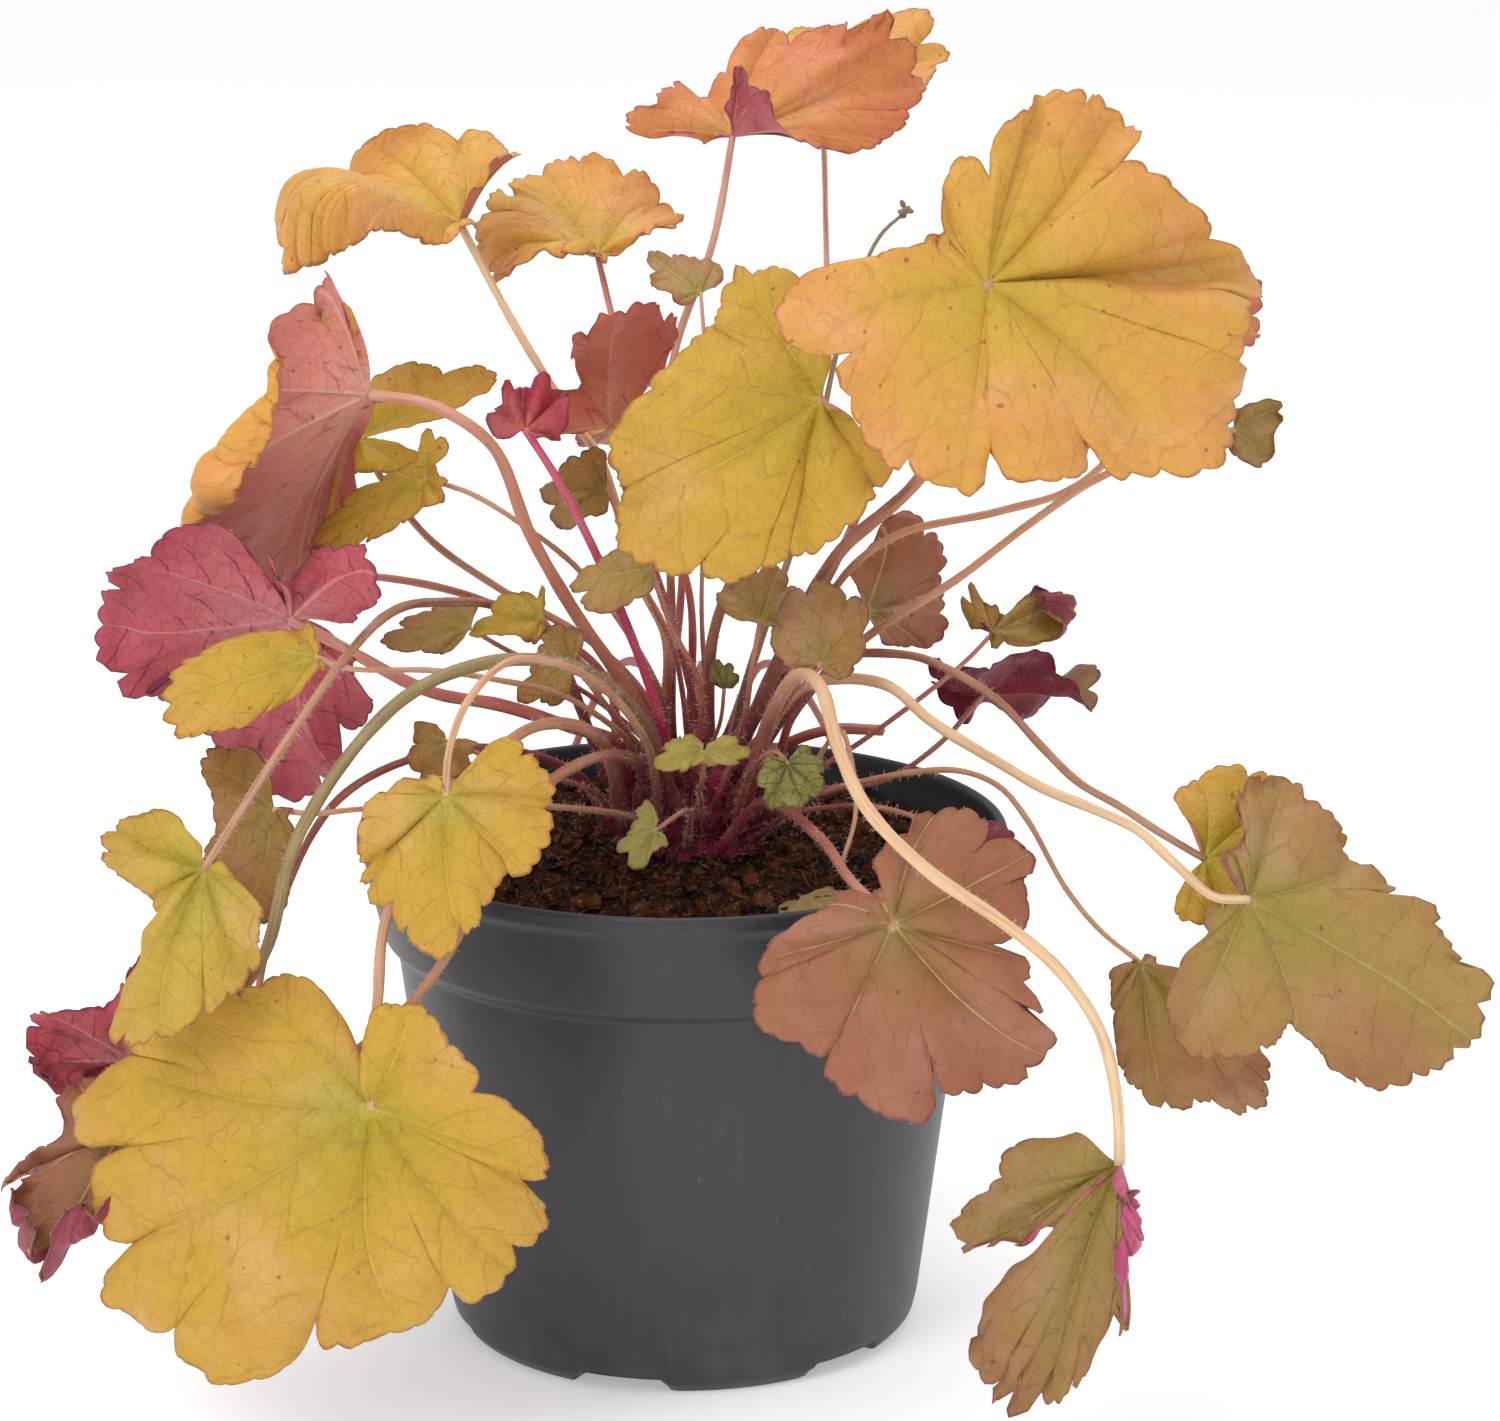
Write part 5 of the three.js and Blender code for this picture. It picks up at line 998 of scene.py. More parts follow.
@dataclass
class Blade:
    """A leaf's blade, as a grid of columns that fan out from the stalk and rings across them.

    A place on it is found by going out along its column, where the slope is rise plus curl times
    the share of the way to the power 1.5, then up by the ripple: its height times the share
    squared times the sine of so many turns of the angle. The blade then swells between its veins
    along its own normal, is given a thickness, and is set where its stalk holds it.
    """

    leaf: Leaf
    rng: Random
    shift: float = 0.0

    def half_lobe(
        self, lobe: Array, next_lobe: Array | None, way: int, slope: float = 0.0
    ) -> Columns:
        """Columns from the middle of a lobe to where the next begins, or over the last shoulder.

        The length goes from one lobe's to the next's as a parabola of the angle, times 1 less a
        dip that grows towards the place where they meet. A scallop's height is the cosine of its
        phase to the power 0.45, so that the notches are narrow.

        Args:
            lobe: Angle, length, rise, curl, roll, the dip that follows it, its place, and the hem.
            next_lobe: Those of its neighbour, or None at a shoulder.
            way: 1 towards larger angles, -1 towards smaller.
            slope: How the length grows with the angle at the lobe's middle, in mm a degree.

        Returns:
            The columns, beginning at the lobe's middle.
        """
        cut = self.leaf.size.value
        shoulder = next_lobe is None
        if shoulder:
            end = lobe + (way * SHOULDER[0], -SHOULDER[1] * lobe[1], 0, 0, 0, 0, 0, 0)
        else:
            end = lobe + (next_lobe - lobe) * (lobe[6] if way > 0 else 1 - next_lobe[6])
        mean = (lobe[1] + end[1]) / 2
        arc = np.hypot(np.radians(abs(end[0] - lobe[0])) * mean, lobe[1] - end[1])
        teeth = max(0, round(arc / cut.tooth - 0.5))
        x = np.linspace(0, 1, cut.corners * teeth + cut.corners // 2 + 1)
        if shoulder:
            mix, dip, fade = x, 1.0, 1 - x**3
            length = lobe[1] * (1 - SHOULDER[1] * x * x)
        else:
            mix, fade = x * x * (1.5 - x / 2), np.ones_like(x)
            depth = (lobe if way > 0 else next_lobe)[5]
            dip = 1 - depth * x ** (2 + 8 * depth)
            reach = slope * (end[0] - lobe[0])
            length = lobe[1] + reach * x + (end[1] - lobe[1] - reach) * x * x
        phase = (teeth + 0.5) * x
        scallop = np.abs(np.cos(np.pi * phase)) ** SHARP
        proud = self.rng.uniform(*PROUD, teeth + 2)[np.floor(phase + 0.5).astype(int)]
        small = np.clip(length / 30, 0.45, 1)
        return Columns(
            np.radians(lobe[0] + (end[0] - lobe[0]) * x),
            length * dip * (1 + 0.008 * np.cos(3 * np.pi * x) * fade),
            cut.notch * small * fade * (1 - scallop * proud),
            *(lobe[k] + (end[k] - lobe[k]) * mix for k in (2, 3, 4, 7)),
        )

    def columns(self) -> Columns:
        """The blade's columns, from one side of the stalk's notch round to the other."""
        lobes = self.lobes()
        meet = (lobes[:-1] + (lobes[1:] - lobes[:-1]) * lobes[:-1, 6:7])[:, :2]
        climb = np.diff(meet, axis=0)
        slopes = np.concatenate([[0], climb[:, 1] / climb[:, 0], [0]])
        runs = [self.half_lobe(lobes[0], None, -1).turned()]
        for k, (low, high) in enumerate(zip(lobes[:-1], lobes[1:])):
            runs.append(self.half_lobe(low, high, 1, slopes[k]))
            runs.append(self.half_lobe(high, low, -1, slopes[k + 1]).turned())
        runs.append(self.half_lobe(lobes[-1], None, 1))
        return Columns.joined(runs)

    def lobes(self) -> Array:
        """The leaf's lobes, each made up to eight numbers with what is usual, and in shares."""
        usual = (0, 0, 0, 0, 0, self.leaf.size.value.dip, 50, HEM)
        lobes = self.leaf.lobes or self.even_lobes()
        whole = np.array([(*lobe, *usual[len(lobe) :]) for lobe in lobes])
        return whole / (1, 1, 1, 1, 1, 100, 100, 100)

    def even_lobes(self) -> list[tuple[float, ...]]:
        """Seven even lobes round the stalk."""
        shares, turn, rise = EVEN
        long, droop = self.leaf.even
        return [
            ((k - 3) * turn, long * share, rise, droop, 0, EVEN_DIP)
            for k, share in enumerate(shares)
        ]

    def main_veins(self) -> Array:
        """Angles of the main veins: the longest lobes', none close to one already taken."""
        taken: list[float] = []
        for angle, *_ in sorted(self.lobes().tolist(), key=lambda lobe: -lobe[1]):
            if all(abs(angle - other) >= APART for other in taken):
                taken.append(angle)
        return np.radians(sorted(taken))

    def shares(self) -> Array:
        """How far out each ring lies, as a share of the way."""
        return np.linspace(0, 1, self.leaf.size.value.rings + 1)[1:] ** CROWDED

    @staticmethod
    def stretch(angle: Array, mains: Array) -> tuple[Array, Array, Array]:
        """What lies nearest to a direction of the blade.

        Args:
            angle: The direction.
            mains: Angles of the main veins.

        Returns:
            The angle of its main vein, the number of the stretch between main veins that it is
            in, and how far it is over to the middle of that stretch, from 0 to 1.
        """
        region = np.searchsorted(mains, angle)
        half = (mains[1:] + mains[:-1]) / 2
        vein = mains[np.searchsorted(half, angle)]
        gaps = np.concatenate([[1.2], np.diff(mains) / 2, [1.2]])[region]
        return vein, region, np.clip(np.abs(angle - vein) / gaps, 0, 1)

    @staticmethod
    def veins(
        angle: Array, far: Array, middle: Array, longest: float
    ) -> tuple[Array, Array]:
        """How a place lies to the veins.

        Args:
            angle, far: The place, from the stalk.
            middle: Angle of the nearest main vein.
            longest: Length of the blade.

        Returns:
            The number of the side vein, whole on one and leaning forwards with the distance from
            the main vein, and that distance, which is negative on one side.
        """
        gap = SIDE_VEINS[0] * longest + SIDE_VEINS[1]
        run = far * np.cos(angle - middle)
        off = far * np.sin(angle - middle)
        side = np.abs(off)
        return (run - 0.75 * side - 0.35 * side * side / (gap * 6)) / gap, off

    def sheet(self, c: Columns) -> tuple[Array, Array, Array]:
        """Goes out along each column from the stalk, and adds the ripple.

        Args:
            c: The columns.

        Returns:
            The bent sheet's points column by column, their places on the blade laid flat, and
            how far each is from the stalk.
        """
        share, turn = self.shares(), c.angle[:, None]
        path = np.concatenate([[0], share])
        roll = c.roll + self.rng.uniform(-24, 4) * np.sin(c.angle * 2 + self.rng.uniform(0, 6))
        lip = roll[:, None] * np.clip((path - c.hem[:, None]) / TURNED, 0, 1) ** BEND
        slope = np.radians(c.rise[:, None] + c.curl[:, None] * path**BEND + lip)
        step = np.diff(path) * c.length[:, None]
        way = np.stack([np.cos(slope), np.sin(slope)])
        out, up = np.cumsum((way[..., 1:] + way[..., :-1]) / 2 * step, axis=-1)
        trim = c.notch[:, None] * share**8
        out, up = out - trim * way[0, :, 1:], up - trim * way[1, :, 1:]
        height, count, phase = self.leaf.wave or (self.leaf.size.value.wave, 6, 1)
        up = up + height * share**2 * np.sin(count * c.angle + phase)[:, None]
        far = share * c.length[:, None] - trim
        flat = np.stack([far * np.cos(turn), far * np.sin(turn)], axis=-1)
        return np.stack([out * np.cos(turn), out * np.sin(turn), up], axis=-1), flat, far

    def relief(
        self, mains: Array, bent: Array, flat: Array, far: Array, longest: float
    ) -> tuple[Array, Array]:
        """How far the blade swells out of its sheet between its veins.

        A main vein lies in a groove like a bell curve of the distance from it. Between two side
        veins the blade rises as the sine of the side vein's number, and between two main veins
        it is pleated as a quarter of a sine of the way over. Two sets of waves go over it all.

        Args:
            mains: Angles of the main veins.
            bent: The angle at which each place counts for the veins.
            flat, far: Each place on the blade laid flat, and how far it is from the stalk.
            longest: Length of the blade.

        Returns:
            The height of each place, and how near a main vein it is, from 0 to 1.
        """
        cut, rng, share = self.leaf.size.value, self.rng, self.shares()
        vein, region, between = self.stretch(bent, mains)
        number, off = self.veins(bent, far, vein, longest)
        number = number + 0.5 * (region % 2)
        near, beside = (
            np.exp(-((off / (part * longest + more)) ** 2))
            for part, more in (NEAR_VEIN, OPEN_BLADE)
        )
        swell = np.abs(np.sin(np.pi * number)) ** 0.7 - 0.6
        open_ = (1 - beside) * (1 - between**8)
        soft = (1 - share**7) * np.clip(share * 6, 0, 1)
        height = -cut.groove * near * (1 - 0.7 * share)
        height = height + cut.quilt * swell * open_ * soft
        pleat = cut.pleat * rng.uniform(0.4, 1.5, len(mains) + 1)[region]
        fold = pleat * np.sin(np.pi / 2 * between**0.8)
        height = height + fold * share * (1.3 - share) * 2
        x, y = flat[..., 0], flat[..., 1]
        height = height + 0.03 * longest * waves(rng, x, y, 0.9 * longest) * share
        height = height + 0.5 * cut.pleat * waves(rng, x, y, 0.35 * longest) * share**4
        return height, near

    def surface(self) -> Surface:
        """The whole blade: its upper face is finish 0, its under face 1 and its edge 0."""
        cut, rng, c = self.leaf.size.value, self.rng, self.columns()
        mains, share, turn = self.main_veins(), self.shares(), c.angle[:, None]
        base, flat, far = self.sheet(c)
        # the veins bow a little on their way
        bow, lag = rng.uniform(0.1, 0.22, 2), rng.uniform(0, TURN, 2)
        bent = bow[0] * np.sin(2 * turn + lag[0]) + 0.5 * bow[1] * np.sin(5 * turn + lag[1])
        bent = turn + bent * share**1.5
        relief, near = self.relief(mains, bent, flat, far, c.length.max())
        middle = base + self.normal(base) * relief[..., None]
        normal = self.normal(middle)
        # thinner towards the edge, and ribbed below along the main veins
        half = cut.thick / 2 * (1 - 0.45 * share**8)[None, :, None]
        rib = 0.55 * cut.groove * near * (1 - share) ** 0.6
        above = middle + normal * half
        under = middle - normal * (half + rib[..., None])
        return self.closed(c, mains, above, under, flat, far, bent)

    @staticmethod
    def normal(grid: Array) -> Array:
        """The way out of the upper side at each point of a grid."""
        return unit(np.cross(np.gradient(grid, axis=1), np.gradient(grid, axis=0)))

    def closed(
        self, c: Columns, mains: Array, above: Array, under: Array,
        flat: Array, far: Array, bent: Array,
    ) -> Surface:
        """Joins the two faces of the blade round its edge and sets it in place.

        Args:
            c, mains: The columns and the angles of the main veins.
            above, under: Points of the two faces, column by column.
            flat, far: Where each lies on the blade laid flat, and how far from the stalk.
            bent: The angle at which each counts for the veins.

        Returns:
            The closed blade.
        """
        columns, rings = far.shape
        count = 1 + columns * rings
        thick = self.leaf.size.value.thick / 2
        points = np.concatenate(
            [[[0, 0, thick]], above.reshape(-1, 3), [[0, 0, -thick]], under.reshape(-1, 3)]
        )
        quads = sheet_faces(columns, rings, first=1)
        start = 1 + np.arange(columns) * rings
        fan = np.stack([np.zeros(columns - 1, int), start[:-1], start[1:]], axis=1)
        laid = np.concatenate([[[0, 0]], flat.reshape(-1, 2)]) + self.shift
        veins = self.face_veins(bent, mains, far, c.length.max())
        top = [Faces(quads, 0, laid[quads], veins), Faces(fan, 0, laid[fan], 0 * laid[fan])]
        low = [
            Faces(f.corners[:, ::-1] + count, 1, f.flat[:, ::-1], f.veins[:, ::-1]) for f in top
        ]
        ring = np.arange(rings)
        border = [[0], start[0] + ring, start[1:] + rings - 1, start[-1] + ring[-2::-1]]
        rim = rim_faces(np.concatenate(border), count)
        edge = Faces(rim, 0, laid[rim % count], smooth=False)
        inset = np.concatenate([[20], ((c.length - c.notch)[:, None] - far).ravel()])
        tone = np.concatenate([[0], waves(self.rng, flat[..., 0], flat[..., 1], 60).ravel()])
        tone = tone + self.rng.normal(0, 0.3)
        share = np.concatenate([[0], np.tile(self.shares(), columns)])
        facts = np.tile(np.stack([share, inset, tone], axis=1), (2, 1))
        return Surface(self.placed(points), top + low + [edge], facts)

    def face_veins(
        self, bent: Array, mains: Array, far: Array, longest: float
    ) -> Array:
        """The vein map at the four corners of each face, by the main vein next to its middle."""
        corners = (np.s_[:-1, :-1], np.s_[:-1, 1:], np.s_[1:, 1:], np.s_[1:, :-1])
        vein, region, _ = self.stretch(sum(bent[k] for k in corners) / 4, mains)
        maps = [self.veins(bent[k], far[k], vein, longest) for k in corners]
        pairs = [np.stack([(m[0] + 0.5 * (region % 2)).ravel(), m[1].ravel()], 1) for m in maps]
        return np.stack(pairs, axis=1)

    def placed(self, points: Array) -> Array:
        """Points of the blade turned and moved to where its stalk holds it."""
        face = unit(np.array(self.leaf.face, float))
        along = np.array(self.leaf.along, float)
        along = unit(along - face * (along @ face))
        return points @ np.stack([along, np.cross(face, along), face]) + self.leaf.at


# ------------------------------------------------------------------ stalks and leaves
CROWN = (2.0, 5.0, 127.0)  # the middle of the crown
TAPER = (1.12, 0.9, 0.84, 0.74)  # a stalk's radius from its foot to its end, in its own radii
LAID_APART = 170.0  # millimetres from one blade to the next where all are laid flat
STALK_RIBS = 0.035  # height of its ridges, in its own radii
HAIRS_A_MM = 2.6
STALK_HAIR = (0.7, 2.1)  # shortest and longest, here and below
EDGE_HAIR = (0.35, 0.9)
STEM_HAIR = (0.5, 1.3)
CROWN_HAIR = (1.0, 3.0)


def node_points(name: str) -> Array:
    """The places of a frame node's points, in millimetres, each once."""
    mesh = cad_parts[name].data
    flat = np.empty(len(mesh.vertices) * 3)
    mesh.vertices.foreach_get("co", flat)
    return np.unique(np.round(flat.reshape(-1, 3) / MM, 3), axis=0)


@dataclass
class Stalk:
    """A hairy stalk from inside the crown, past its points, to its end."""

    node: str
    via: tuple[Point, ...]
    radius: float
    size: Size
    taper: tuple[float, ...] = TAPER

    def line(self) -> Array:
        """The points of its route: its foot is where the node's is, square to the node's end."""
        near = node_points(self.node)
        order = np.argsort(np.linalg.norm(near - CROWN, axis=1))
        ring = near[order[: 5 if self.size is Size.LARGE else 4]]
        foot = ring.mean(0)
        straight = np.linalg.svd(ring - foot)[2][2]
        straight = straight * np.sign(straight @ (foot - CROWN))
        return np.concatenate([[foot, foot + 8 * straight], np.array(self.via, float)])

    def tube(self, finish: int) -> Tube:
        """The stalk as a bar, its radius eased between the shares of its taper."""
        line, far = evenly(route(self.line()), self.size.value.step)
        places = np.linspace(0, 1, len(self.taper))
        radii = self.radius * np.interp(far / far[-1], places, self.taper)
        radii = radii * (1 + 0.04 * np.sin(far * 0.21) + 0.025 * np.sin(far * 0.53 + 1))
        return Tube(line, far, radii, self.size.value.sides, STALK_RIBS, finish)


@dataclass
class LeafPiece(Piece):
    """One leaf made whole: blade, stalk, hairs on the stalk and fine hairs along the edge."""

    leaf: Leaf
    index: int
    part = "blade"

    def __post_init__(self) -> None:
        """Names its node and slot."""
        self.node, self.slot = f"leaf_{self.leaf.name}", self.leaf.look.value[0]

    def surfaces(self) -> list[Surface]:
        """The blade, the stalk with its hairs if there is one, and the fringe."""
        leaf = self.leaf
        rng = np.random.default_rng(SEED + self.index)
        blade = Blade(leaf, rng, LAID_APART * self.index).surface()
        surfaces = [blade]
        if leaf.stalk:
            tube = Stalk(self.node, leaf.via + (leaf.at,), leaf.stalk, leaf.size).tube(2)
            surfaces.append(tube.surface(rng.uniform(-1, 1)))
            feet = tube.feet(rng, int(tube.far[-1] * HAIRS_A_MM))
            surfaces.append(hairs(*feet, rng, STALK_HAIR, 3))
        return surfaces + [self.fringe(blade, rng)]

    def materials(self, finishes: "Finishes") -> list[Material]:
        """Upper face, under face, stalk and hairs."""
        look = self.leaf.look
        _, upper, under = look.value
        faces = [finishes.blade(upper, f"{look.name}_upper", 1.0)]
        faces.append(finishes.blade(under, f"{look.name}_under", -1.0))
        return faces + [finishes.stalk(self.leaf.stem), finishes.matt(Matt.HAIR)]

    def fringe(self, blade: Surface, rng: Random) -> Surface:
        """Short hairs that stand out along the blade's edge."""
        rim = blade.faces[-1].corners
        edge = blade.points[rim[:, 0]]
        out = unit(edge - blade.points[0] + 1e-6)
        pick = rng.integers(0, len(edge), len(edge) // 3)
        out = unit(out[pick] + rng.normal(0, 0.5, (len(pick), 3)))
        return hairs(edge[pick] - out * 0.15, out, rng, EDGE_HAIR, 3)


# ------------------------------------------------------------------ pot, compost and crown
def turned(profile: Array, sides: int) -> Array:
    """Points of a profile of radius and height carried round the axis, column by column."""
    angle = np.arange(sides) / sides * TURN
    ring = np.stack([np.cos(angle), np.sin(angle)], axis=1)
    around = ring[:, None, :] * profile[None, :, :1]
    height = np.broadcast_to(profile[:, 1], (sides, len(profile)))
    return np.concatenate([around, height[..., None]], axis=-1)


def closed_turn(grid: Array, low: Point, high: Point) -> Surface:
    """A turned grid closed at both ends of its profile with a point on the axis."""
    sides, rows = grid.shape[:2]
    points = np.concatenate([grid.reshape(-1, 3), [low, high]])
    body = sheet_faces(sides, rows, wrap=True)[:, ::-1]
    return Surface(points, [Faces(f) for f in (body, *end_fans(sides, rows))])


def rounded(profile: Array, radius: float, count: int = 5) -> Array:
    """A profile with its corners rounded, each by a parabola between points set back from it."""
    corner = profile[1:-1]
    before, after = profile[:-2] - corner, profile[2:] - corner
    back = [np.linalg.norm(v, axis=1)[:, None] for v in (before, after)]
    near = corner + before / back[0] * np.minimum(radius, back[0] * 0.45)
    far = corner + after / back[1] * np.minimum(radius, back[1] * 0.45)
    t = np.linspace(0, 1, count)[None, :, None]
    bend = near[:, None] * (1 - t) ** 2 + corner[:, None] * 2 * t * (1 - t) + far[:, None] * t * t
    return np.concatenate([profile[:1], bend.reshape(-1, 2), profile[-1:]])


@dataclass
class Pot(Piece):
    """The round pot: a drawn wall, a step up to the rim band, a rolled rim and drain notches."""

    height: float = 135.0
    rim: float = 85.0
    foot: float = 62.4
    head: float = 74.8
    band: float = 78.4
    band_bottom: float = 107.5
    rest: float = 58.4
    wall: float = 1.4
    floor: float = 2.2
    notches: int = 6
    spread: float = 24.0
    notch: float = 4.5
    notch_inner: float = 48.0
    first: float = 15.0
    sides: int = 288
    node, slot, part = "pot", "pot", "shell"

    def profile(self) -> Array:
        """Radius and height from the middle of the base up the outside and down the inside."""
        top, wall = self.height, self.wall
        return np.array(
            [
                (8, 0), (self.notch_inner - 2, 0), (self.notch_inner, 0), (self.rest, 0),
                (self.foot - 1.1, 3.2), (self.foot, 8), (self.foot + 6.1, 55),
                (self.head, self.band_bottom - 3), (self.band, self.band_bottom),
                (self.band + 3.6, 122), (self.rim - 1.7, top - 6), (self.rim, top - 4),
                (self.rim - 0.3, top - 0.6), (self.rim - 1.6, top), (self.rim - 2.8, top - 0.8),
                (self.rim - 3.4, top - 5), (self.band - wall, self.band_bottom + wall),
                (self.head - wall, self.band_bottom + wall - 3), (self.foot - wall, 8),
                (self.foot - wall - 2.5, self.floor), (8, self.floor),
            ]
        )

    def surfaces(self) -> list[Surface]:
        """The turned wall. Round the notches its foot is lifted to the notch's height."""
        profile = rounded(self.profile(), 1.2)
        grid = turned(profile, self.sides)
        angle = np.degrees(np.arange(self.sides) / self.sides * TURN)
        pitch = 360 / self.notches
        away = np.abs((angle - self.first + pitch / 2) % pitch - pitch / 2)
        open_ = np.clip((self.spread / 2 + 1 - away) / 2.5, 0, 1)[:, None]
        radius = profile[:, 0]
        lift = open_ * self.notch * np.clip((radius - self.notch_inner) / 2, 0, 1)
        inner = np.arange(len(profile)) > np.argmax(profile[:, 1])
        grid[..., 2] = np.maximum(grid[..., 2], lift + inner * self.wall * open_)
        return [closed_turn(grid, (0, 0, 0), (0, 0, self.floor))]

    def materials(self, finishes: "Finishes") -> list[Material]:
        """The plastic."""
        return [finishes.pot()]


@dataclass
class Compost(Piece):
    """The compost: a low mound broken up by lumps, with crumbs, bark chips and fibres on it."""

    edge: float = 123.5
    mound: float = 4.5
    mound_radius: float = 40.0
    radius: float = 80.6
    low: float = 3.0
    low_radius: float = 57.5
    wall: tuple[tuple[float, float], ...] = ((60.8, 8), (73.0, 105.5), (76.5, 109.2))
    sides: int = 220
    rings: int = 78
    crumbs: int = 2000
    clods: int = 90
    chips: int = 150
    lumpy: tuple[tuple[float, float], ...] = ((46, 0.9), (17, 1.1), (8, 1.3), (4, 0.9))
    smallest: float = 0.3
    largest: float = 4.2
    clod: tuple[float, float] = (1.2, 3.2)
    chip: tuple[tuple[float, float], ...] = ((1.2, 4.2), (0.5, 1.6), (0.3, 0.8))
    fibres: int = 120
    fibre: float = 0.16
    fibre_step: tuple[float, float] = (0.8, 2.4)
    fibre_reach: float = 77
    bends: int = 8
    node, slot, part = "compost", "compost", "mound"
    kinds = (Matt.SOIL, Matt.BARK, Matt.FIBRE, Matt.CRUMB)

    def lumps(self, x: Array, y: Array) -> Array:
        """Height of the compost: the mound, and unevenness at four sizes of lump."""
        rng = np.random.default_rng(SEED + LUMPS)
        mound = self.mound * np.exp(-((np.hypot(x, y) / self.mound_radius) ** 2))
        wide, broad, mid, small = (high * waves(rng, x, y, size) for size, high in self.lumpy)
        rough = wide + broad + np.abs(mid) + np.abs(small)
        return self.edge + mound + rough

    def scattered(self, rng: Random, count: int) -> Array:
        """Random places on the compost, evenly spread over its top."""
        far = self.radius * 0.97 * np.sqrt(rng.uniform(0.02, 1, count))
        angle = rng.uniform(0, TURN, count)
        x, y = far * np.cos(angle), far * np.sin(angle)
        return np.stack([x, y, self.lumps(x, y)], axis=1)

    def ground(self) -> Surface:
        """The body of the compost, from the pot's floor up its wall and over its uneven top."""
        low = [(self.low_radius * 0.5, self.low), (self.low_radius, self.low), *self.wall]
        low.append((self.radius - 0.8, 119))
        over = self.radius * np.linspace(1, 0.012, self.rings)
        profile = np.concatenate([low, np.stack([over, 0 * over], axis=1)])
        grid = turned(profile, self.sides)
        top = grid[:, len(low) :]
        top[..., 2] = self.lumps(top[..., 0], top[..., 1])
        top[:, 0, 2] -= 1.5
        peak = self.lumps(np.zeros(1), np.zeros(1))[0]
        return closed_turn(grid, (0, 0, self.low), (0, 0, peak))

    def crumb_surface(self, rng: Random) -> Surface:
        """Crumbs: twelve-cornered lumps, each stretched, roughened and turned at random."""
        gold = (1 + 5**0.5) / 2
        pairs = [(a, b) for a in (-1, 1) for b in (-gold, gold)]
        corner = [(0, a, b) for a, b in pairs] + [(a, b, 0) for a, b in pairs]
        corner = np.array(corner + [(b, 0, a) for a, b in pairs])
        corner = corner / np.linalg.norm(corner[0])
        place = self.scattered(rng, self.crumbs)
        size = rng.gamma(1.6, 0.42, self.crumbs)[:, None] + self.smallest
        size[: self.clods] += rng.uniform(*self.clod, (self.clods, 1))
        stretch = rng.uniform(0.6, 1.3, (self.crumbs, 1, 3))
        rough = rng.uniform(0.75, 1.25, (self.crumbs, len(corner), 1))
        lump = corner * stretch * rough * np.minimum(size, self.largest)[..., None]
        lump = lump @ random_turns(rng, self.crumbs) + place[:, None] - [0, 0, 0.1]
        return copies(lump, convex_faces(corner), 3)

    def chip_surface(self, rng: Random) -> Surface:
        """Chips of bark: flat uneven boxes, tapered and tilted at random."""
        box = np.array([(x, y, z) for x in (-1, 1) for y in (-1, 1) for z in (-1, 1)], float)
        faces = np.array(
            [(0, 1, 3, 2), (4, 6, 7, 5), (0, 4, 5, 1), (2, 3, 7, 6), (0, 2, 6, 4), (1, 5, 7, 3)]
        )
        count = self.chips
        size = np.stack([rng.uniform(*ends, count) for ends in self.chip], axis=1)
        chip = box * size[:, None] * rng.uniform(0.55, 1.25, (count, 8, 3))
        chip = chip @ random_turns(rng, count, 0.45)
        return copies(chip + self.scattered(rng, count)[:, None] + [0, 0, 0.5], faces, 1)

    def fibre_surfaces(self, rng: Random) -> list[Surface]:
        """Fibres: thin bent threads that lie over the lumps."""
        surfaces = []
        count = np.arange(self.bends)
        for place in self.scattered(rng, self.fibres):
            turn, bend = rng.uniform(0, TURN), rng.normal(0, 0.12)
            step = rng.uniform(*self.fibre_step)
            angle = turn + bend * count
            x = place[0] + np.cumsum(np.cos(angle)) * step
            y = place[1] + np.cumsum(np.sin(angle)) * step
            inside = np.minimum(1, self.fibre_reach / np.maximum(np.hypot(x, y), 1))
            x, y = x * inside, y * inside
            z = self.lumps(x, y) + 0.5 + 0.5 * np.sin(count * 0.9)
            line, far = evenly(np.stack([x, y, z], axis=1), 1.6)
            radii = np.full(len(line), self.fibre)
            surfaces.append(Tube(line, far, radii, 5, 0, 2).surface())
        return surfaces

    def surfaces(self) -> list[Surface]:
        """The body and all that lies on it."""
        rng = np.random.default_rng(SEED + LYING)
        lying = [self.crumb_surface(rng), self.chip_surface(rng)]
        return [self.ground(), *lying, *self.fibre_surfaces(rng)]


def copies(shapes: Array, faces: Array, finish: int) -> Surface:
    """Many shapes of the same faces as one flat-faced surface: points by shape and by corner."""
    count, corners = shapes.shape[:2]
    numbers = np.arange(count)[:, None, None] * corners + faces
    numbers = numbers.reshape(-1, faces.shape[1])
    return Surface(shapes.reshape(-1, 3), [Faces(numbers, finish, smooth=False)])


def convex_faces(corner: Array) -> Array:
    """The twenty faces of a regular twelve-cornered solid, facing out."""
    apart = np.linalg.norm(corner[:, None] - corner, axis=-1)
    near = apart < apart[apart > 1e-6].min() * 1.01
    a, b, c = np.meshgrid(*[np.arange(12)] * 3, indexing="ij")
    taken = (a < b) & (b < c) & near[a, b] & near[b, c] & near[a, c]
    faces = np.stack([a[taken], b[taken], c[taken]], axis=1)
    p, q, r = (corner[faces[:, k]] for k in range(3))
    way = np.einsum("ij,ij->i", np.cross(q - p, r - p), corner[faces].sum(1))
    faces[way < 0] = faces[way < 0][:, ::-1]
    return faces


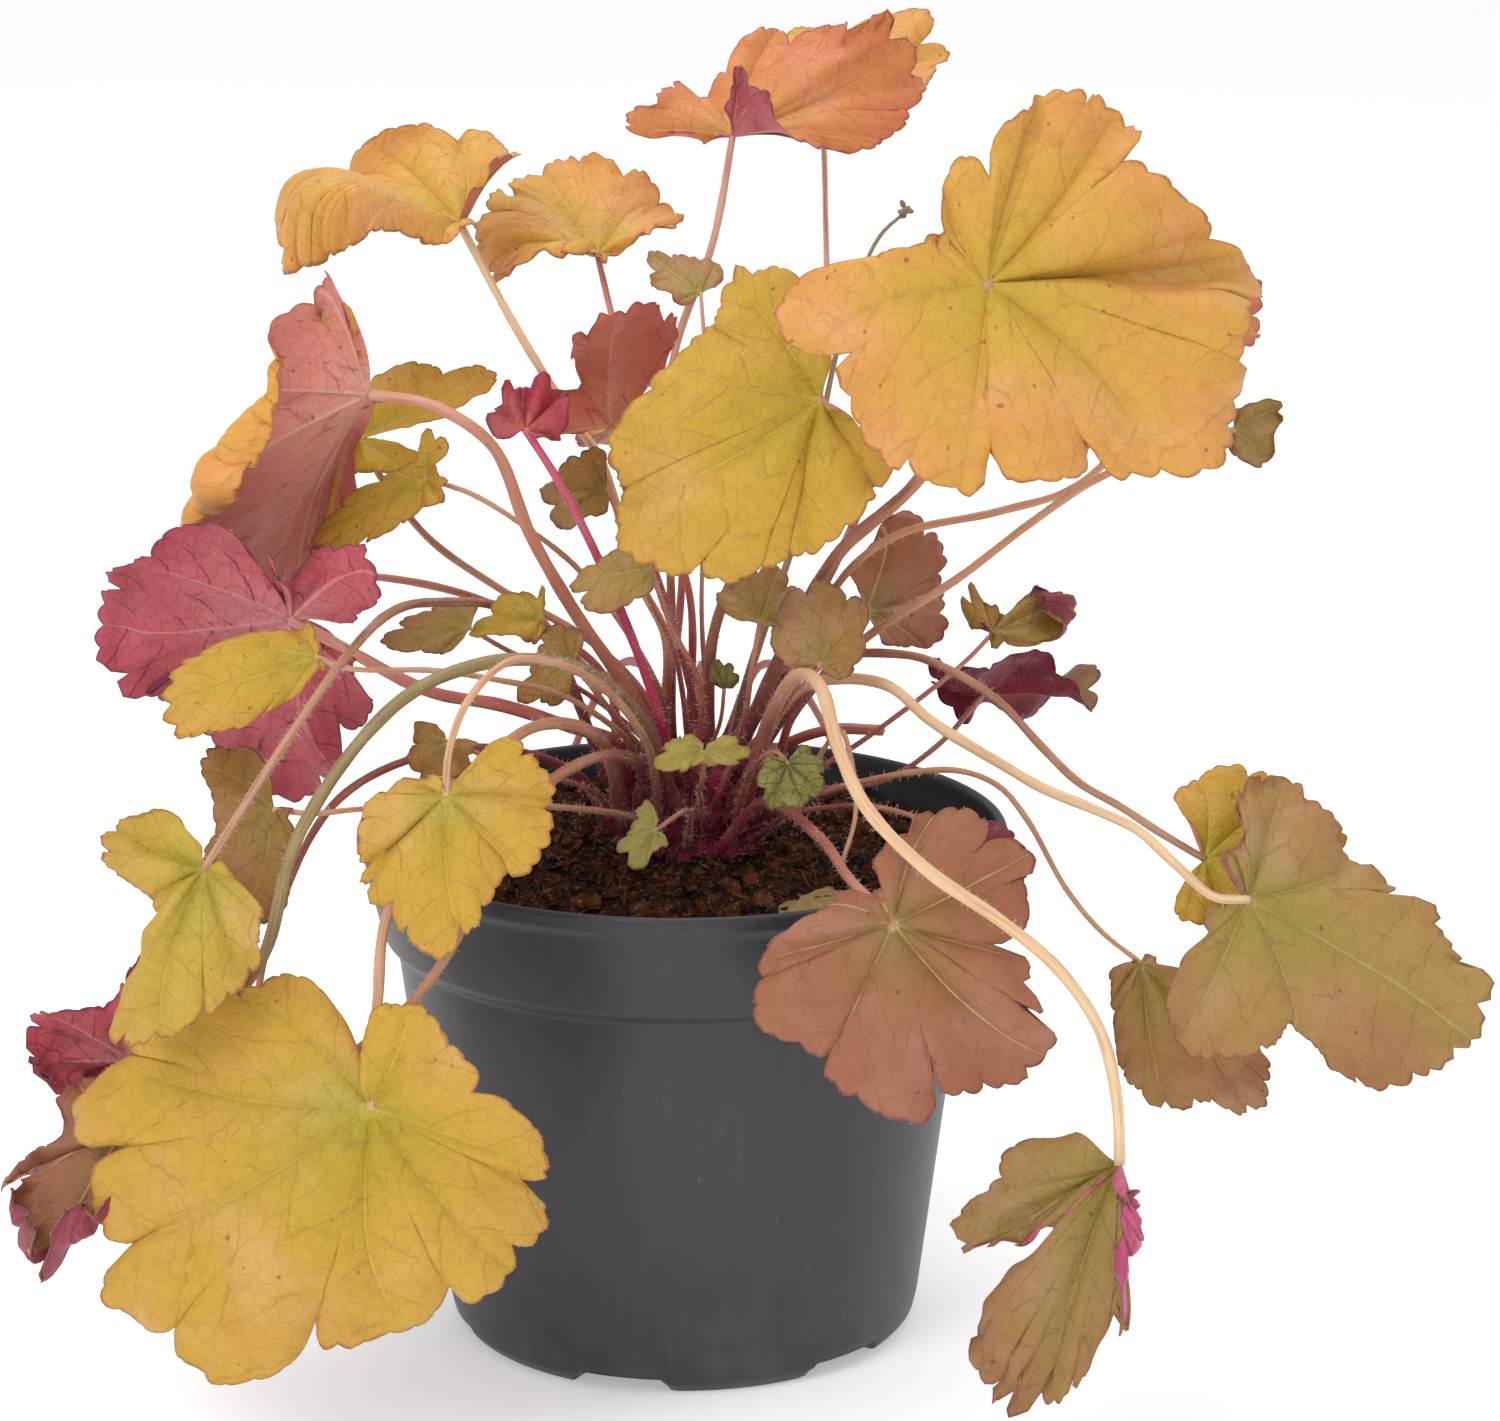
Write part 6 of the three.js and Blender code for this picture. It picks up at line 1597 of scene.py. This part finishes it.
def random_turns(rng: Random, count: int, tilt: float = 3.0) -> Array:
    """Turns as matrices: any way round upright, tilted by a random amount."""
    upright = rng.uniform(0, TURN, count)
    lean = rng.normal(0, tilt, count)
    nil, one = np.zeros(count), np.ones(count)
    (c, s), (d, t) = ((np.cos(angle), np.sin(angle)) for angle in (upright, lean))
    about = np.array([[c, -s, nil], [s, c, nil], [nil, nil, one]])
    over = np.array([[one, nil, nil], [nil, d, -t], [nil, t, d]])
    return np.einsum("ijn,jkn->nik", about, over)


@dataclass
class Crown(Piece):
    """The woody crown: a knobbly hairy dome with papery scales and young buds round the stalks."""

    radius: float = 19.0
    rise: float = 25.0
    root: float = 11.0
    columns: int = 120
    rows: int = 60
    scales: int = 74
    buds: int = 16
    scale_size: tuple[tuple[float, float], ...] = ((5, 9), (1.2, 2.6))
    bud_size: tuple[tuple[float, float], ...] = ((9, 13), (1.6, 2.8))
    hair_count: int = 1500
    half: tuple[float, float] = (0.12, -0.12)
    scale_rows: int = 9
    scale_columns: int = 7
    node, slot, part = "crown", "crown", "dome"
    kinds = (Matt.CROWN_SKIN, Matt.SCALE, Matt.BUD, Matt.HAIR)

    def skin(self, direction: Array) -> Array:
        """Point of the dome in a direction: an ellipsoid with knobs of two sizes."""
        x, y, z = direction[..., 0], direction[..., 1], direction[..., 2]
        knob = 1 + 0.04 * np.sin(7 * x + 2) * np.cos(6 * y) - 0.03 * np.sin(9 * z)
        knob = knob + 0.02 * np.sin(19 * x + 3 * z) * np.sin(17 * y + 9 * z + 1)
        height = np.where(z > 0, self.rise, self.root)
        size = np.stack([self.radius * knob, self.radius * knob, height * knob], axis=-1)
        return CROWN + direction * size

    def dome(self) -> Surface:
        """The dome as rows from its lowest point to its top."""
        low = np.linspace(-np.pi / 2, np.pi / 2, self.rows + 2)[1:-1]
        direction = turned(np.stack([np.cos(low), np.sin(low)], axis=1), self.columns)
        poles = self.skin(np.array([[0, 0, -1.0], [0, 0, 1.0]]))
        return closed_turn(self.skin(direction), *map(tuple, poles))

    def scale(self, rng: Random, length: float, width: float, finish: int) -> Surface:
        """A pointed scale on the dome: its width swells and narrows, and it curls out at its tip.

        Args:
            rng: Where its place comes from.
            length, width: Its size.
            finish: Number of its finish.

        Returns:
            The scale, closed, a quarter of a millimetre thick.
        """
        angle, z = rng.uniform(0, TURN), rng.uniform(0.12, 0.95)
        out = np.array([np.cos(angle) * (1 - z * z) ** 0.5, np.sin(angle) * (1 - z * z) ** 0.5, z])
        up = unit(np.array([0, 0, 1.0]) + 0.5 * out + rng.normal(0, 0.25, 3))
        side = unit(np.cross(up, out))
        foot = self.skin(out) - out * 1.5
        rows, columns = self.scale_rows, self.scale_columns
        u, v = np.meshgrid(np.linspace(0, 1, rows), np.linspace(-1, 1, columns), indexing="ij")
        wide = width * np.sin(np.pi * np.clip(u * 0.9 + 0.12, 0, 1)) ** 0.8
        bow = 0.3 * width * (1 - v * v) * np.sin(np.pi * u) + 0.35 * length * u * u
        sheet = foot + (u * length)[..., None] * up + (v * wide)[..., None] * side
        sheet = (sheet + bow[..., None] * out).transpose(1, 0, 2)
        points = np.concatenate([(sheet + part * out).reshape(-1, 3) for part in self.half])
        quads, count = sheet_faces(columns, rows), columns * rows
        grid = np.arange(count).reshape(columns, rows)
        border = np.concatenate([grid[0, :-1], grid[:-1, -1], grid[-1, :0:-1], grid[:0:-1, 0]])
        faces = [Faces(quads, finish), Faces(quads[:, ::-1] + count, finish)]
        faces.append(Faces(rim_faces(border, count), finish, smooth=False))
        return Surface(points, faces)

    def surfaces(self) -> list[Surface]:
        """The dome with its scales, buds and hairs."""
        rng = np.random.default_rng(SEED + ON_CROWN)
        surfaces = [self.dome()]
        grown = [(1, self.scale_size)] * self.scales + [(2, self.bud_size)] * self.buds
        for finish, (lengths, widths) in grown:
            size = rng.uniform(*lengths), rng.uniform(*widths)
            surfaces.append(self.scale(rng, *size, finish))
        count = self.hair_count
        angle, z = rng.uniform(0, TURN, count), rng.uniform(0, 1, count)
        flat = np.sqrt(1 - z * z)
        out = np.stack([np.cos(angle) * flat, np.sin(angle) * flat, z], axis=1)
        lean = unit(out + rng.normal(0, 0.35, (count, 3)))
        return surfaces + [hairs(self.skin(out) - out * 0.2, lean, rng, CROWN_HAIR, 3)]


# ------------------------------------------------------------------ stems without a leaf
@dataclass
class BareStem(Piece):
    """A stem with no leaf: its node, looks, route and shape, and the number of its draws."""

    node: str
    slot: str
    stem: Stem
    radius: float
    size: Size
    index: int
    via: tuple[Point, ...]
    taper: tuple[float, ...] = TAPER
    seeds: int = 0
    part = "bar"

    def surfaces(self) -> list[Surface]:
        """The stem, with the small dry capsules of a flower head if it has one."""
        rng = np.random.default_rng(SEED + ON_STEMS + self.index)
        tube = Stalk(self.node, self.via, self.radius, self.size, self.taper).tube(0)
        surfaces = [tube.surface(rng.uniform(-1, 1))]
        surfaces.append(hairs(*tube.feet(rng, int(tube.far[-1])), rng, STEM_HAIR, 1))
        return surfaces + [self.capsule(rng) for _ in range(self.seeds)]

    def materials(self, finishes: "Finishes") -> list[Material]:
        """Stem and hairs."""
        return [finishes.stalk(self.stem), finishes.matt(Matt.HAIR)]

    def capsule(self, rng: Random) -> Surface:
        """One dry capsule near the stem's end: a spindle round a short random line."""
        out = unit(rng.normal(size=3) + [0, 0, 0.6])
        start = np.array(self.via[-1], float) + out * 0.2 + rng.normal(0, 0.5, 3)
        line = start + out * np.linspace(0, rng.uniform(1.6, 2.9), 7)[:, None]
        far = np.linalg.norm(line - line[0], axis=1)
        radii = 0.15 + 0.65 * np.sin(np.pi * np.linspace(0.05, 0.85, 7)) ** 1.3
        bend = 0.02 * np.array([[0, 1, 0]]) * np.arange(7)[:, None] ** 2
        return Tube(line + bend, far, radii, 8).surface()


STEMS = (
    BareStem(
        "dried_flower_stem", "straw", Stem.DRY, 1.0, SMALL, 0,
        ((16, 16, 166), (31, 36, 208), (43, 56, 258), (52, 62, 279), (59, 66, 285)),
        (1.5, 1.0, 0.8, 0.45), 9,
    ),
    BareStem(
        "cut_stalk", "burgundy", Stem.ROSE, 1.5, MEDIUM, 1,
        ((24, 8, 152), (38, 3, 159), (52, -1, 160)), (1.25, 1.0, 0.95, 1.0),
    ),
    BareStem(
        "dry_hoop", "straw", Stem.TAN, 0.8, SMALL, 2,
        ((30, -26, 152), (40, -38, 170), (42, -44, 168), (44, -50, 152), (40, -54, 138)),
    ),
)


# ------------------------------------------------------------------ finishes as node trees
def colour(text: str) -> tuple[float, float, float, float]:
    """A hex colour as linear red, green, blue and alpha."""
    part = np.array([int(text[i : i + 2], 16) for i in (1, 3, 5)]) / 255
    linear = np.where(part <= 0.04045, part / 12.92, ((part + 0.055) / 1.055) ** 2.4)
    return (*linear.tolist(), 1.0)


class Nodes:
    """A short way to lay out the nodes of a tree. A value may be a number or another's output."""

    def __init__(self, tree: bpy.types.NodeTree) -> None:
        """Works on a tree."""
        self.tree = tree

    def add(self, kind: str, values: dict | None = None, **settings) -> bpy.types.Node:
        """Adds a node of a kind, with its settings, and sets or links its inputs."""
        node = self.tree.nodes.new(f"ShaderNode{kind}")
        for title, value in settings.items():
            setattr(node, title, value)
        self.fill(node, values or {})
        return node

    def fill(self, node: bpy.types.Node, values: dict) -> None:
        """Sets or links a node's inputs, each by its name or number."""
        for title, value in values.items():
            self.put(node.inputs[title], value)

    def put(self, socket: Socket, value: object) -> None:
        """Links a socket to an output, or sets its own value."""
        if isinstance(value, Socket):
            self.tree.links.new(value, socket)
        else:
            socket.default_value = value

    def math(self, action: str, a: object, b: object = 0.0) -> Socket:
        """A sum on two values."""
        return self.add("Math", {0: a, 1: b}, operation=action).outputs[0]

    def times(self, a: object, b: object) -> Socket:
        """Two values multiplied."""
        return self.math("MULTIPLY", a, b)

    def plus(self, first: object, *rest: tuple[object, float]) -> Socket:
        """A value, plus each of the others times its weight."""
        for value, weight in rest:
            first = self.math("ADD", first, self.times(value, weight))
        return first

    def about(self, value: object) -> Socket:
        """How far a noise of 0 to 1 is over its middle."""
        return self.math("SUBTRACT", value, 0.5)

    def ease(self, value: object, low: float, high: float) -> Socket:
        """0 at low and 1 at high, smoothly. High may be below low."""
        ends = {"Value": value, "From Min": min(low, high), "From Max": max(low, high)}
        if low > high:
            ends |= {"To Min": 1.0, "To Max": 0.0}
        return self.add("MapRange", ends, interpolation_type="SMOOTHSTEP").outputs[0]

    def mix(self, share: object, a: object, b: object, blend: str = "MIX") -> Socket:
        """Two colours mixed by a share."""
        node = self.add("Mix", data_type="RGBA", blend_type=blend)
        self.fill(node, {0: share, 6: a, 7: b})
        return node.outputs[2]

    def layer(
        self, under: object, over: object, mask: object, share: float
    ) -> Socket:
        """A colour laid over another by a share of a mask."""
        return self.mix(self.times(mask, share), under, over)

    def noise(self, at: object, scale: float, detail: float = 2.0) -> Socket:
        """Soft noise of about 0 to 1."""
        values = {"Vector": at, "Scale": scale, "Detail": detail}
        return self.add("TexNoise", values).outputs[0]

    def cells(self, at: object, scale: float) -> Socket:
        """Distance to the nearest wall of random cells."""
        values = {"Vector": at, "Scale": scale}
        return self.add("TexVoronoi", values, feature="DISTANCE_TO_EDGE").outputs[0]

    def stretched(self, at: object, scale: Point) -> Socket:
        """A place scaled along each axis."""
        return self.add("Mapping", {"Vector": at, "Scale": scale}).outputs[0]

    def split(self, vector: object) -> list[Socket]:
        """The three parts of a vector."""
        return list(self.add("SeparateXYZ", {0: vector}).outputs)


def shader_group(title: str, vectors: str, colours: str, numbers: str) -> tuple:
    """A new shader node group that gives a colour, a height and a roughness.

    Args:
        title: Its name.
        vectors, colours, numbers: Names of its inputs of each kind.

    Returns:
        The tree, the nodes to lay out in it, its inputs by name, and what to link its outputs to.
    """
    tree = bpy.data.node_groups.new(title, "ShaderNodeTree")
    sockets = [(name, "INPUT", "Vector") for name in vectors.split()]
    sockets += [(name, "INPUT", "Color") for name in colours.split()]
    sockets += [(name, "INPUT", "Float") for name in numbers.split()]
    sockets += [("Colour", "OUTPUT", "Color")]
    sockets += [(name, "OUTPUT", "Float") for name in ("Height", "Roughness")]
    for name, way, kind in sockets:
        tree.interface.new_socket(name=name, in_out=way, socket_type=f"NodeSocket{kind}")
    inside = tree.nodes.new("NodeGroupInput")
    outside = tree.nodes.new("NodeGroupOutput")
    return tree, Nodes(tree), inside.outputs, outside.inputs


DARKER_AND_VEIN_SHADE = (0.72, 0.66, 0.55, 1)  # what a colour is multiplied by: for darker random patches, and for the painted shade beside the main veins
LIGHTER = (0.55, 0.5, 0.35, 1)  # what a blade's colour is screened with, here and below
PALER_STALK = (0.25, 0.22, 0.16, 1)
PALER_MATT = (0.3, 0.27, 0.22, 1)
BROAD, MID, FINE, SPOT = 0.032, 0.17, 1.3, 0.45  # a blade's noises, in turns to the millimetre
NET, MESH = 0.24, 0.62  # its two nets of small veins, in cells to the millimetre


def blade_group() -> bpy.types.NodeTree:
    """Colour, height and roughness of a blade: flush, net of veins, main veins with painted shade
    along their grooves, and edge.
    """
    tree, n, take, give = shader_group(
        "blade_skin", "Flat Veins Facts", "Heart Blade Blush Edge Vein Rib", "Net Flush Relief"
    )
    share, inset, tone = n.split(take["Facts"])
    number, off, _ = n.split(take["Veins"])
    off = n.math("ABSOLUTE", off)
    broad = n.noise(take["Flat"], BROAD, 3)
    mid = n.noise(take["Flat"], MID, 4)
    fine = n.noise(take["Flat"], FINE, 3)
    # distances to the side and main veins, made to wander
    side = n.math("PINGPONG", n.plus(number, (n.about(mid), 0.5)), 0.5)
    side = n.times(n.ease(side, 0.05, 0.008), n.ease(mid, 0.25, 0.6))
    rib = n.math("DIVIDE", n.plus(off, (n.about(mid), 0.5)), n.plus(1.0, (share, -0.75)))
    bent = n.add("TexNoise", {"Vector": take["Flat"], "Scale": 0.25}).outputs[1]
    bent = n.add("VectorMath", {0: bent, "Scale": 5.0}, operation="SCALE").outputs[0]
    warp = n.add("VectorMath", {0: take["Flat"], 1: bent}, operation="ADD").outputs[0]
    net = n.ease(n.cells(warp, NET), 0.075, 0.008)
    mesh = n.ease(n.cells(warp, MESH), 0.11, 0.01)
    # colours, from the heart outwards
    tinted = n.mix(n.ease(share, 0.0, 0.6), take["Heart"], take["Blade"])
    reach = n.plus(share, (n.about(broad), 2.4), (tone, 0.22), (n.ease(off, 0.5, 9.0), 0.25))
    tinted = n.layer(tinted, take["Blush"], n.ease(reach, 0.45, 1.45), take["Flush"])
    # a darker copy of the colour, used for random dark patches and for the painted shade beside
    # the main veins
    deep = n.mix(1.0, tinted, DARKER_AND_VEIN_SHADE, "MULTIPLY")
    tinted = n.layer(tinted, deep, n.ease(mid, 0.45, 0.8), 0.35)
    light = n.mix(1.0, tinted, LIGHTER, "SCREEN")
    tinted = n.layer(tinted, light, n.ease(broad, 0.5, 0.75), 0.16)
    # painted shade: the colour is darkened within a few millimetres of each main vein, in the
    # groove where it lies
    tinted = n.layer(tinted, deep, n.ease(rib, 5.0, 0.3), 0.16)
    lines = n.math("MAXIMUM", n.times(net, 0.35), n.times(mesh, 0.15))
    tinted = n.layer(tinted, take["Vein"], n.math("MAXIMUM", lines, side), take["Net"])
    tinted = n.layer(tinted, take["Rib"], n.ease(rib, 0.65, 0.15), 0.45)
    rim = n.times(n.ease(n.plus(inset, (n.about(mid), 3.2)), 1.1, 0.0), 0.5)
    rim = n.math("MAXIMUM", rim, n.times(n.ease(inset, 0.25, 0.0), 0.6))
    tinted = n.mix(rim, tinted, take["Edge"])
    spots = n.ease(n.noise(take["Flat"], SPOT, 0), 0.8, 0.86)
    n.put(give["Colour"], n.layer(tinted, take["Edge"], spots, 0.6))
    cut = n.plus(n.times(side, 0.35), (net, 0.3), (n.ease(rib, 1.1, 0.1), 0.35), (mesh, 0.1))
    height = n.times(n.times(cut, -1.0), take["Relief"])
    n.put(give["Height"], n.plus(height, (fine, 0.25), (mid, 0.5)))
    n.put(give["Roughness"], n.plus(0.34, (mid, 0.3)))
    return tree


def stalk_group() -> bpy.types.NodeTree:
    """Colour and height of a stalk: from foot to tip, with long streaks and a fine grain."""
    tree, n, take, give = shader_group("stalk_skin", "Flat Facts", "Foot Middle Tip Streak", "")
    run, _, tone = n.split(take["Facts"])
    shifted = n.plus(run, (tone, 0.06))
    tinted = n.mix(n.ease(shifted, 0.02, 0.42), take["Foot"], take["Middle"])
    tinted = n.mix(n.ease(shifted, 0.5, 1.0), tinted, take["Tip"])
    drawn = n.noise(n.stretched(take["Flat"], (0.05, 0.9, 1)), 1.0, 3)
    patch = n.noise(take["Flat"], 0.09, 2)
    grain = n.noise(n.stretched(take["Flat"], (0.5, 2.2, 1)), 1.0, 2)
    tinted = n.layer(tinted, take["Streak"], n.ease(drawn, 0.48, 0.68), 0.6)
    pale = n.mix(1.0, tinted, PALER_STALK, "SCREEN")
    tinted = n.layer(tinted, pale, n.ease(patch, 0.45, 0.7), 0.3)
    n.put(give["Colour"], n.layer(tinted, pale, n.ease(grain, 0.6, 0.8), 0.2))
    n.put(give["Height"], n.plus(drawn, (grain, 0.4)))
    n.put(give["Roughness"], n.plus(0.38, (grain, 0.25)))
    return tree


BLADE_BUMP, STALK_BUMP, POT_BUMP = 0.28, 0.12, 0.035  # millimetres deep
BLADE_SHINE = {"Specular IOR Level": 0.32, "Sheen Weight": 0.08, "Sheen Roughness": 0.4}
STALK_SHINE = {"Specular IOR Level": 0.35, "Sheen Weight": 0.04}
MATT_SHINE, POT_SHINE = {"Specular IOR Level": 0.2}, {"Specular IOR Level": 0.4}
PLASTIC, PLASTIC_LIGHT, DRAWN = "#303035", "#3a3a40", "#4b4b52"
SCUFF, DUST = "#77777c", "#6a625a"


class Finishes:
    """Every material of the piece, each made once."""

    def __init__(self) -> None:
        """Makes the shared groups."""
        self.made: dict[str, Material] = {}
        self.blade_skin = blade_group()
        self.stalk_skin = stalk_group()

    def start(self, title: str, constants: dict) -> tuple[Nodes, bpy.types.Node]:
        """A new material's nodes and its Principled shader, with constants set on it."""
        material = bpy.data.materials.new(title)
        material.use_nodes = True
        self.made[title] = material
        shader = material.node_tree.nodes["Principled BSDF"]
        for name, value in constants.items():
            shader.inputs[name].default_value = value
        return Nodes(material.node_tree), shader

    @staticmethod
    def bump(n: Nodes, shader: bpy.types.Node, height: object, deep: float) -> None:
        """Gives a shader a bump from a height, deep millimetres from low to high."""
        values = {"Height": height, "Distance": deep * MM, "Strength": 1.0}
        n.put(shader.inputs["Normal"], n.add("Bump", values).outputs[0])

    def skinned(
        self, title: str, tree: bpy.types.NodeTree, values: dict, deep: float, constants: dict
    ) -> Material:
        """A material that takes its colour, roughness and bump from a group, made once.

        Args:
            title: The material's name.
            tree: The group.
            values: The group's own inputs: the maps come by themselves, and text is a colour.
            deep: The depth of the bump, in millimetres.
            constants: What is set on the shader, by name.

        Returns:
            The material.
        """
        if title in self.made:
            return self.made[title]
        n, shader = self.start(title, constants)
        maps = {
            "Flat": n.add("UVMap", uv_map="flat").outputs[0],
            "Veins": n.add("UVMap", uv_map="veins").outputs[0],
            "Facts": n.add("Attribute", attribute_name="facts").outputs["Vector"],
        }
        node = n.add("Group", node_tree=tree)
        for name in node.inputs.keys():
            value = maps.get(name) or values[name.lower()]
            n.put(node.inputs[name], colour(value) if isinstance(value, str) else value)
        n.put(shader.inputs["Base Color"], node.outputs["Colour"])
        n.put(shader.inputs["Roughness"], node.outputs["Roughness"])
        self.bump(n, shader, node.outputs["Height"], deep)
        return self.made[title]

    def blade(self, skin: Skin, title: str, relief: float) -> Material:
        """The finish of one face of a blade: relief is 1, or -1 where the veins stand out."""
        values = vars(skin) | {"relief": relief}
        return self.skinned(title.lower(), self.blade_skin, values, BLADE_BUMP, BLADE_SHINE)

    def stalk(self, stem: Stem) -> Material:
        """The finish of one kind of stalk."""
        title, looks = f"stalk_{stem.name.lower()}", vars(stem.value)
        return self.skinned(title, self.stalk_skin, looks, STALK_BUMP, STALK_SHINE)

    def matt(self, kind: Matt) -> Material:
        """A mottled matt finish, on the object's own coordinates."""
        title, mottle = kind.name.lower(), kind.value
        if title in self.made:
            return self.made[title]
        n, shader = self.start(title, MATT_SHINE)
        at = n.add("TexCoord").outputs["Object"]
        coarse = n.noise(at, 1000 / mottle.size, 4)
        fine = n.noise(at, 4200 / mottle.size, 3)
        dark, light = colour(mottle.dark), colour(mottle.light)
        tinted = n.mix(n.ease(coarse, 0.32, 0.68), dark, light)
        speck = n.mix(1.0, tinted, PALER_MATT, "SCREEN")
        tinted = n.layer(tinted, speck, n.ease(fine, 0.56, 0.74), 0.5)
        n.put(shader.inputs["Base Color"], tinted)
        n.put(shader.inputs["Roughness"], n.plus(mottle.rough - 0.1, (fine, 0.2)))
        self.bump(n, shader, n.plus(coarse, (fine, 0.6)), mottle.deep)
        return self.made[title]

    def pot(self) -> Material:
        """Dark moulded plastic: fine grain, upright draw marks, dust near the foot and scuffs."""
        n, shader = self.start("pot_plastic", POT_SHINE)
        at = n.add("TexCoord").outputs["Object"]
        height = n.split(at)[2]
        grain = n.noise(at, 2600, 2)
        cloud = n.noise(at, 22, 3)
        drawn = n.noise(n.stretched(at, (420, 420, 9)), 1.0, 3)
        scuff = n.ease(n.noise(n.stretched(at, (900, 900, 260)), 1.0, 4), 0.66, 0.74)
        scuff = n.times(scuff, n.ease(cloud, 0.5, 0.62))
        dust = n.times(n.ease(height, 0.03, 0.0), n.ease(n.noise(at, 90, 4), 0.4, 0.7))
        tinted = n.mix(cloud, colour(PLASTIC), colour(PLASTIC_LIGHT))
        tinted = n.layer(tinted, colour(DRAWN), n.ease(drawn, 0.5, 0.75), 0.25)
        tinted = n.layer(tinted, colour(SCUFF), scuff, 0.35)
        tinted = n.layer(tinted, colour(DUST), dust, 0.18)
        n.put(shader.inputs["Base Color"], tinted)
        n.put(shader.inputs["Roughness"], n.plus(0.32, (drawn, 0.12), (grain, 0.1), (scuff, 0.15)))
        self.bump(n, shader, n.plus(grain, (drawn, 0.8)), POT_BUMP)
        return self.made["pot_plastic"]

    def floor(self) -> Material:
        """The pale floor."""
        constants = {"Roughness": 0.9, "Specular IOR Level": 0.1}
        constants |= {"Emission Color": (1, 1, 1, 1), "Emission Strength": 0.36}
        n, shader = self.start("pale_floor", constants)
        grain = n.noise(n.add("TexCoord").outputs["Object"], 3, 2)
        tinted = n.mix(grain, (0.9, 0.9, 0.9, 1), (0.93, 0.93, 0.93, 1))
        n.put(shader.inputs["Base Color"], tinted)
        return self.made["pale_floor"]


# ------------------------------------------------------------------ the studio
@dataclass
class Lamp:
    """A soft square lamp: its place and what it points at in metres, its size and its power."""

    name: str
    place: Point
    aim: Point
    size: float
    power: float

    def build(self) -> None:
        """Hangs the lamp."""
        light = bpy.data.lights.new(self.name, "AREA")
        light.size, light.energy = self.size, self.power
        lamp = bpy.data.objects.new(self.name, light)
        bpy.context.scene.collection.objects.link(lamp)
        lamp.location = self.place
        lamp.rotation_euler = look(self.place, self.aim)


def look(place: Point, aim: Point) -> tuple[float, float, float]:
    """The turn of a lamp or camera at a place that faces an aim, with its top up."""
    x, y, z = np.array(aim) - np.array(place)
    return (float(np.arctan2(np.hypot(x, y), -z)), 0.0, float(np.arctan2(-x, y)))


@dataclass
class Studio:
    """The pale floor, soft light and the camera: places in metres, turns in degrees."""

    half_floor: float = 9.0
    place: Point = (0.0176, -1.162, 0.471)
    pitch: float = 14.75
    lens: float = 111.26
    sensor: float = 36.0
    world: float = 0.62
    lamps: tuple[Lamp, ...] = (
        Lamp("key", (-0.9, -1.3, 1.5), (0, 0, 0.15), 0.9, 13),
        Lamp("fill", (0.9, -1.4, 1.1), (0, 0, 0.15), 1.2, 1.5),
        Lamp("top", (0.1, 0.4, 1.9), (0, 0, 0.1), 1.2, 15),
    )

    def build(self, finishes: Finishes) -> None:
        """Sets out the floor, the light and the camera."""
        corners = np.array([(-1, -1, 0), (1, -1, 0), (1, 1, 0), (-1, 1, 0)])
        corners = corners * self.half_floor / MM
        surface = Surface(corners, [Faces(np.array([[0, 1, 2, 3]]))])
        mesh_object("floor", [surface], [finishes.floor()])
        world = bpy.data.worlds.new("soft_room")
        world.use_nodes = True
        back = world.node_tree.nodes["Background"]
        back.inputs["Color"].default_value = (1, 1, 1, 1)
        back.inputs["Strength"].default_value = self.world
        bpy.context.scene.world = world
        for lamp in self.lamps:
            lamp.build()
        camera = bpy.data.objects.new("camera", bpy.data.cameras.new("camera"))
        bpy.context.scene.collection.objects.link(camera)
        camera.location = self.place
        camera.rotation_euler = (np.radians(90 - self.pitch), 0, 0)
        camera.data.lens, camera.data.sensor_width = self.lens, self.sensor
        bpy.context.scene.camera = camera
        bpy.context.scene.view_settings.view_transform = "Standard"


def main() -> None:
    """Builds the studio, then the pot, the compost, the crown and every leaf and stem."""
    logging.basicConfig(level=logging.INFO, format="%(message)s")
    finishes = Finishes()
    Studio().build(finishes)
    leaves = [LeafPiece(leaf, index) for index, leaf in enumerate(LEAVES + FALLEN)]
    for piece in (Pot(), Compost(), Crown(), *leaves, *STEMS):
        piece.build(finishes)


if __name__ == "__main__":
    main()
